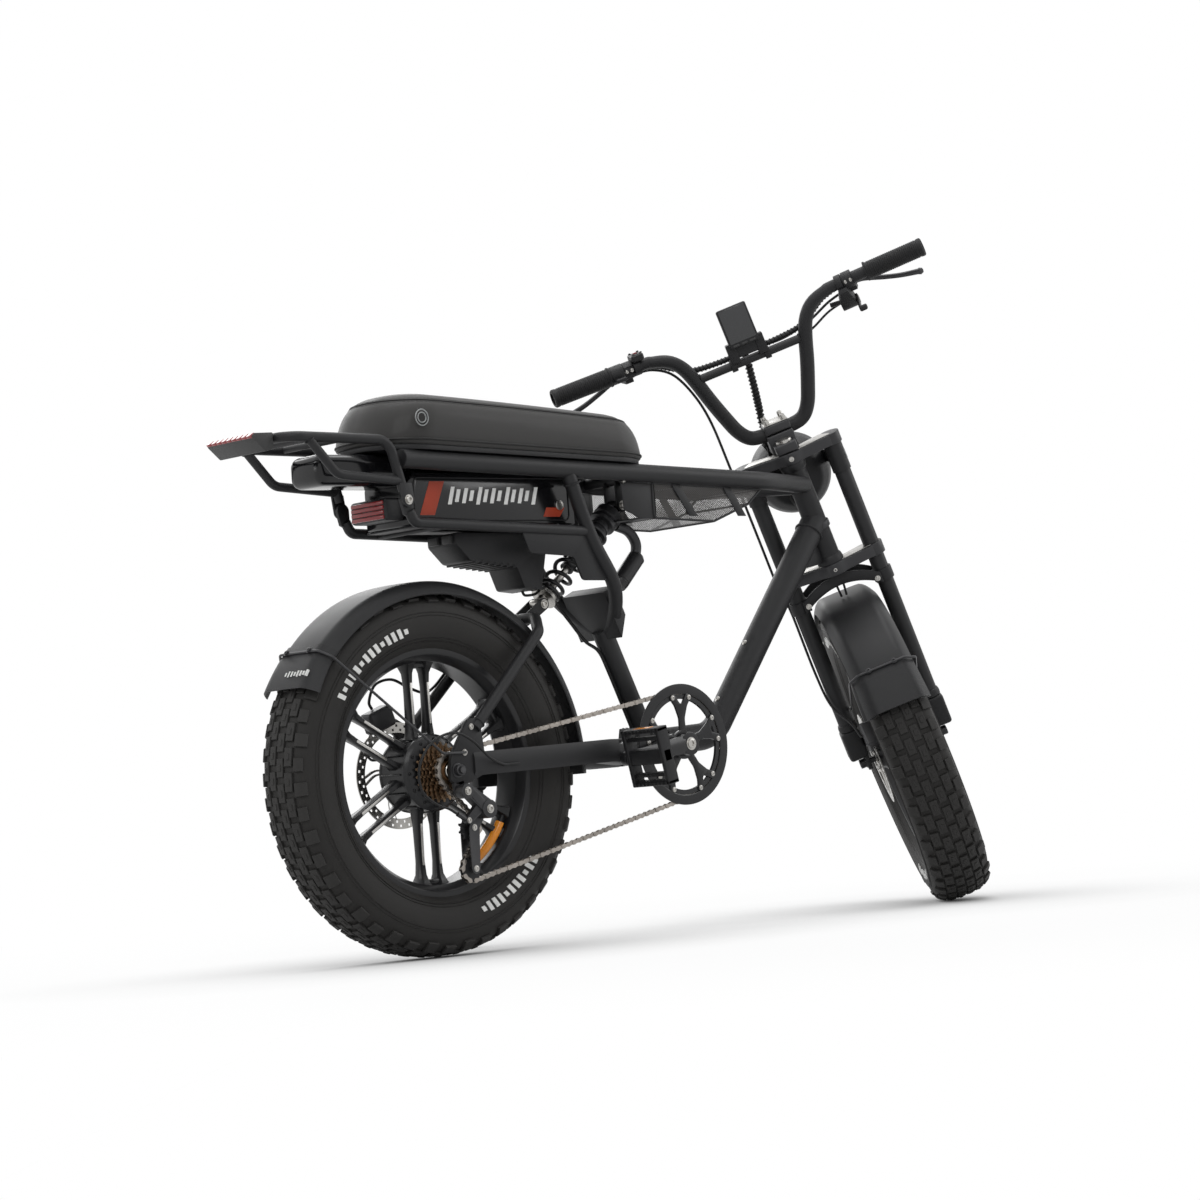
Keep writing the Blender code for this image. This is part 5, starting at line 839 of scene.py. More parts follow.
# Main frame
def build_frame():
    tubes = []
    for side in (1, -1):
        y = side * RAIL_Y
        rail = bent([(RAIL_BACK[0], y, rail_z(RAIL_BACK[0])), (0.775, y, rail_z(0.775)),
                     (0.958, side * 0.01, 0.796)], 0.15)
        tubes.append(tube(rail, RAIL_RADIUS, 28))
        lower = bent([(-0.0572, y, 0.739), (-0.047, y, 0.7195), (0.345, y, 0.7035)], 0.016)
        tubes.append(tube(lower, 0.009, 20))
        lug = [*circle((-0.0627, 0.757), 0.0125, 16, 0.0, math.pi), (-0.069, 0.733), (-0.05, 0.724)]
        tubes.append(prism(lug, y - 0.0035, y + 0.0035))
        stay = smooth([(0.302, y, 0.802), (0.343, y, 0.695), (0.384, y, 0.624), (0.405, side * 0.07, 0.588),
                       (0.424, side * 0.04, 0.556), (0.436, side * 0.01, 0.532)], 6)
        tubes.append(tube(stay, 0.0125, 24))
        gusset = [(0.185, 0.704), (0.2, 0.667), (0.298, 0.661), (0.317, 0.619), (0.382, 0.618),
                  (0.345, 0.706)]
        tubes.append(prism(softened(gusset, 0.006), y - 0.0025, y + 0.0025, bevel=0.0008))
        tubes.append(weld((0.3095, y, 0.7865), (0.0355, 0, -0.107), 0.0135, 0.0018))
        # Cap in the rail's open end
        tubes.append(rod((-0.068, y, rail_z(-0.068)), (-0.0655, y, rail_z(-0.0655)), 0.0155))
    tubes.append(tube([(0.43, 0, 0.538), (0.52, 0, 0.335)], 0.0185, 32))
    tubes.append(tube(bent([(0.533, 0, 0.334), DOWN_TUBE_LOW, DOWN_TUBE_TOP], 0.07), 0.0245, 36))
    lean = Vector((-math.cos(HEAD_ANGLE), 0, math.sin(HEAD_ANGLE)))
    head = [FOOT + lean * height for height in HEAD_TUBE]
    tubes.append(rod(head[0], head[1], 0.0215, 40))
    for place, direction in ((head[0], lean), (head[1], -lean)):
        cup = [(0.015, 0.0), (0.0252, 0.0), (0.0258, 0.004), (0.024, 0.012), (0.0218, 0.015), (0.015, 0.015)]
        tubes.append(lathe(cup, 48, place, direction))
    tubes.append(prism([(0.392, 0.6), (0.428, 0.52), (0.44, 0.56), (0.418, 0.612)], -0.0545, 0.0545))
    tubes.append(prism([(0.95, 0.64), (1.008, 0.651), (1.018, 0.69), (0.98, 0.7)], -0.003, 0.003))
    tubes.append(rod(at_y(CRANK_CENTRE, -BRACKET_HALF), at_y(CRANK_CENTRE, BRACKET_HALF), 0.021, 40))
    tubes.append(rod(at_y(PIVOT, -PIVOT_HALF), at_y(PIVOT, PIVOT_HALF), 0.018, 36))
    tubes.append(box((0.414, -0.021, 0.301), (0.525, 0.021, 0.332), 0.004, 3))
    for x, z, radius in ((0.487, 0.8035, 0.01), (0.64, 0.8, 0.009), (0.01, 0.7125, 0.0045),
                         (0.27, 0.7125, 0.0045)):
        tubes.append(tube([(x, -RAIL_Y, z), (x, RAIL_Y, z)], radius, 18))
    tubes.append(box((-0.03, -0.064, 0.7143), (0.325, 0.064, 0.7173), 0.001))
    for side in (1, -1):
        outline = [(0.475, 0.8), *circle((0.487, 0.757), 0.0118, 14, math.pi, math.tau), (0.499, 0.8)]
        tubes.append(prism(outline, side * 0.0123, side * 0.0173))
    # Welds where the tubes meet
    tubes.append(weld((0.972, 0, 0.708), DOWN_TUBE_RUN, 0.025, 0.0021))
    tubes.append(weld((0.557, 0, 0.335), (1, 0, 0.05), 0.0248, 0.0021))
    tubes.append(weld((0.512, 0, 0.353), (0.09, 0, -0.203), 0.019, 0.0019))
    make("frame_tubes", tubes, PAINT, "frame", ("main_frame",), 40)
    bolts = []
    for side in (1, -1):
        bolts.append(bolt((-0.0627, side * (RAIL_Y + 0.008), 0.757), (0, side, 0), 0.0062, 0.0045))
        bolts.append(bolt(at_y(SHOCK_TOP, side * 0.0172), (0, side, 0), 0.006, 0.004))
        bolts.append(bolt((0.43, side * RAIL_Y, rail_z(0.43) - 0.0165), (0, side * 0.3, -1), 0.0035, 0.0022))
    for x in (0.72, 0.8):
        # On the upper side of the down tube
        height = DOWN_TUBE_LOW.z + (x - DOWN_TUBE_LOW.x) * DOWN_TUBE_RUN.z / DOWN_TUBE_RUN.x
        bolts.append(bolt((x - 0.019, 0, height + 0.015), (-0.78, 0, 0.62), 0.004, 0.0026))
    detail("frame_bolts", bolts, STEEL, "frame", 30)
    # Cable guide round the head tube, and the plain end caps of the bottom bracket
    guide = FOOT + lean * 0.47
    ring = [(0.0217, -0.006), (0.025, -0.006), (0.025, 0.006), (0.0217, 0.006)]
    pieces = [lathe(softened(ring, 0.0012), 40, guide, lean)]
    for side in (1, -1):
        cup = [(0.009, 0.0), (0.019, 0.0), (0.02, 0.0015), (0.02, 0.01), (0.009, 0.01)]
        pieces.append(lathe(cup, 40, at_y(CRANK_CENTRE, side * (BRACKET_HALF - 0.0004)), (0, side, 0)))
    detail("frame_fittings", pieces, ANODISED, "frame", 35)


def slanted_bars(x, z, count, pitch, height, y, slope=0.32, thick=0.0004):
    """Plain slanted bars printed on a side face."""
    solids = []
    side = 1 if y > 0 else -1
    for index in range(count):
        left = x + index * pitch
        tall = height * (1.0, 0.72, 0.86, 0.6)[index % 4]
        lean = slope * tall
        outline = [(left, z - tall / 2), (left + pitch * 0.52, z - tall / 2),
                   (left + pitch * 0.52 + lean, z + tall / 2), (left + lean, z + tall / 2)]
        solids.append(prism(outline, y, y + side * thick, bevel=0))
    return solids


BATTERY_HALF = 0.058


def build_battery():
    outline = [(-0.035, 0.7176), (0.335, 0.7176), (0.335, 0.806), (-0.015, 0.806), (-0.015, 0.814),
               (-0.035, 0.79)]
    case = prism(softened(outline, 0.006, steps=4), -BATTERY_HALF, BATTERY_HALF, bevel=0.003)
    nose = box((-0.205, -0.045, 0.786), (-0.015, 0.045, 0.8395), 0.018, 6)
    make("battery_case_shell", [case, nose], BATTERY, "frame", ("battery_pack",), 40)
    trims, prints, accents = [], [], []
    for side in (1, -1):
        rim = [(-0.022, 0.726), (0.322, 0.726), (0.322, 0.798), (-0.022, 0.798)]
        path = [(x, side * (BATTERY_HALF + 0.0002), z) for x, z in softened(rim, 0.012, steps=5)]
        trims.append(tube(path, 0.0012, 8, closed=True))
        prints += slanted_bars(0.05, 0.768, 13, 0.0155, 0.03, side * BATTERY_HALF)
        for outline in ([(-0.012, 0.735), (0.02, 0.735), (0.045, 0.792), (0.013, 0.792)],
                        [(0.262, 0.732), (0.3, 0.732), (0.312, 0.748), (0.27, 0.748)]):
            accents.append(prism(outline, side * BATTERY_HALF, side * (BATTERY_HALF + 0.0003), bevel=0))
    detail("battery_trim", trims, PLASTIC, "frame", 40)
    detail("battery_bars", prints, INK, "frame", 30)
    detail("battery_accents", accents, ORANGE, "frame", 30)
    port = [rod((0.3, -0.0575, 0.752), (0.3, -0.06, 0.752), 0.0085, 28)]
    detail("battery_lock", port, STEEL, "frame", 35)


def build_controller():
    outline = [(0.079, 0.7077), (0.079, 0.688), (0.109, 0.659), (0.211, 0.648), (0.226, 0.612),
               (0.264, 0.608),
               (0.283, 0.685), (0.283, 0.7077)]
    solids = [prism(softened(outline, 0.004), -0.038, 0.038, bevel=0.0018)]
    for index in range(7):
        x = 0.118 + index * 0.014
        z = 0.659 - (x - 0.109) * 0.108
        solids.append(box((x, -0.0385, z - 0.0028), (x + 0.0055, 0.0385, z + 0.004), 0.0008))
    make("controller_case", solids, PLASTIC, "frame", ("controller_box",), 35)
    plug = [box((0.07, -0.03, 0.69), (0.08, -0.01, 0.704), 0.002),
            box((0.072, 0.005, 0.69), (0.08, 0.028, 0.704), 0.002)]
    detail("controller_plug", plug, GREY, "frame", 35)
    wires = []
    for offset, drop in ((-0.02, 0.64), (0.004, 0.632), (0.02, 0.646)):
        route = [(0.255, offset, 0.6095), (0.262, offset * 0.9, drop - 0.03),
                 (0.288, offset * 0.8, drop - 0.026),
                 (0.304, 0.03, drop - 0.01), (0.298, 0.033, 0.642)]
        wires.append(tube(smooth(route, 6), 0.0024, 10))
    detail("controller_wires", wires, CABLE, "frame", 50)


# Seat
SEAT_HALF_LENGTH, SEAT_HALF_WIDTH = 0.311, 0.105


def seat_outline(inset, sides=96):
    """Plan of the seat, drawn in by the inset."""
    half_length, half_width = SEAT_HALF_LENGTH - inset, SEAT_HALF_WIDTH - inset
    corner = max(0.098 - inset, 0.004)
    quarter = sides // 4
    outline = []
    for number, (sx, sy) in enumerate(((1, 1), (-1, 1), (-1, -1), (1, -1))):
        centre = (sx * (half_length - corner), sy * (half_width - corner))
        start = number * math.pi / 2
        arc = circle(centre, corner, quarter - 6, start, start + math.pi / 2)
        outline += arc
        # Points along the straight that follows
        following = ((-1, 1), (-1, -1), (1, -1), (1, 1))[number]
        target = (following[0] * (half_length - corner), following[1] * (half_width - corner))
        end = start + math.pi / 2
        last = (target[0] + corner * math.cos(end), target[1] + corner * math.sin(end))
        for step in range(1, 7):
            t = step / 7
            outline.append((arc[-1][0] + (last[0] - arc[-1][0]) * t, arc[-1][1] + (last[1] - arc[-1][1])
                            * t))
    return outline


SEAT = (Matrix.Translation((0.205, 0.0, rail_z(0.205) + RAIL_RADIUS / math.cos(SEAT_TILT)))
        @ Matrix.Rotation(SEAT_TILT, 4, "Y"))


def seat_height(x):
    along = (x + SEAT_HALF_LENGTH) / (2 * SEAT_HALF_LENGTH)
    return 0.094 - 0.004 * along - 0.012 * along ** 2


def seat_ring(inset, share):
    """Line round the cushion at a share of its height."""
    ring = []
    lean = 1.0 - 0.085 * share
    for x, y in seat_outline(inset):
        pucker = 0.0007 * math.sin(x * 46.0 + y * 30.0) * math.sin(math.pi * share)
        height = 0.0093 + share * seat_height(x)
        ring.append(Vector((x * lean, y * (1 + pucker * 8) + pucker, height)))
    return ring


def build_seat():
    levels = [(0.005, 0.0), (0.002, 0.03), (0.0006, 0.1), (0.0, 0.22), (0.0, 0.34), (0.0012, 0.48),
              (0.0036, 0.6),
              (0.0072, 0.7), (0.0115, 0.775), (0.015, 0.815), (0.016, 0.825), (0.0185, 0.85), (0.026, 0.905),
              (0.036, 0.945), (0.048, 0.97), (0.062, 0.986), (0.078, 0.995), (0.092, 1.0)]
    rings = [seat_ring(inset, share) for inset, share in levels]
    points = [point for ring in rings for point in ring]
    count = len(rings[0])
    faces = []
    for level in range(len(rings) - 1):
        faces += strip(level * count, (level + 1) * count, count)
    faces += [list(range(count))[::-1], list(range((len(rings) - 1) * count, len(rings) * count))]
    cushion = make("seat_padding", [(points, faces)], LEATHER, "frame", ("seat_cushion",), 70,
                   SEAT)
    seams = []
    for inset, share, radius in ((0.0146, 0.813, 0.0016), (0.0005, 0.085, 0.002)):
        seams.append(tube(seat_ring(inset, share), radius, 8, closed=True))
    detail("seat_piping_lines", seams, PIPING, "frame", 60, SEAT)
    stitches = []
    for inset, share in ((0.018, 0.846), (0.0118, 0.778)):
        ring = seat_ring(inset - 0.0002, share)
        for a, b in zip(ring, ring[1:] + ring[:1]):
            run = b - a
            pieces = max(1, round(run.length / 0.0052))
            for k in range(pieces):
                stitches.append(tube([a + run * ((k + 0.15) / pieces), a + run * ((k + 0.75) / pieces)],
                                     0.00045, 5))
    detail("seat_stitching", stitches, GREY, "frame", 60, SEAT)
    base = prism(seat_outline(0.006), 0.0003, 0.009, "z", 0.0012)
    make("seat_pan", [base], PLASTIC, "frame", ("seat_base",), 40, SEAT)
    badge = []
    for radius in (0.0135, 0.0085):
        ring = [(x, -0.104, z) for x, z in circle((-0.238, 0.052), radius, 28)]
        badge.append(tube(ring, 0.0011, 6, closed=True))
    detail("seat_badge_rings", badge, SILVER_INK, "frame", 60, SEAT)


def build_rack():
    right = [(-0.0665, -RAIL_Y, 0.7725), (-0.0905, -RAIL_Y, 0.857), (-0.3, -RAIL_Y, 0.8605)]
    left = [(x, -y, z) for x, y, z in reversed(right)]
    solids = [tube(bent([*right, *left], 0.034), 0.0085, 20)]
    for side in (1, -1):
        y = side * RAIL_Y
        bar = bent([(-0.256, y, 0.857), (-0.202, y, 0.799), (-0.0745, y, 0.789)], 0.03)
        solids.append(tube(bar, 0.0078, 18))
        inner = RAIL_Y + 0.0038
        outline = [*circle((-0.0627, 0.757), 0.0125, 16, math.pi, math.tau), (-0.054, 0.785),
                   (-0.079, 0.785)]
        solids.append(prism(outline, side * inner, side * (inner + 0.0045)))
        solids.append(weld((-0.254, y, 0.8548), (0.054, 0, -0.058), 0.0082, 0.0013, 24))
    for x in (-0.18, -0.245):
        solids.append(tube([(x, -RAIL_Y, 0.859), (x, RAIL_Y, 0.859)], 0.006, 16))
    make("rack_tubes", solids, PAINT, "frame", ("rear_rack",), 40)
    wedge = [(-0.3092, 0.869), (-0.346, 0.8675), (-0.352, 0.862), (-0.348, 0.857), (-0.326, 0.838),
             (-0.3092, 0.842)]
    make("tail_light_housing", [prism(softened(wedge, 0.002), -0.062, 0.062, bevel=0.001)], GREY, "frame",
         ("tail_light",), 35)
    lens = [(-0.3452, 0.8684), (-0.3528, 0.8624), (-0.35, 0.859), (-0.344, 0.865)]
    ribs = [prism(softened(lens, 0.0008), y, y + 0.0133, bevel=0.0002)
            for y in (-0.0605 + 0.0135 * k for k in range(9))]
    detail("tail_light_lens", ribs, RED, "frame", 35)
    lamp = [box((-0.076, -0.0475, 0.728), (-0.0353, 0.0475, 0.766), 0.006, 4)]
    make("rear_lamp_housing", lamp, PLASTIC, "frame", ("rear_lamp",), 35)
    rows = []
    for z in (0.7345, 0.7425, 0.7505, 0.7585):
        rows.append(box((-0.0785, -0.0425, z - 0.0034), (-0.073, 0.0425, z + 0.0034), 0.0018, 3))
    detail("rear_lamp_lens", rows, RED, "frame", 35)


def build_basket():
    def under(x):
        return rail_z(x) - RAIL_RADIUS - 0.0002

    side_y = 0.083
    bottom = [(0.5, 0.727), (0.646, 0.721), (0.735, 0.752), (0.768, under(0.768))]
    points, faces, layout = [], [], []

    def sheet(corners, flat):
        start = len(points)
        points.extend(Vector(corner) for corner in corners)
        faces.append(list(range(start, start + len(corners))))
        layout.append(flat)

    for side in (1, -1):
        outline = [(0.5, under(0.5)), *bottom]
        sheet([(x, side * side_y, z) for x, z in outline], [(x, z) for x, z in outline])
    reach = 0.0
    for (x0, z0), (x1, z1) in zip(bottom, bottom[1:]):
        run = math.hypot(x1 - x0, z1 - z0)
        sheet([(x0, -side_y, z0), (x0, side_y, z0), (x1, side_y, z1), (x1, -side_y, z1)],
              [(reach, -side_y), (reach, side_y), (reach + run, side_y), (reach + run, -side_y)])
        reach += run
    mesh = bpy.data.meshes.new("basket_mesh_sheets")
    mesh.from_pydata(points, [], faces)
    flat = mesh.uv_layers.new(name="metres")
    for face, spots in zip(mesh.polygons, layout):
        for index, spot in zip(face.loop_indices, spots):
            flat.data[index].uv = spot
    mesh.materials.append(MESH)
    sheets = put("basket_mesh_sheets", mesh)
    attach(sheets, "frame")
    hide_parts("mesh_basket")
    rims = []
    for side in (1, -1):
        edge = [(x, side * side_y, z) for x, z in [(0.5, under(0.5)), *bottom]]
        rims.append(tube(bent(edge, 0.006), 0.0022, 10))
        rims.append(tube([(0.5, side * side_y, under(0.5) + 0.0005), (0.768, side * side_y, under(0.768))],
                         0.0022, 10))
    for x, z in bottom:
        rims.append(tube([(x, -side_y, z), (x, side_y, z)], 0.0022, 10))
    outer = [(0.425, under(0.425)), (0.43, 0.742), (0.463, 0.727), (0.506, 0.7255), (0.506, under(0.506))]
    for side in (1, -1):
        rims.append(prism(outer, side * side_y, side * (side_y - 0.002), bevel=0.0004))
    rims.append(box((0.46, -0.081, 0.7258), (0.506, 0.081, 0.7278), 0.0006))
    detail("basket_rims", rims, PAINT, "frame", 40)
    straps = []
    for x, lean in ((0.545, 0.04), (0.672, 0.034)):
        outline = [(x, under(x) + 0.0005), (x + 0.02, under(x + 0.02) + 0.0005), (x + 0.02 + lean, 0.73),
                   (x + lean, 0.73)]
        for side in (1, -1):
            straps.append(prism(outline, side * (side_y + 0.0006), side * (side_y + 0.0024), bevel=0.0004))
    detail("basket_straps", straps, PLASTIC, "frame", 40)


# Swingarm and what rides on it
def build_swingarm():
    solids = []
    for side in (1, -1):
        sections = []
        for x, z, half_z, half_y in ((0.036, 0.3155, 0.019, 0.008), (0.06, 0.3165, 0.0195, 0.008),
                                     (0.2, 0.32, 0.0195, 0.008), (0.345, 0.324, 0.0195, 0.008),
                                     (0.364, 0.324, 0.019, 0.008)):
            sections.append(((x, side * 0.088, z), (0, 1, 0), (0, 0, 1), half_y, half_z))
        solids.append(loft(sections))
        ear = PIVOT_HALF + 0.0003
        yoke = softened([(0.34, 0.306), (0.34, 0.34), (0.402, 0.33), (0.402, 0.298)], 0.004)
        solids.append(prism(yoke, side * ear, side * 0.092, bevel=0.003))
        solids.append(rod(at_y(PIVOT, side * ear), at_y(PIVOT, side * (ear + 0.014)), 0.0175, 36))
        plate = [(-0.016, 0.291), (-0.012, 0.33), (0.03, 0.392), (0.056, 0.392), (0.062, 0.335),
                 (0.06, 0.299),
                 (0.02, 0.283), (-0.004, 0.283)]
        solids.append(prism(softened(plate, 0.008, steps=4), side * 0.0845, side * 0.0925, bevel=0.0012))
        stay = bent([(0.046, side * 0.089, 0.375), (0.212, side * 0.079, 0.533), (0.242, side * 0.04, 0.56),
                     (0.242, side * 0.001, 0.56)], 0.022)
        solids.append(tube(stay, 0.01, 22))
        clevis = [(0.23, 0.56), (0.246, 0.548), *circle((0.286, 0.585), 0.0105, 12, -1.1, 2.2)]
        solids.append(prism(clevis, side * 0.0123, side * 0.0168))
        solids.append(weld((0.056, side * 0.0885, 0.3845), (0.166, 0, 0.158), 0.0102, 0.0016, 30))
    solids.append(tube([(0.354, -0.086, 0.323), (0.354, 0.086, 0.323)], 0.012, 24))
    hanger = [(0.012, 0.29), (-0.01, 0.286), (-0.008, 0.268),
              *circle((0.004, 0.272), 0.011, 8, math.pi, math.tau)]
    solids.append(prism(hanger, -0.0925, -0.0865))
    solids.append(box((0.188, 0.079, 0.278), (0.236, 0.0985, 0.306), 0.002))
    make("swingarm_tubes", solids, PAINT, "swingarm", ("swingarm",), 36)
    bolts = []
    for side in (1, -1):
        for x, y, z, radius, height in ((PIVOT.x, 0.0528, PIVOT.z, 0.0085, 0.0045),
                                        (SHOCK_LOW.x, 0.0165, SHOCK_LOW.z, 0.006, 0.004),
                                        (0.018, 0.0925, 0.336, 0.004, 0.0035),
                                        (0.036, 0.0925, 0.378, 0.0038, 0.0028)):
            bolts.append(bolt((x, side * y, z), (0, side, 0), radius, height))
    detail("swingarm_bolts", bolts, STEEL, "swingarm", 30)
    axle = []
    for side in (1, -1):
        nut = [(0.0, 0.0), (0.012, 0.0), (0.012, 0.0015), (0.0095, 0.002), (0.0095, 0.01), (0.0082, 0.0112),
               (0.0062, 0.0112), (0.0058, 0.015), (0.0, 0.0155)]
        axle.append(lathe(nut, 6 if side == 1 else 24, at_y(AXLE, side * 0.0928), (0, side, 0),
                          ring=False))
        axle.append(rod(at_y(AXLE, side * 0.04), at_y(AXLE, side * 0.094), 0.0058, 24))
    make("rear_axle_nuts", axle, ANODISED, "swingarm", ("rear_axle",), 32)


def fender_solid(centre, radius, half_width, start, end, flare_from=None, flare=0.0, thickness=0.0018):
    """Pressed fender with rolled edges, round the y axis."""
    section = []
    for k in range(-12, 13):
        across = k / 12
        section.append((across, -0.002 * across ** 2 - 0.0215 * max(0.0, abs(across) - 0.62) ** 2 / 0.1444))
    steps = 72
    points, faces = [], []
    for index in range(steps + 1):
        angle = start + (end - start) * index / steps
        width = half_width
        if flare_from is not None:
            width *= 1 + max(0.0, angle - flare_from) / math.radians(14) * flare
        row = [(across * width, radius + drop) for across, drop in section]
        row += [(across * (width - 0.0012), radius + drop - thickness) for across, drop in reversed(section)]
        for y, reach in row:
            points.append(Vector((centre[0] + reach * math.cos(angle), y, centre[1] + reach
                                  * math.sin(angle))))
    count = 2 * len(section)
    for index in range(steps):
        faces += strip(index * count, (index + 1) * count, count)
    half = len(section)
    for base in (0, steps * count):
        faces += [[base + k, base + k + 1, base + count - k - 2, base + count - k - 1]
                  for k in range(half - 1)]
    return points, faces


def fender_stay(centre, crown, degrees, drop, feet, foot_y, sides, bolting):
    """Wire from both feet over the fender at an angle, with its two bolts."""
    angle = math.radians(degrees)
    out = (math.cos(angle), 0, math.sin(angle))
    over = (centre[0] + crown * out[0], centre[1] + crown * out[2])
    edge = (over[0] - drop * out[0], over[1] - drop * out[2])
    ends = []
    for side in (-1, 1):
        ends.append([*[(x, side * foot_y, z) for x, z in feet], (edge[0], side * sides[0], edge[1]),
                     (over[0], side * sides[1], over[1] - 0.001)])
    wire = tube(bent([*ends[0], *reversed(ends[1])], 0.012, math.radians(12)), 0.0023, 12)
    bolt_y, shift, radius = bolting
    return [wire,
            *[bolt((over[0] - shift, y, over[1] + shift), out, radius, 0.003) for y in (-bolt_y, bolt_y)]]


def build_fenders():
    centre, radius = (0.007, 0.305), 0.3222
    shell = fender_solid(centre, radius, 0.064, math.radians(-3), math.radians(139.5))
    make("rear_fender_shell", [shell], FENDER, "swingarm", ("rear_fender",), 40)
    flap = fender_solid(centre, radius + 0.0022, 0.0648, math.radians(136.5), math.radians(152),
                        math.radians(138), 0.105)
    detail("rear_fender_flap", [flap], PLASTIC, "swingarm", 40)
    stay = fender_stay(centre, radius + 0.004, 139.5, 0.02, ((0.018, 0.336), (-0.03, 0.336)), 0.0955,
                       (0.069, 0.05), (0.03, 0.001, 0.0042))
    detail("rear_fender_stay", stay, ANODISED, "swingarm", 40)
    bars = []
    turn = Matrix.Translation((centre[0], 0, centre[1])) @ Matrix.Rotation(-math.radians(147.2), 4, "Y")
    for index in range(8):
        y = -0.052 + index * 0.0078
        tall = (0.0055, 0.0035, 0.0048)[index % 3]
        bars.append(moved(box((radius + 0.003 - 0.004 * abs(y) / 0.06, y, -tall),
                              (radius + 0.0034, y + 0.0036, tall),
                              0.0001, 1), turn))
    detail("flap_bars", bars, INK, "swingarm", 30)
    front = fender_solid((0.0, 0.0), 0.3212, 0.06, math.radians(38), math.radians(150))
    make("front_fender_shell", [front], FENDER, "steering", ("front_fender",), 40, FRONT)
    flap = fender_solid((0.0, 0.0), 0.3232, 0.0606, math.radians(138), math.radians(150), math.radians(140),
                        0.05)
    detail("front_fender_flap", [flap], PLASTIC, "steering", 40, FRONT)
    stay = fender_stay((FORK_OFFSET, 0.0), 0.325, 135, 0.018, ((FORK_OFFSET, 0.112), (-0.01, 0.116)), 0.0665,
                       (0.0655, 0.046), (0.025, 0.0, 0.004))
    detail("front_fender_stay", stay, ANODISED, "steering", 40, STEER)


def build_kickstand():
    top = Vector((0.212, 0.1055, 0.286))
    foot = Vector((0.232, 0.212, 0.0))
    route = [top + Vector((0, 0.002, 0)), (0.214, 0.116, 0.25), (0.225, 0.18, 0.08), (foot.x, foot.y, 0.012)]
    leg = tube(smooth(route, 8), 0.0085, 20)
    boss = rod(top - Vector((0, 0.0067, 0)), top + Vector((0, 0.0095, 0)), 0.014, 32)
    make("kickstand_leg", [leg, boss], ANODISED, "kickstand", ("kickstand",), 35)
    shoe = [(0.0, 0.0), (0.019, 0.0), (0.0192, 0.006), (0.016, 0.015), (0.0125, 0.028), (0.0105, 0.03),
            (0.0, 0.03)]
    detail("kickstand_shoe", [lathe(softened(shoe, 0.001, ring=False), 32, (foot.x, foot.y, 0.0023),
                                    (0, -0.12, 1), ring=False)],
         GRIP, "kickstand", 35)


# Shock absorber
EYE_HALF, EYE_RADIUS = 0.012, 0.0112


def build_shock():
    axis = SHOCK_TOP - SHOCK_LOW
    length = axis.length
    unit = axis.normalized()

    def at(distance):
        return SHOCK_LOW + unit * distance

    spring_top = length - 0.08
    body = [(0.007, 0.095), (0.0125, 0.095), (0.0125, spring_top), (0.0255, spring_top + 0.0003),
            (0.0262, spring_top + 0.003), (0.0255, spring_top + 0.0058), (0.0185, spring_top + 0.0062),
            (0.018, spring_top + 0.016), (0.0195, spring_top + 0.017), (0.0195, spring_top + 0.02),
            (0.0165, spring_top + 0.021), (0.0165, length - 0.052), (0.0245, length - 0.05),
            (0.025, length - 0.045),
            (0.0225, length - 0.043), (0.0225, length - 0.038), (0.025, length - 0.036),
            (0.025, length - 0.022),
            (0.018, length - 0.016), (0.008, length - 0.008), (0.0, length - 0.008)]
    solids = [lathe(body, 48, SHOCK_LOW, unit, ring=False),
              rod(at_y(SHOCK_TOP, -EYE_HALF), at_y(SHOCK_TOP, EYE_HALF), EYE_RADIUS, 32),
              tube(smooth([(0.484, 0, 0.722), (0.512, 0, 0.712), (0.528, 0, 0.69), (0.524, 0, 0.664)], 8),
                   0.0095, 20)]
    make("shock_cylinder", solids, ANODISED, "shock_body", ("shock_body",), 32)
    tank = Vector((0.529, 0, 0.667))
    run = Vector((0.478, 0, 0.616)) - tank
    profile = [(0.0, -0.002), (0.012, -0.002), (0.0158, 0.003), (0.0158, run.length - 0.012),
               (0.015, run.length - 0.011),
               (0.015, run.length - 0.009), (0.0158, run.length - 0.008), (0.0145, run.length),
               (0.006, run.length + 0.001),
               (0.005, run.length - 0.002), (0.0, run.length - 0.002)]
    detail("shock_reservoir", [lathe(profile, 40, tank, run, ring=False)], GLOSS, "shock_body", 32)
    shaft = [(0.0, 0.008), (0.0095, 0.008), (0.0095, 0.016), (0.024, 0.018), (0.024, 0.0235),
             (0.0065, 0.0237),
             (0.0065, 0.175), (0.0, 0.175)]
    make("shock_rod", [lathe(shaft, 40, SHOCK_LOW, unit, ring=False),
                       rod(at_y(SHOCK_LOW, -EYE_HALF), at_y(SHOCK_LOW, EYE_HALF), EYE_RADIUS, 32)],
         STEEL, "shock_shaft", ("shock_shaft",), 32)
    wire, mean, turns, per_turn = 0.0036, 0.0205, 7, 32
    start, end = 0.024 + wire, spring_top - wire
    place = Matrix.Translation(SHOCK_LOW) @ toward(axis)
    coil = []
    for index in range(turns * per_turn + 1):
        t = index / (turns * per_turn)
        rise = t - math.sin(math.tau * t) / math.tau * 0.6
        angle = math.tau * turns * t
        coil.append(place @ Vector((mean * math.cos(angle), mean * math.sin(angle), start + (end - start)
                                    * rise)))
    make("shock_coil", [tube(coil, wire, 14)], GLOSS, None, ("shock_spring",), 60,
         blend=("shock_body", "shock_shaft", at(spring_top), at(0.024)))


# Crank set
def crank_point(radius, side, y):
    """Point along the crank of that side, at y."""
    reach = radius * side
    return Vector((CRANK_CENTRE.x + reach * math.cos(CRANK_ANGLE), y, CRANK_CENTRE.z + reach
                   * math.sin(CRANK_ANGLE)))


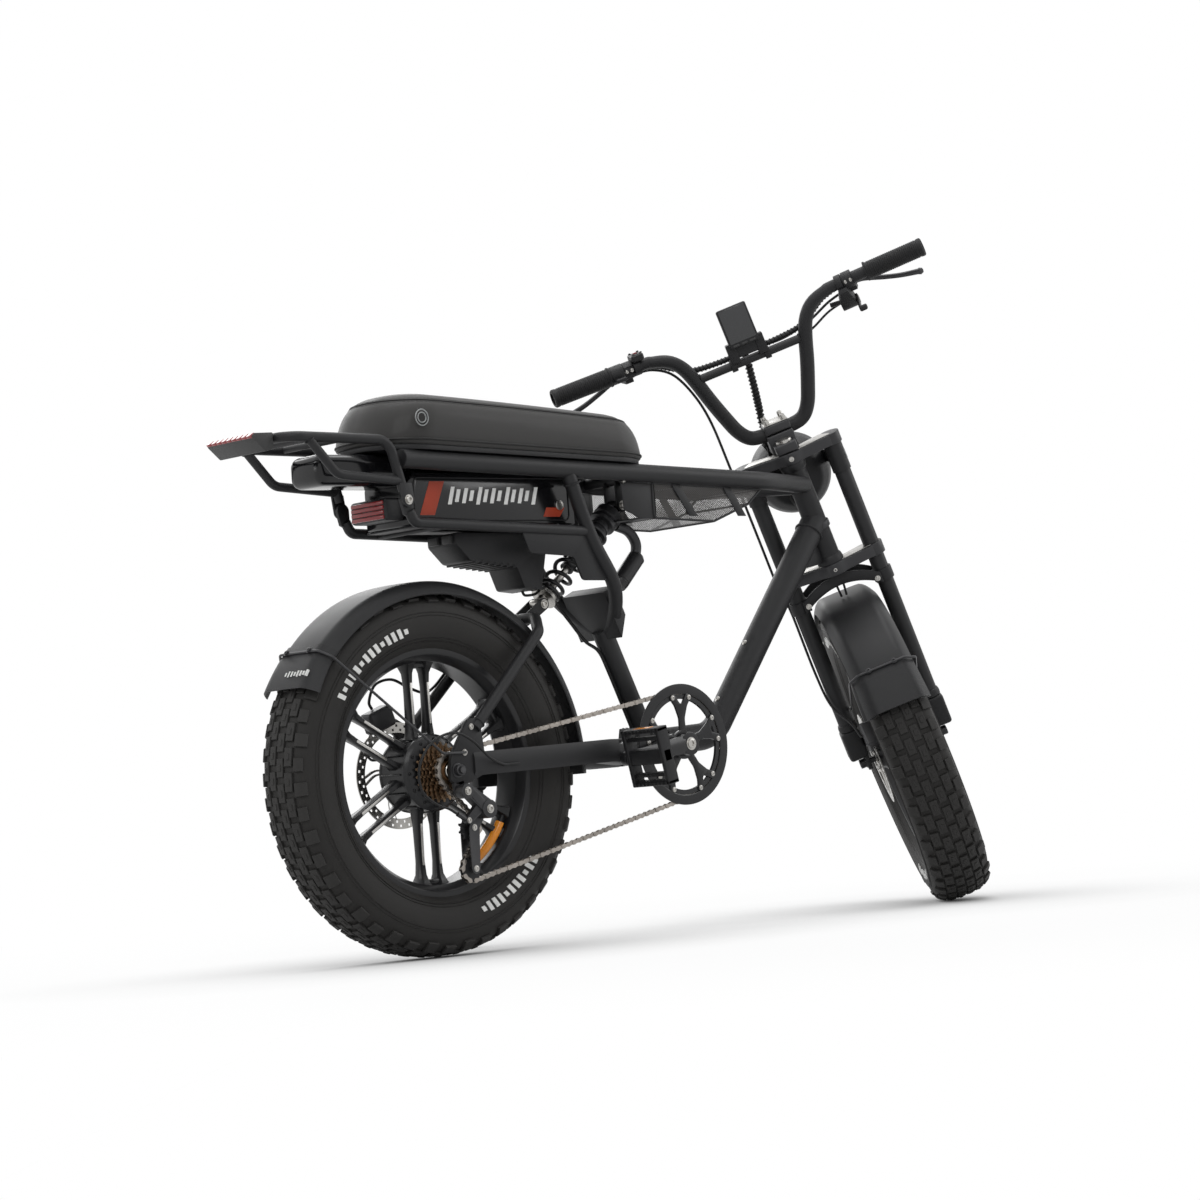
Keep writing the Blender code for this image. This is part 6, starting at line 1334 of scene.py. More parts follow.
def build_crankset():
    face = -0.0815
    guard = [(0.1065, face), (0.1065, face + 0.0027), (0.0905, face + 0.0027), (0.0885, face + 0.0008),
             (0.0905, face)]
    solids = [lathe(softened(guard, 0.0006), 120, CRANK_CENTRE)]
    ring = [(0.088, face + 0.0022), (0.08, face + 0.0022), (0.08, CHAIN_Y + 0.001), (0.088, CHAIN_Y + 0.001)]
    solids.append(lathe(ring, 96, CRANK_CENTRE))
    hub = [(0.0, face - 0.002), (0.024, face - 0.002), (0.026, face), (0.026, face + 0.004),
           (0.018, face + 0.01),
           (0.016, -0.0503), (0.0, -0.0503)]
    solids.append(lathe(hub, 48, CRANK_CENTRE, ring=False))
    arm = [(0.014, 0.0075), (0.046, 0.007), (0.068, 0.015), (0.083, 0.027), (0.0905, 0.015), (0.074, 0.004),
           (0.071, 0.0)]
    arm += [(x, -z) for x, z in reversed(arm[:-1])]
    for angle in evenly(5, 0.25):
        turn = Matrix.Translation(CRANK_CENTRE) @ Matrix.Rotation(-angle, 4, "Y")
        solids.append(moved(prism(softened(arm, 0.0035), face - 0.0002, face + 0.004, bevel=0.001), turn))
    make("chainring_spider", solids, GLOSS, "crankset", ("chainring",), 34)
    teeth = toothed(CHAINRING_RADIUS, 46, 0.002, 0.0835, CRANK_CENTRE + Vector((0, CHAIN_Y, 0)), 0.0038)
    detail("chainring_teeth", [teeth], CHAIN, "crankset", 30)
    bolts = []
    for angle in evenly(5, 0.25):
        for place in round_points(0.0845, face - 0.0003, (angle - 0.235, angle + 0.235)):
            bolts.append(bolt(CRANK_CENTRE + Vector(place), (0, -1, 0), 0.0034, 0.0018))
    for name, side in (("right", -1), ("left", 1)):
        sections = []
        start, end = crank_point(0.0, side, side * 0.0905), crank_point(CRANK_LENGTH, side, side * 0.1105)
        across = Vector((-math.sin(CRANK_ANGLE), 0, math.cos(CRANK_ANGLE)))
        for share, wide, deep in ((0.02, 0.017, 0.008), (0.12, 0.0155, 0.0078), (0.5, 0.013, 0.0068),
                                  (0.85, 0.0118, 0.0062), (1.0, 0.0118, 0.0062)):
            sections.append((start.lerp(end, share), across, (0, 1, 0), wide, deep))
        whole = [loft(sections),
                 rod(crank_point(0.0, side, side * 0.0818), crank_point(0.0, side, side * 0.0998), 0.0205,
                     40, 0.0015),
                 rod(crank_point(CRANK_LENGTH, side, side * 0.104),
                     crank_point(CRANK_LENGTH, side, side * 0.1175), 0.0128, 32, 0.001)]
        if side == 1:
            whole.append(rod(at_y(CRANK_CENTRE, 0.0503), at_y(CRANK_CENTRE, 0.086), 0.0145, 32))
        make("crank_arm_" + name, whole, GLOSS, "crankset", ("crank_" + name,), 34)
        bolts.append(bolt(crank_point(0.0, side, side * 0.0997), (0, side, 0), 0.0085, 0.003))
    detail("crank_bolts", bolts, STEEL, "crankset", 30)
    for name, side in (("right", -1), ("left", 1)):
        build_pedal(name, side, crank_point(CRANK_LENGTH, side, side * 0.166))


def build_pedal(name, side, centre):
    tilt = math.radians(78) if side == -1 else math.radians(12)
    placed = Matrix.Translation(centre) @ Matrix.Rotation(tilt, 4, "Y")
    length, width, thick = 0.05, 0.046, 0.0125
    solids = []
    for x in (-1, 1):
        low, high = sorted((x * (length - 0.008), x * length))
        solids.append(box((low, -width, -thick), (high, width, thick), 0.002, 3))
    for y in (-1, 1):
        low, high = sorted((y * (width - 0.008), y * width))
        solids.append(box((-length, low, -thick), (length, high, thick), 0.002, 3))
    solids.append(box((-0.013, -width, -0.011), (0.013, width, 0.011), 0.004, 3))
    for x in (-0.0315, 0.0315):
        solids.append(box((x - 0.0028, -width + 0.005, -0.0095), (x + 0.0028, width - 0.005, 0.0095), 0.001))
    for x in (-1, 1):
        for k in range(9):
            y = -0.038 + k * 0.0095
            for z in (-1, 1):
                low, high = sorted((z * (thick - 0.001), z * (thick + 0.0014)))
                first, last = sorted((x * (length - 0.007), x * (length - 0.002)))
                solids.append(box((first, y - 0.002, low), (last, y + 0.002, high), 0.0005, 1))
    make("pedal_body_" + name, [moved(solid, placed) for solid in solids], PLASTIC, "pedal_" + name,
         ("pedal_" + name,), 34)
    reflectors = []
    for x in (-1, 1):
        first, last = sorted((x * (length - 0.002), x * (length + 0.0006)))
        reflectors.append(box((first, -0.02, -0.0062), (last, 0.02, 0.0062), 0.0006, 2, placed))
    detail("pedal_reflectors_" + name, reflectors, AMBER, "pedal_" + name, 34)
    spindle = rod(at_y(centre, side * 0.1045), at_y(centre, side * 0.124), 0.006, 24)
    collar = rod(at_y(centre, side * 0.1178), at_y(centre, side * 0.126), 0.0085, 6)
    detail("pedal_spindle_" + name, [spindle, collar], STEEL, "pedal_" + name, 34)


# Fork, in the steering frame
def crown_solid(low, top):
    outline = [(0.04, -0.074), (0.03, -0.064), (0.02, -0.03), (0.02, 0.03), (0.03, 0.064), (0.04, 0.074),
               (0.004, 0.094), (-0.004, 0.078), (-0.018, 0.026), (-0.026, 0.012), (-0.026, -0.012),
               (-0.018, -0.026),
               (-0.004, -0.078), (0.004, -0.094)]
    return prism(softened(outline, 0.006), low + 0.001, top - 0.001, "z", 0.0015)


def build_fork():
    for name, node, (low, top), boss in (("lower", "steerer_crown", LOWER_CROWN, 0.0275),
                                         ("upper", "upper_crown", UPPER_CROWN, 0.0265)):
        solids = [crown_solid(low, top), rod((0, 0, low), (0, 0, top), boss, 48, 0.0015)]
        for side in (1, -1):
            solids.append(rod((FORK_OFFSET, side * LEG_Y, low), (FORK_OFFSET, side * LEG_Y, top), 0.0205, 40,
                              0.0012))
            solids.append(box((0.03, side * LEG_Y - 0.007, low + 0.002),
                              (0.049, side * LEG_Y + 0.007, top - 0.002), 0.002))
        if name == "lower":
            solids.append(rod((0, 0, LOWER_CROWN[0]), (0, 0, UPPER_CROWN[1]), 0.0142, 36))
        make("fork_crown_" + name, solids, ANODISED, "steering", (node,), 34, STEER)
        # Machined faces
        plate = [(0.036, -0.07), (0.018, -0.028), (0.018, 0.028), (0.036, 0.07), (0.006, 0.088),
                 (-0.014, 0.022),
                 (-0.014, -0.022), (0.006, -0.088)]
        faces = [prism(softened(plate, 0.006), top - 0.0006, top + 0.0004, "z", 0.0003)]
        detail("crown_machined_" + name, faces, MACHINED, "steering", 34, STEER)
        bolts = []
        middle = (low + top) / 2
        for side in (1, -1):
            bolts.append(bolt((0.0395, side * (LEG_Y + 0.007), middle), (0, side, 0), 0.0034, 0.003))
        bolts.append(bolt((-0.0262, 0.0, middle), (-1, 0, 0), 0.0036, 0.003))
        detail("crown_bolts_" + name, bolts, STEEL, "steering", 30, STEER)
    for name, side in (("right", -1), ("left", 1)):
        y = side * LEG_Y
        leg = [(0.0, 0.063), (0.0155, 0.063), (0.0155, 0.6195), (0.015, 0.6205), (0.0108, 0.6205),
               (0.0105, 0.6105),
               (0.0, 0.6105)]
        solids = [lathe(leg, 40, (FORK_OFFSET, y, 0), (0, 0, 1), ring=False)]
        shift = -0.002 if side == -1 else 0.0
        solids.append(box((FORK_OFFSET - 0.0195, y - 0.0175 + shift, 0.014),
                          (FORK_OFFSET + 0.0195, y + 0.0195 + shift, 0.073),
                          0.006, 4))
        seal = [(0.0158, 0.072), (0.0188, 0.074), (0.019, 0.08), (0.0175, 0.086), (0.0158, 0.087)]
        solids.append(lathe(seal, 40, (FORK_OFFSET, y, 0), (0, 0, 1)))
        plate = [(FORK_OFFSET - 0.016, 0.045), *circle((FORK_OFFSET, 0.0), 0.0165, 20, math.pi, math.tau),
                 (FORK_OFFSET + 0.016, 0.045)]
        solids.append(prism(plate, side * 0.069, side * 0.077, bevel=0.001))
        make("fork_leg_shape_" + name, solids, PAINT, "steering", ("fork_leg_" + name,), 36,
             STEER)
    solids, bolts = [], []
    for x, rise in ((-0.003, 0.359), (0.044, 0.363)):
        outline_top, outline_low = [], []
        for k in range(25):
            share = -1 + k / 12
            top = 0.341 + (rise - 0.332) * (1 - share * share)
            outline_top.append((share * (LEG_Y - 0.006), top))
            outline_low.append((share * (LEG_Y - 0.006), top - 0.021))
        solids.append(prism(outline_top + outline_low[::-1], x - 0.002, x + 0.002, "x", 0.0005))
    for side in (1, -1):
        collar = [(0.0158, 0.32), (0.0192, 0.32), (0.0192, 0.343), (0.0158, 0.343)]
        solids.append(lathe(softened(collar, 0.001), 40, (FORK_OFFSET, side * LEG_Y, 0), (0, 0, 1)))
        low, high = sorted((side * 0.066, side * 0.07))
        solids.append(box((-0.004, low, 0.322), (0.045, high, 0.3405), 0.001))
        bolts.append(bolt((0.0462, side * 0.07, 0.334), (1, 0, 0), 0.004, 0.003))
        bolts.append(bolt((-0.0052, side * 0.07, 0.332), (-1, 0, 0), 0.004, 0.003))
    solids += [rod((-0.003, side * 0.007, 0.352), (0.004, side * 0.005, 0.3235), 0.0022, 12)
               for side in (1, -1)]
    make("fork_brace_bands", solids, PAINT, "steering", ("fork_brace",), 36, STEER)
    detail("fork_brace_bolts", bolts, STEEL, "steering", 30, STEER)
    axle = []
    for side in (1, -1):
        head = [(0.0, 0.0), (0.011, 0.0), (0.011, 0.0015), (0.009, 0.002), (0.009, 0.0112), (0.0078, 0.0122),
                (0.0045, 0.0122), (0.004, 0.008), (0.0, 0.008)]
        axle.append(lathe(head, 24, (FORK_OFFSET, side * 0.0773, 0), (0, side, 0), ring=False))
        axle.append(rod((FORK_OFFSET, side * 0.055, 0), (FORK_OFFSET, side * 0.078, 0), 0.0058, 24))
    make("front_axle_ends", axle, ANODISED, "steering", ("front_axle",), 32, STEER)
    # Sleeves with a small plain mark on the outside of each leg
    sleeves, marks = [], []
    turned = 1.1
    for side in (1, -1):
        sleeve = [(0.0156, 0.547), (0.0166, 0.547), (0.0167, 0.5985), (0.0156, 0.5985)]
        sleeves.append(lathe(softened(sleeve, 0.0008), 40, (FORK_OFFSET, side * LEG_Y, 0), (0, 0, 1)))
        mark = [(FORK_OFFSET - 0.0166 * math.cos(turned), side * (LEG_Y + 0.0166 * math.sin(turned)), z)
                for z in (0.566, 0.584)]
        marks.append(tube(mark, 0.0036, 12, squash=0.3))
    detail("fork_sleeves", sleeves, PLASTIC, "steering", 36, STEER)
    detail("fork_marks", marks, SILVER_INK, "steering", 36, STEER)


def build_headlight():
    centre = (0, 0, 0.558)
    bowl = [(0.0, 0.043), (0.03, 0.043), (0.052, 0.052), (0.067, 0.07), (0.074, 0.092), (0.0765, 0.118),
            (0.0765, 0.129), (0.0745, 0.13), (0.07, 0.13), (0.069, 0.124), (0.064, 0.12), (0.0, 0.116)]
    solids = [lathe(softened(bowl, 0.006, ring=False, steps=4), 64, centre, (1, 0, 0), ring=False)]
    for k in range(9):
        angle = math.radians(-40 + k * 10)
        fin = box((0.047, -0.0012, 0.048), (0.083, 0.0012, 0.0655), 0.0005)
        turn = Matrix.Translation(centre) @ Matrix.Rotation(angle, 4, "X")
        solids.append(moved(fin, turn))
    for side in (1, -1):
        y = side * LEG_Y
        clamp = [(0.0157, 0.546), (0.0178, 0.546), (0.0178, 0.5997), (0.0157, 0.5997)]
        solids.append(lathe(clamp, 32, (FORK_OFFSET, y, 0), (0, 0, 1)))
        arm = [(0.03, side * 0.078), (0.034, side * 0.092), (0.086, side * 0.076), (0.086, side * 0.064)]
        solids.append(prism(softened(arm, 0.003), 0.56, 0.585, "z", 0.001))
    make("headlight_housing", solids, PLASTIC, "steering", ("headlight",), 36, STEER)
    lens = [(0.0, 0.127), (0.03, 0.1262), (0.055, 0.1245), (0.0685, 0.1225), (0.069, 0.1205), (0.0, 0.1215)]
    detail("headlight_lens", [lathe(lens, 64, centre, (1, 0, 0), ring=False)], GLASS, "steering", 40, STEER)
    mirror = [(0.0, 0.1172), (0.02, 0.1176), (0.04, 0.1186), (0.062, 0.1204), (0.062, 0.1196), (0.0, 0.1166)]
    detail("headlight_reflector", [lathe(mirror, 64, centre, (1, 0, 0), ring=False)], STEEL, "steering", 40,
           STEER)
    bolts = [bolt((0.074, side * 0.0805, 0.5725), (0.2, side, 0), 0.0048, 0.004) for side in (1, -1)]
    detail("headlight_bolts", bolts, STEEL, "steering", 40, STEER)


# Handlebar and controls, in the steering frame
GRIP_ROOT = Vector((-0.006, 0.2, 0.8795))
GRIP_TIP = Vector((-0.04, 0.3675, 0.889))
GRIP_START = 0.056


def mirrored(place, side):
    return Vector((place[0], place[1] * side, place[2]))


def grip_place(along, side):
    root = mirrored(GRIP_ROOT, side)
    return root + (mirrored(GRIP_TIP, side) - root).normalized() * along


def grip_frame(along, side):
    out = (mirrored(GRIP_TIP, side) - mirrored(GRIP_ROOT, side)).normalized() * side
    ahead = out.cross(Vector((0, 0, 1))).normalized()
    turn = Matrix((ahead, out, ahead.cross(out))).transposed().to_4x4()
    return Matrix.Translation(grip_place(along, side)) @ turn


def build_handlebar():
    half = [(0.03, 0.0, 0.661), (0.03, 0.034, 0.6612), (0.029, 0.055, 0.668), (0.026, 0.071, 0.689),
            (0.02, 0.0835, 0.722), (0.012, 0.0975, 0.765), (0.006, 0.1105, 0.81), (0.002, 0.1235, 0.842),
            (-0.001, 0.143, 0.864), (-0.003, 0.172, 0.8755), GRIP_ROOT]
    length = (GRIP_TIP - GRIP_ROOT).length
    left = smooth([Vector(place) for place in (*half, grip_place(length - 0.0035, 1))], 6)
    path = [mirrored(place, -1) for place in reversed(left)] + left[1:]
    radii = [0.0135 - 0.0024 * min(max((abs(place[1]) - 0.11) / 0.06, 0.0), 1.0) for place in path]
    solids = [tube(path, 0.0135, 28, radii),
              tube([(CROSSBAR_X, y, CROSSBAR_Z) for y in (-0.109, 0.109)], 0.008, 24)]
    for side in (1, -1):
        solids.append(weld((CROSSBAR_X, side * 0.0985, CROSSBAR_Z), (0, 1, 0), 0.0083, 0.0014, 26))
    make("handlebar_tube", solids, PAINT, "steering", ("handlebar",), 40, STEER)
    clamp = [box((0.006, -0.026, 0.6223), (0.054, 0.026, 0.659), 0.003, 3),
             box((0.007, -0.0255, 0.6605), (0.053, 0.0255, 0.679), 0.004, 3),
             box((-0.0215, -0.021, 0.6223), (0.01, 0.021, 0.642), 0.003, 3)]
    make("bar_clamp_block", clamp, ANODISED, "steering", ("bar_clamp",), 36, STEER)
    detail("bar_clamp_plate", [box((0.0085, -0.0235, 0.6786), (0.0515, 0.0235, 0.6812), 0.0008)], MACHINED,
           "steering", 36, STEER)
    bolts = [bolt((0.03 + x, y, 0.6805), (0, 0, 1), 0.0048, 0.01) for x in (-0.018, 0.018)
             for y in (-0.016, 0.016)]
    cap = lathe([(0.0, 0.0), (0.015, 0.0), (0.0155, 0.002), (0.015, 0.006), (0.007, 0.008), (0.0, 0.0055)],
                32,
                (-0.004, 0.0, 0.6415), (0, 0, 1), ring=False)
    detail("bar_clamp_bolts", [*bolts, cap], STEEL, "steering", 30, STEER)
    for name, side in (("right", -1), ("left", 1)):
        run = length - GRIP_START
        profile = [(0.0114, 0.0), (0.0185, 0.0), (0.0188, 0.0025), (0.0165, 0.0045)]
        ribs = 26
        for k in range(ribs):
            h = 0.007 + (run - 0.018) * k / ribs
            profile += [(0.0163, h), (0.017, h + 0.0006), (0.017, h + 0.0024), (0.0163, h + 0.003)]
        profile += [(0.0163, run - 0.009), (0.0172, run - 0.008), (0.0174, run - 0.002), (0.0155, run),
                    (0.0114, run)]
        out = grip_place(1.0, side) - grip_place(0.0, side)
        make("grip_ribbed_" + name, [lathe(profile, 40, grip_place(GRIP_START, side), out)], GRIP,
             "steering",
             ("grip_" + name,), 30, STEER)


def build_levers():
    for name, side in (("right", -1), ("left", 1)):
        placed = grip_frame(0.02, side)
        route = [(0.03, 0.002, -0.014), (0.037, 0.022, -0.016), (0.043, 0.058, -0.03), (0.043, 0.09, -0.04),
                 (0.047, 0.124, -0.048)]
        path = [placed @ Vector((x, side * y, z)) for x, y, z in smooth(route, 6)]
        radii = [0.0046 + 0.001 * (k / (len(path) - 1)) ** 6 for k in range(len(path))]
        blade = tube(path, 0.005, 16, radii)
        hub = rod(placed @ Vector((0.03, side * 0.002, -0.0188)),
                  placed @ Vector((0.03, side * 0.002, -0.0092)), 0.0078, 24)
        knob = lathe([(0.0, -0.0068), (0.0045, -0.0055), (0.0068, 0.0), (0.0045, 0.0055), (0.0, 0.0068)], 20,
                     path[-1],
                     (0, 1, 0), ring=False)
        make("brake_lever_blade_" + name, [blade, hub, knob], ANODISED, "brake_lever_" + name,
             ("brake_lever_" + name,), 40, STEER)
    for node in ("right_controls", "left_controls", "shift_lever", "throttle_lever"):
        refined(node, PLASTIC, 0.0009)
    # The horn button is red with the faint painted glow of the red lens finish
    refined("horn_button", RED, 0.0006)
    marks, bolts = [], []
    for side in (1, -1):
        placed = grip_frame(0.02, side)
        for y in (-0.004, 0.006):
            bolts.append(moved(bolt((-0.015, side * y, 0.0), (-1, 0, 0), 0.0026, 0.0035), placed))
        bolts.append(moved(bolt((0.03, side * 0.002, -0.0036), (0, 0, 1), 0.0036, 0.002), placed))
    detail("control_bolts", bolts, STEEL, "steering", 30, STEER)
    placed = grip_frame(0.0, 1)
    for y, z in ((0.006, 0.0258), (-0.01, 0.0258)):
        marks.append(box((-0.019, y - 0.002, z - 0.001), (-0.0145, y + 0.002, z + 0.0016), 0.0006, 2,
                         placed))
        marks.append(box((0.002, y - 0.002, z - 0.001), (0.007, y + 0.002, z + 0.0016), 0.0006, 2, placed))
    detail("switch_buttons", marks, GREY, "steering", 34, STEER)


def build_display():
    tilt = Matrix.Translation((-0.012, 0.001, 0.88)) @ Matrix.Rotation(math.radians(8), 4, "Y")
    case = box((-0.0065, -0.029, -0.038), (0.0065, 0.029, 0.038), 0.0035, 4, tilt)
    solids = [case]
    for y in (-0.0335, 0.0335):
        ring = [(0.0083, -0.0055), (0.0122, -0.0055), (0.0122, 0.0055), (0.0083, 0.0055)]
        solids.append(lathe(softened(ring, 0.001), 32, (CROSSBAR_X, y, CROSSBAR_Z)))
        # From the clamp ring 12 mm toward the middle
        inner_y = y + (-0.012 if y > 0 else 0.012)
        low_y, high_y = min(y, inner_y) - 0.003, max(y, inner_y) + 0.003
        solids.append(box((-0.012, low_y, 0.814), (0.003, high_y, 0.852), 0.002, 3))
    solids.append(box((-0.0108, -0.023, 0.822), (-0.004, 0.023, 0.853), 0.002, 3))
    make("display_case", solids, PLASTIC, "steering", ("display",), 36, STEER)
    screen = box((-0.007, -0.0255, -0.029), (-0.006, 0.0255, 0.035), 0.0004, 2, tilt)
    detail("display_screen", [screen], SCREEN, "steering", 36, STEER)
    keys = [box((-0.0074, y - 0.006, -0.0355), (-0.006, y + 0.006, -0.032), 0.0005, 2, tilt)
            for y in (-0.016, 0.0, 0.016)]
    detail("display_keys", keys, GREY, "steering", 36, STEER)


def spiral(route, radius, wrap, pitch):
    """Wrap wound round a route."""
    lengths = [0.0]
    for a, b in zip(route, route[1:]):
        lengths.append(lengths[-1] + (b - a).length)
    coil = []
    normal = None
    steps = max(16, int(lengths[-1] / pitch * 14))
    for step in range(steps + 1):
        target = lengths[-1] * step / steps
        index = max(k for k in range(len(route) - 1) if lengths[k] <= target + 1e-9)
        along = (route[index + 1] - route[index]).normalized()
        place = route[index] + along * (target - lengths[index])
        if normal is None:
            normal = along.orthogonal().normalized()
        normal = (normal - along * normal.dot(along)).normalized()
        angle = math.tau * target / pitch
        coil.append(place + radius * (math.cos(angle) * normal + math.sin(angle) * along.cross(normal)))
    return tube(coil, wrap, 7)


def build_cables():
    routes = {
        "cable_bundle": ([(0.0204, 0.003, 0.828), (0.0204, 0.005, 0.81), (0.028, 0.008, 0.78),
                          (0.042, 0.012, 0.74),
                          (0.0612, 0.016, 0.702), (0.0607, 0.02, 0.68), (0.0605, 0.023, 0.65),
                          (0.058, 0.03, 0.634)],
                         0.0055, "steering"),
        "front_brake_cable": ([(-0.05, 0.0716, 0.07), (-0.03, 0.08, 0.098), (0.0, 0.1, 0.135),
                               (0.0193, 0.1044, 0.2), (0.0193, 0.1036, 0.33), (0.0193, 0.1094, 0.372),
                               (0.0193, 0.1094, 0.5), (0.0193, 0.1094, 0.63), (0.03, 0.11, 0.72),
                               (0.03, 0.12, 0.78), (0.027, 0.142, 0.832), (0.02, 0.175, 0.858),
                               (0.012, 0.2115, 0.866)], 0.0025, "steering"),
        "rear_brake_cable": ([(0.1806, 0.0803, 0.522), (0.1456, 0.0824, 0.4888), (0.1106, 0.0845, 0.4558),
                              (0.085, 0.0835, 0.446), (0.05, 0.08, 0.455), (0.01, 0.076, 0.47),
                              (-0.03, 0.071, 0.462), (-0.047, 0.069, 0.4345), (-0.0421, 0.069, 0.4207)],
                             0.0025, "swingarm"),
        "shift_cable": ([(0.13, -0.0988, 0.312), (0.112, -0.0988, 0.312), (0.094, -0.0992, 0.3125),
                         (0.06, -0.106, 0.325), (0.02, -0.112, 0.354), (-0.02, -0.112, 0.369),
                         (-0.066, -0.11, 0.354), (-0.0925, -0.108, 0.318), (-0.09, -0.105, 0.28),
                         (-0.062, -0.102, 0.256), (-0.0307, -0.0997, 0.2448), (-0.0133, -0.0995, 0.2352)],
                        0.0022, "swingarm"),
        "frame_cable": ([(0.2752, 0.03, 0.65), (0.3, 0.033, 0.642), (0.345, 0.032, 0.6),
                         (0.38, 0.026, 0.556),
                         (0.402, 0.014, 0.52), (0.4227, 0.004, 0.5008), (0.4401, 0.0, 0.4615),
                         (0.4851, 0.0, 0.36)],
                        0.003, "frame"),
    }
    for name, (route, radius, body) in routes.items():
        path = smooth(route, 7)
        solids = [tube(path, radius, 12)]
        if name == "cable_bundle":
            solids.append(spiral(path, 0.0062, 0.0017, 0.0085))
        steered = body == "steering"
        housing = make(name + "_housing", solids, CABLE, body, (name,), 60, STEER
                       if steered else None)
    # Wrapped runs along the bar from the controls to the middle, and the lever hoses
    runs = []
    for side in (1, -1):
        left = [(0.016, 0.165, 0.862), (0.018, 0.138, 0.845), (0.018, 0.108, 0.829), (0.017, 0.07, 0.8245),
                (0.0175, 0.03, 0.8235), (0.0204, 0.004, 0.826)]
        path = smooth([grip_place(-0.004, side) + Vector((0.014, -0.004 * side, -0.008)),
                       *[mirrored(place, side) for place in left]], 7)
        runs.append(tube(path, 0.005, 12))
        runs.append(spiral(path, 0.0051, 0.0013, 0.0075))
    detail("bar_cable_wraps", runs, CABLE, "steering", 60, STEER)
    hose = [grip_place(0.026, -1) + Vector((0.03, 0.004, -0.02)), (0.044, -0.178, 0.846),
            (0.038, -0.13, 0.828),
            (0.032, -0.075, 0.818), (0.03, -0.03, 0.82), (0.027, -0.006, 0.822)]
    shift = [grip_place(0.028, -1) + Vector((0.012, 0.0, -0.034)), (0.02, -0.172, 0.834),
             (0.026, -0.125, 0.813),
             (0.028, -0.075, 0.806), (0.028, -0.03, 0.806), (0.027, -0.006, 0.812)]
    detail("control_hoses", [tube(smooth(hose, 8), 0.0025, 10), tube(smooth(shift, 8), 0.0022, 10)], CABLE,
           "steering", 60, STEER)
    # Loops from the bundle behind the crown to the down tube
    for number, (y0, y1, sag,
                 radius) in enumerate(((0.012, 0.016, 0.0, 0.0026), (0.026, 0.004, 0.01, 0.0024),
                                                    (0.018, -0.01, 0.004, 0.0022),
                                       (0.034, -0.018, 0.016, 0.0022))):
        start = STEER @ Vector((0.052 + 0.004 * number, y0, 0.64))
        middle = STEER @ Vector((0.046, y0 + 0.02 - 0.016 * number, 0.575 - sag))
        enter = (DOWN_TUBE_TOP - DOWN_TUBE_RUN * (0.055 + 0.022 * number)
                 + Vector((0.01, y1 + 0.012, -0.012)))
        near = Vector((1.01, y1 + 0.03, 0.742 - sag))
        path = smooth([start, start.lerp(middle, 0.5) + Vector((0.004, 0.006, 0)), middle.lerp(near, 0.5),
                       near, enter], 8)
        cable = make(f"steering_cable_{number + 1}", [tube(path, radius, 10)], CABLE, None, (), 60,
                     blend=("steering", "frame", start, near))
    # Loop that holds the brake housing to the stay
    inner, outer = 0.0112, 0.0124
    tie = lathe([(inner, -0.0014), (outer, -0.0014), (outer, 0.0014), (inner, 0.0014)], 28,
                (0.15, 0.0822, 0.483),
                (0.72, 0, 0.69))
    detail("cable_tie", [tie], PLASTIC, "swingarm", 40)


def build_brakes_and_gears():
    refined("rear_caliper", ANODISED, 0.0012, 3)
    refined("front_caliper", ANODISED, 0.0012, 3)
    refined("derailleur_body", ANODISED, 0.0012, 3)
    refined("derailleur_cage", ANODISED, 0.0004, 1)
    bolts = [bolt(place, (0, -1, 0), radius, 0.003) for place, radius in (
        ((0.004, -0.1108, 0.272), 0.0052), ((0.049, -0.111, 0.24), 0.0055),
                                                                          ((0.008, -0.104, 0.2235), 0.0036))]
    detail("derailleur_bolts", bolts, STEEL, "swingarm", 30)
    plate = [(0.014, 0.278), (0.04, 0.256), (0.044, 0.243), (0.036, 0.238), (0.012, 0.262)]
    detail("derailleur_plate", [prism(softened(plate, 0.003), -0.11, -0.1088)], ANODISED, "swingarm", 34)
    for name, (x, z), body in (("guide", GUIDE_PULLEY, "guide_pulley"),
                               ("tension", TENSION_PULLEY, "tension_pulley")):
        wheel = toothed(PULLEY_RADIUS, 10, 0.0066, 0.0034, (x, CHAIN_Y, z), 0.004)
        make(name + "_pulley_wheel", [wheel], PLASTIC, body, (body,), 30)
        detail(name + "_pulley_bolt", [bolt((x, -0.088, z), (0, -1, 0), 0.004, 0.002)], STEEL,
               "derailleur_cage", 30)


# Floor, light and camera
def seen_ray(tree):
    """Output that is one for what the camera sees directly, in metal or through glass."""
    rays = add_node(tree, "LightPath")
    sight = rays.outputs["Is Camera Ray"]
    for name in ("Is Glossy Ray", "Is Transmission Ray"):
        either = add_node(tree, "Math", operation="MAXIMUM")
        join(tree, sight, either)
        join(tree, rays.outputs[name], either, 1)
        sight = either.outputs[0]
    return sight


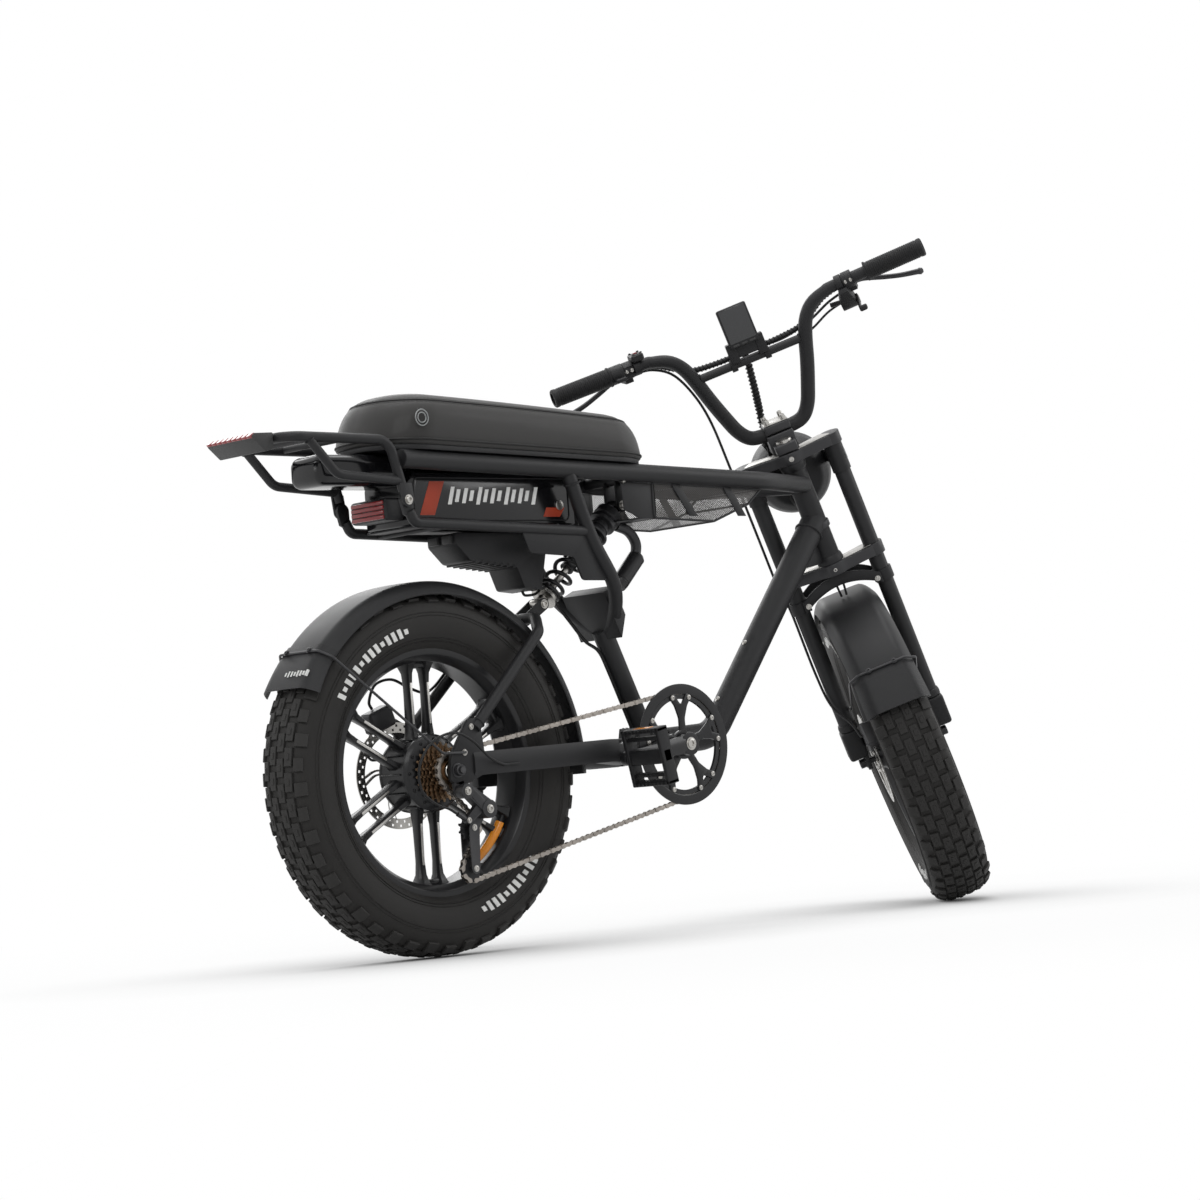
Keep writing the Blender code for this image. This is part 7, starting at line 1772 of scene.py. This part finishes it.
def build_stage():
    floor_look = bpy.data.materials.new("studio_floor")
    floor_look.use_nodes = True
    tree = floor_look.node_tree
    shader = tree.nodes["Principled BSDF"]
    shader.inputs["Base Color"].default_value = (0.9, 0.9, 0.9, 1.0)
    shader.inputs["Roughness"].default_value = 0.9
    shader.inputs["Specular IOR Level"].default_value = 0.1
    # What is seen is mostly plain white, with a painted contact shadow from ambient occlusion darkening it near
    # the tyres, over the floor's own shading
    painted_contact_shadow = add_node(tree, "MapRange", {"To Min": 0.0})
    join(tree, add_node(tree, "AmbientOcclusion", {"Distance": 0.55}).outputs["AO"], painted_contact_shadow, "Value")
    white = add_node(tree, "Emission")
    join(tree, painted_contact_shadow.outputs["Result"], white, "Strength")
    middle = add_node(tree, "VectorMath", {1: (0.6, 0.0, 0.0)}, operation="DISTANCE")
    join(tree, add_node(tree, "TexCoord").outputs["Object"], middle)
    reach = add_node(tree, "MapRange", {"From Min": 0.8, "From Max": 2.4, "To Min": 0.78},
                     interpolation_type="SMOOTHSTEP")
    join(tree, middle.outputs["Value"], reach, "Value")
    share = add_node(tree, "Math", operation="MULTIPLY")
    join(tree, reach.outputs["Result"], share, 1)
    join(tree, seen_ray(tree), share)
    blend = add_node(tree, "MixShader")
    join(tree, share.outputs[0], blend)
    join(tree, shader.outputs[0], blend, 1)
    join(tree, white.outputs[0], blend, 2)
    join(tree, blend.outputs[0], tree.nodes["Material Output"], "Surface")
    mesh = bpy.data.meshes.new("floor")
    size = 40.0
    mesh.from_pydata([(-size, -size, 0), (size, -size, 0), (size, size, 0), (-size, size, 0)], [],
                     [(0, 1, 2, 3)])
    mesh.materials.append(floor_look)
    put("floor", mesh)
    world = bpy.data.worlds.new("studio")
    bpy.context.scene.world = world
    world.use_nodes = True
    tree = world.node_tree
    tree.nodes.clear()
    mix = add_node(tree, "MixShader")
    join(tree, seen_ray(tree), mix)
    # The pale blue light reaches the object, and plain white is what shows
    for socket, colour, strength in ((1, (0.96, 0.98, 1.0, 1), 0.24), (2, (1, 1, 1, 1), 1.0)):
        join(tree, add_node(tree, "Background", {"Color": colour, "Strength": strength}).outputs[0], mix,
             socket)
    join(tree, mix.outputs[0], add_node(tree, "OutputWorld"), "Surface")
    for name, place, aim, power, width, height in (
            ("key", (-2.6, -3.4, 3.6), (0.4, 0.0, 0.6), 70, 2.6, 2.0),
            ("top", (0.6, 0.2, 4.2), (0.5, 0.0, 0.4), 95, 3.6, 2.6),
            ("rear", (-3.6, 1.6, 2.2), (0.3, 0.0, 0.5), 40, 2.0, 2.0),
            ("front", (3.8, -2.2, 2.4), (0.9, 0.0, 0.5), 42, 2.2, 2.0),
            ("far", (1.6, 3.6, 2.8), (0.5, 0.0, 0.6), 50, 3.0, 2.0)):
        light = bpy.data.lights.new(name, "AREA")
        light.shape = "RECTANGLE"
        light.size = width
        light.size_y = height
        light.energy = power
        holder = put(name, light)
        holder.location = place
        holder.rotation_euler = (Vector(aim) - Vector(place)).to_track_quat("-Z", "Y").to_euler()


def build_camera():
    yaw, pitch, roll = math.radians(47.4529), math.radians(-3.7922), math.radians(-4.3577)
    ahead = Vector((math.cos(pitch) * math.cos(yaw), math.cos(pitch) * math.sin(yaw), -math.sin(pitch)))
    right = Vector((math.sin(yaw), -math.cos(yaw), 0.0))
    up = right.cross(ahead)
    across = math.cos(roll) * right + math.sin(roll) * up
    upward = -math.sin(roll) * right + math.cos(roll) * up
    data = bpy.data.cameras.new("camera")
    data.sensor_width = 36.0
    data.lens = 3469.3 / 1200 * 36.0
    data.shift_y = (570.2 - 600.0) / 1200
    data.clip_end = 100.0
    camera = put("camera", data)
    turn = Matrix((across, upward, -ahead)).transposed().to_4x4()
    camera.matrix_world = Matrix.Translation((-3.6886, -4.4952, 0.2391)) @ turn
    bpy.context.scene.camera = camera


build_camera()
build_stage()
build_frame()
build_battery()
build_controller()
build_seat()
build_rack()
build_basket()
build_swingarm()
build_fenders()
build_kickstand()
build_wheels()
build_freewheel()
build_chain()
build_brakes_and_gears()
build_shock()
build_crankset()
build_fork()
build_headlight()
build_handlebar()
build_levers()
build_display()
build_cables()
bpy.context.scene.view_settings.view_transform = "Standard"
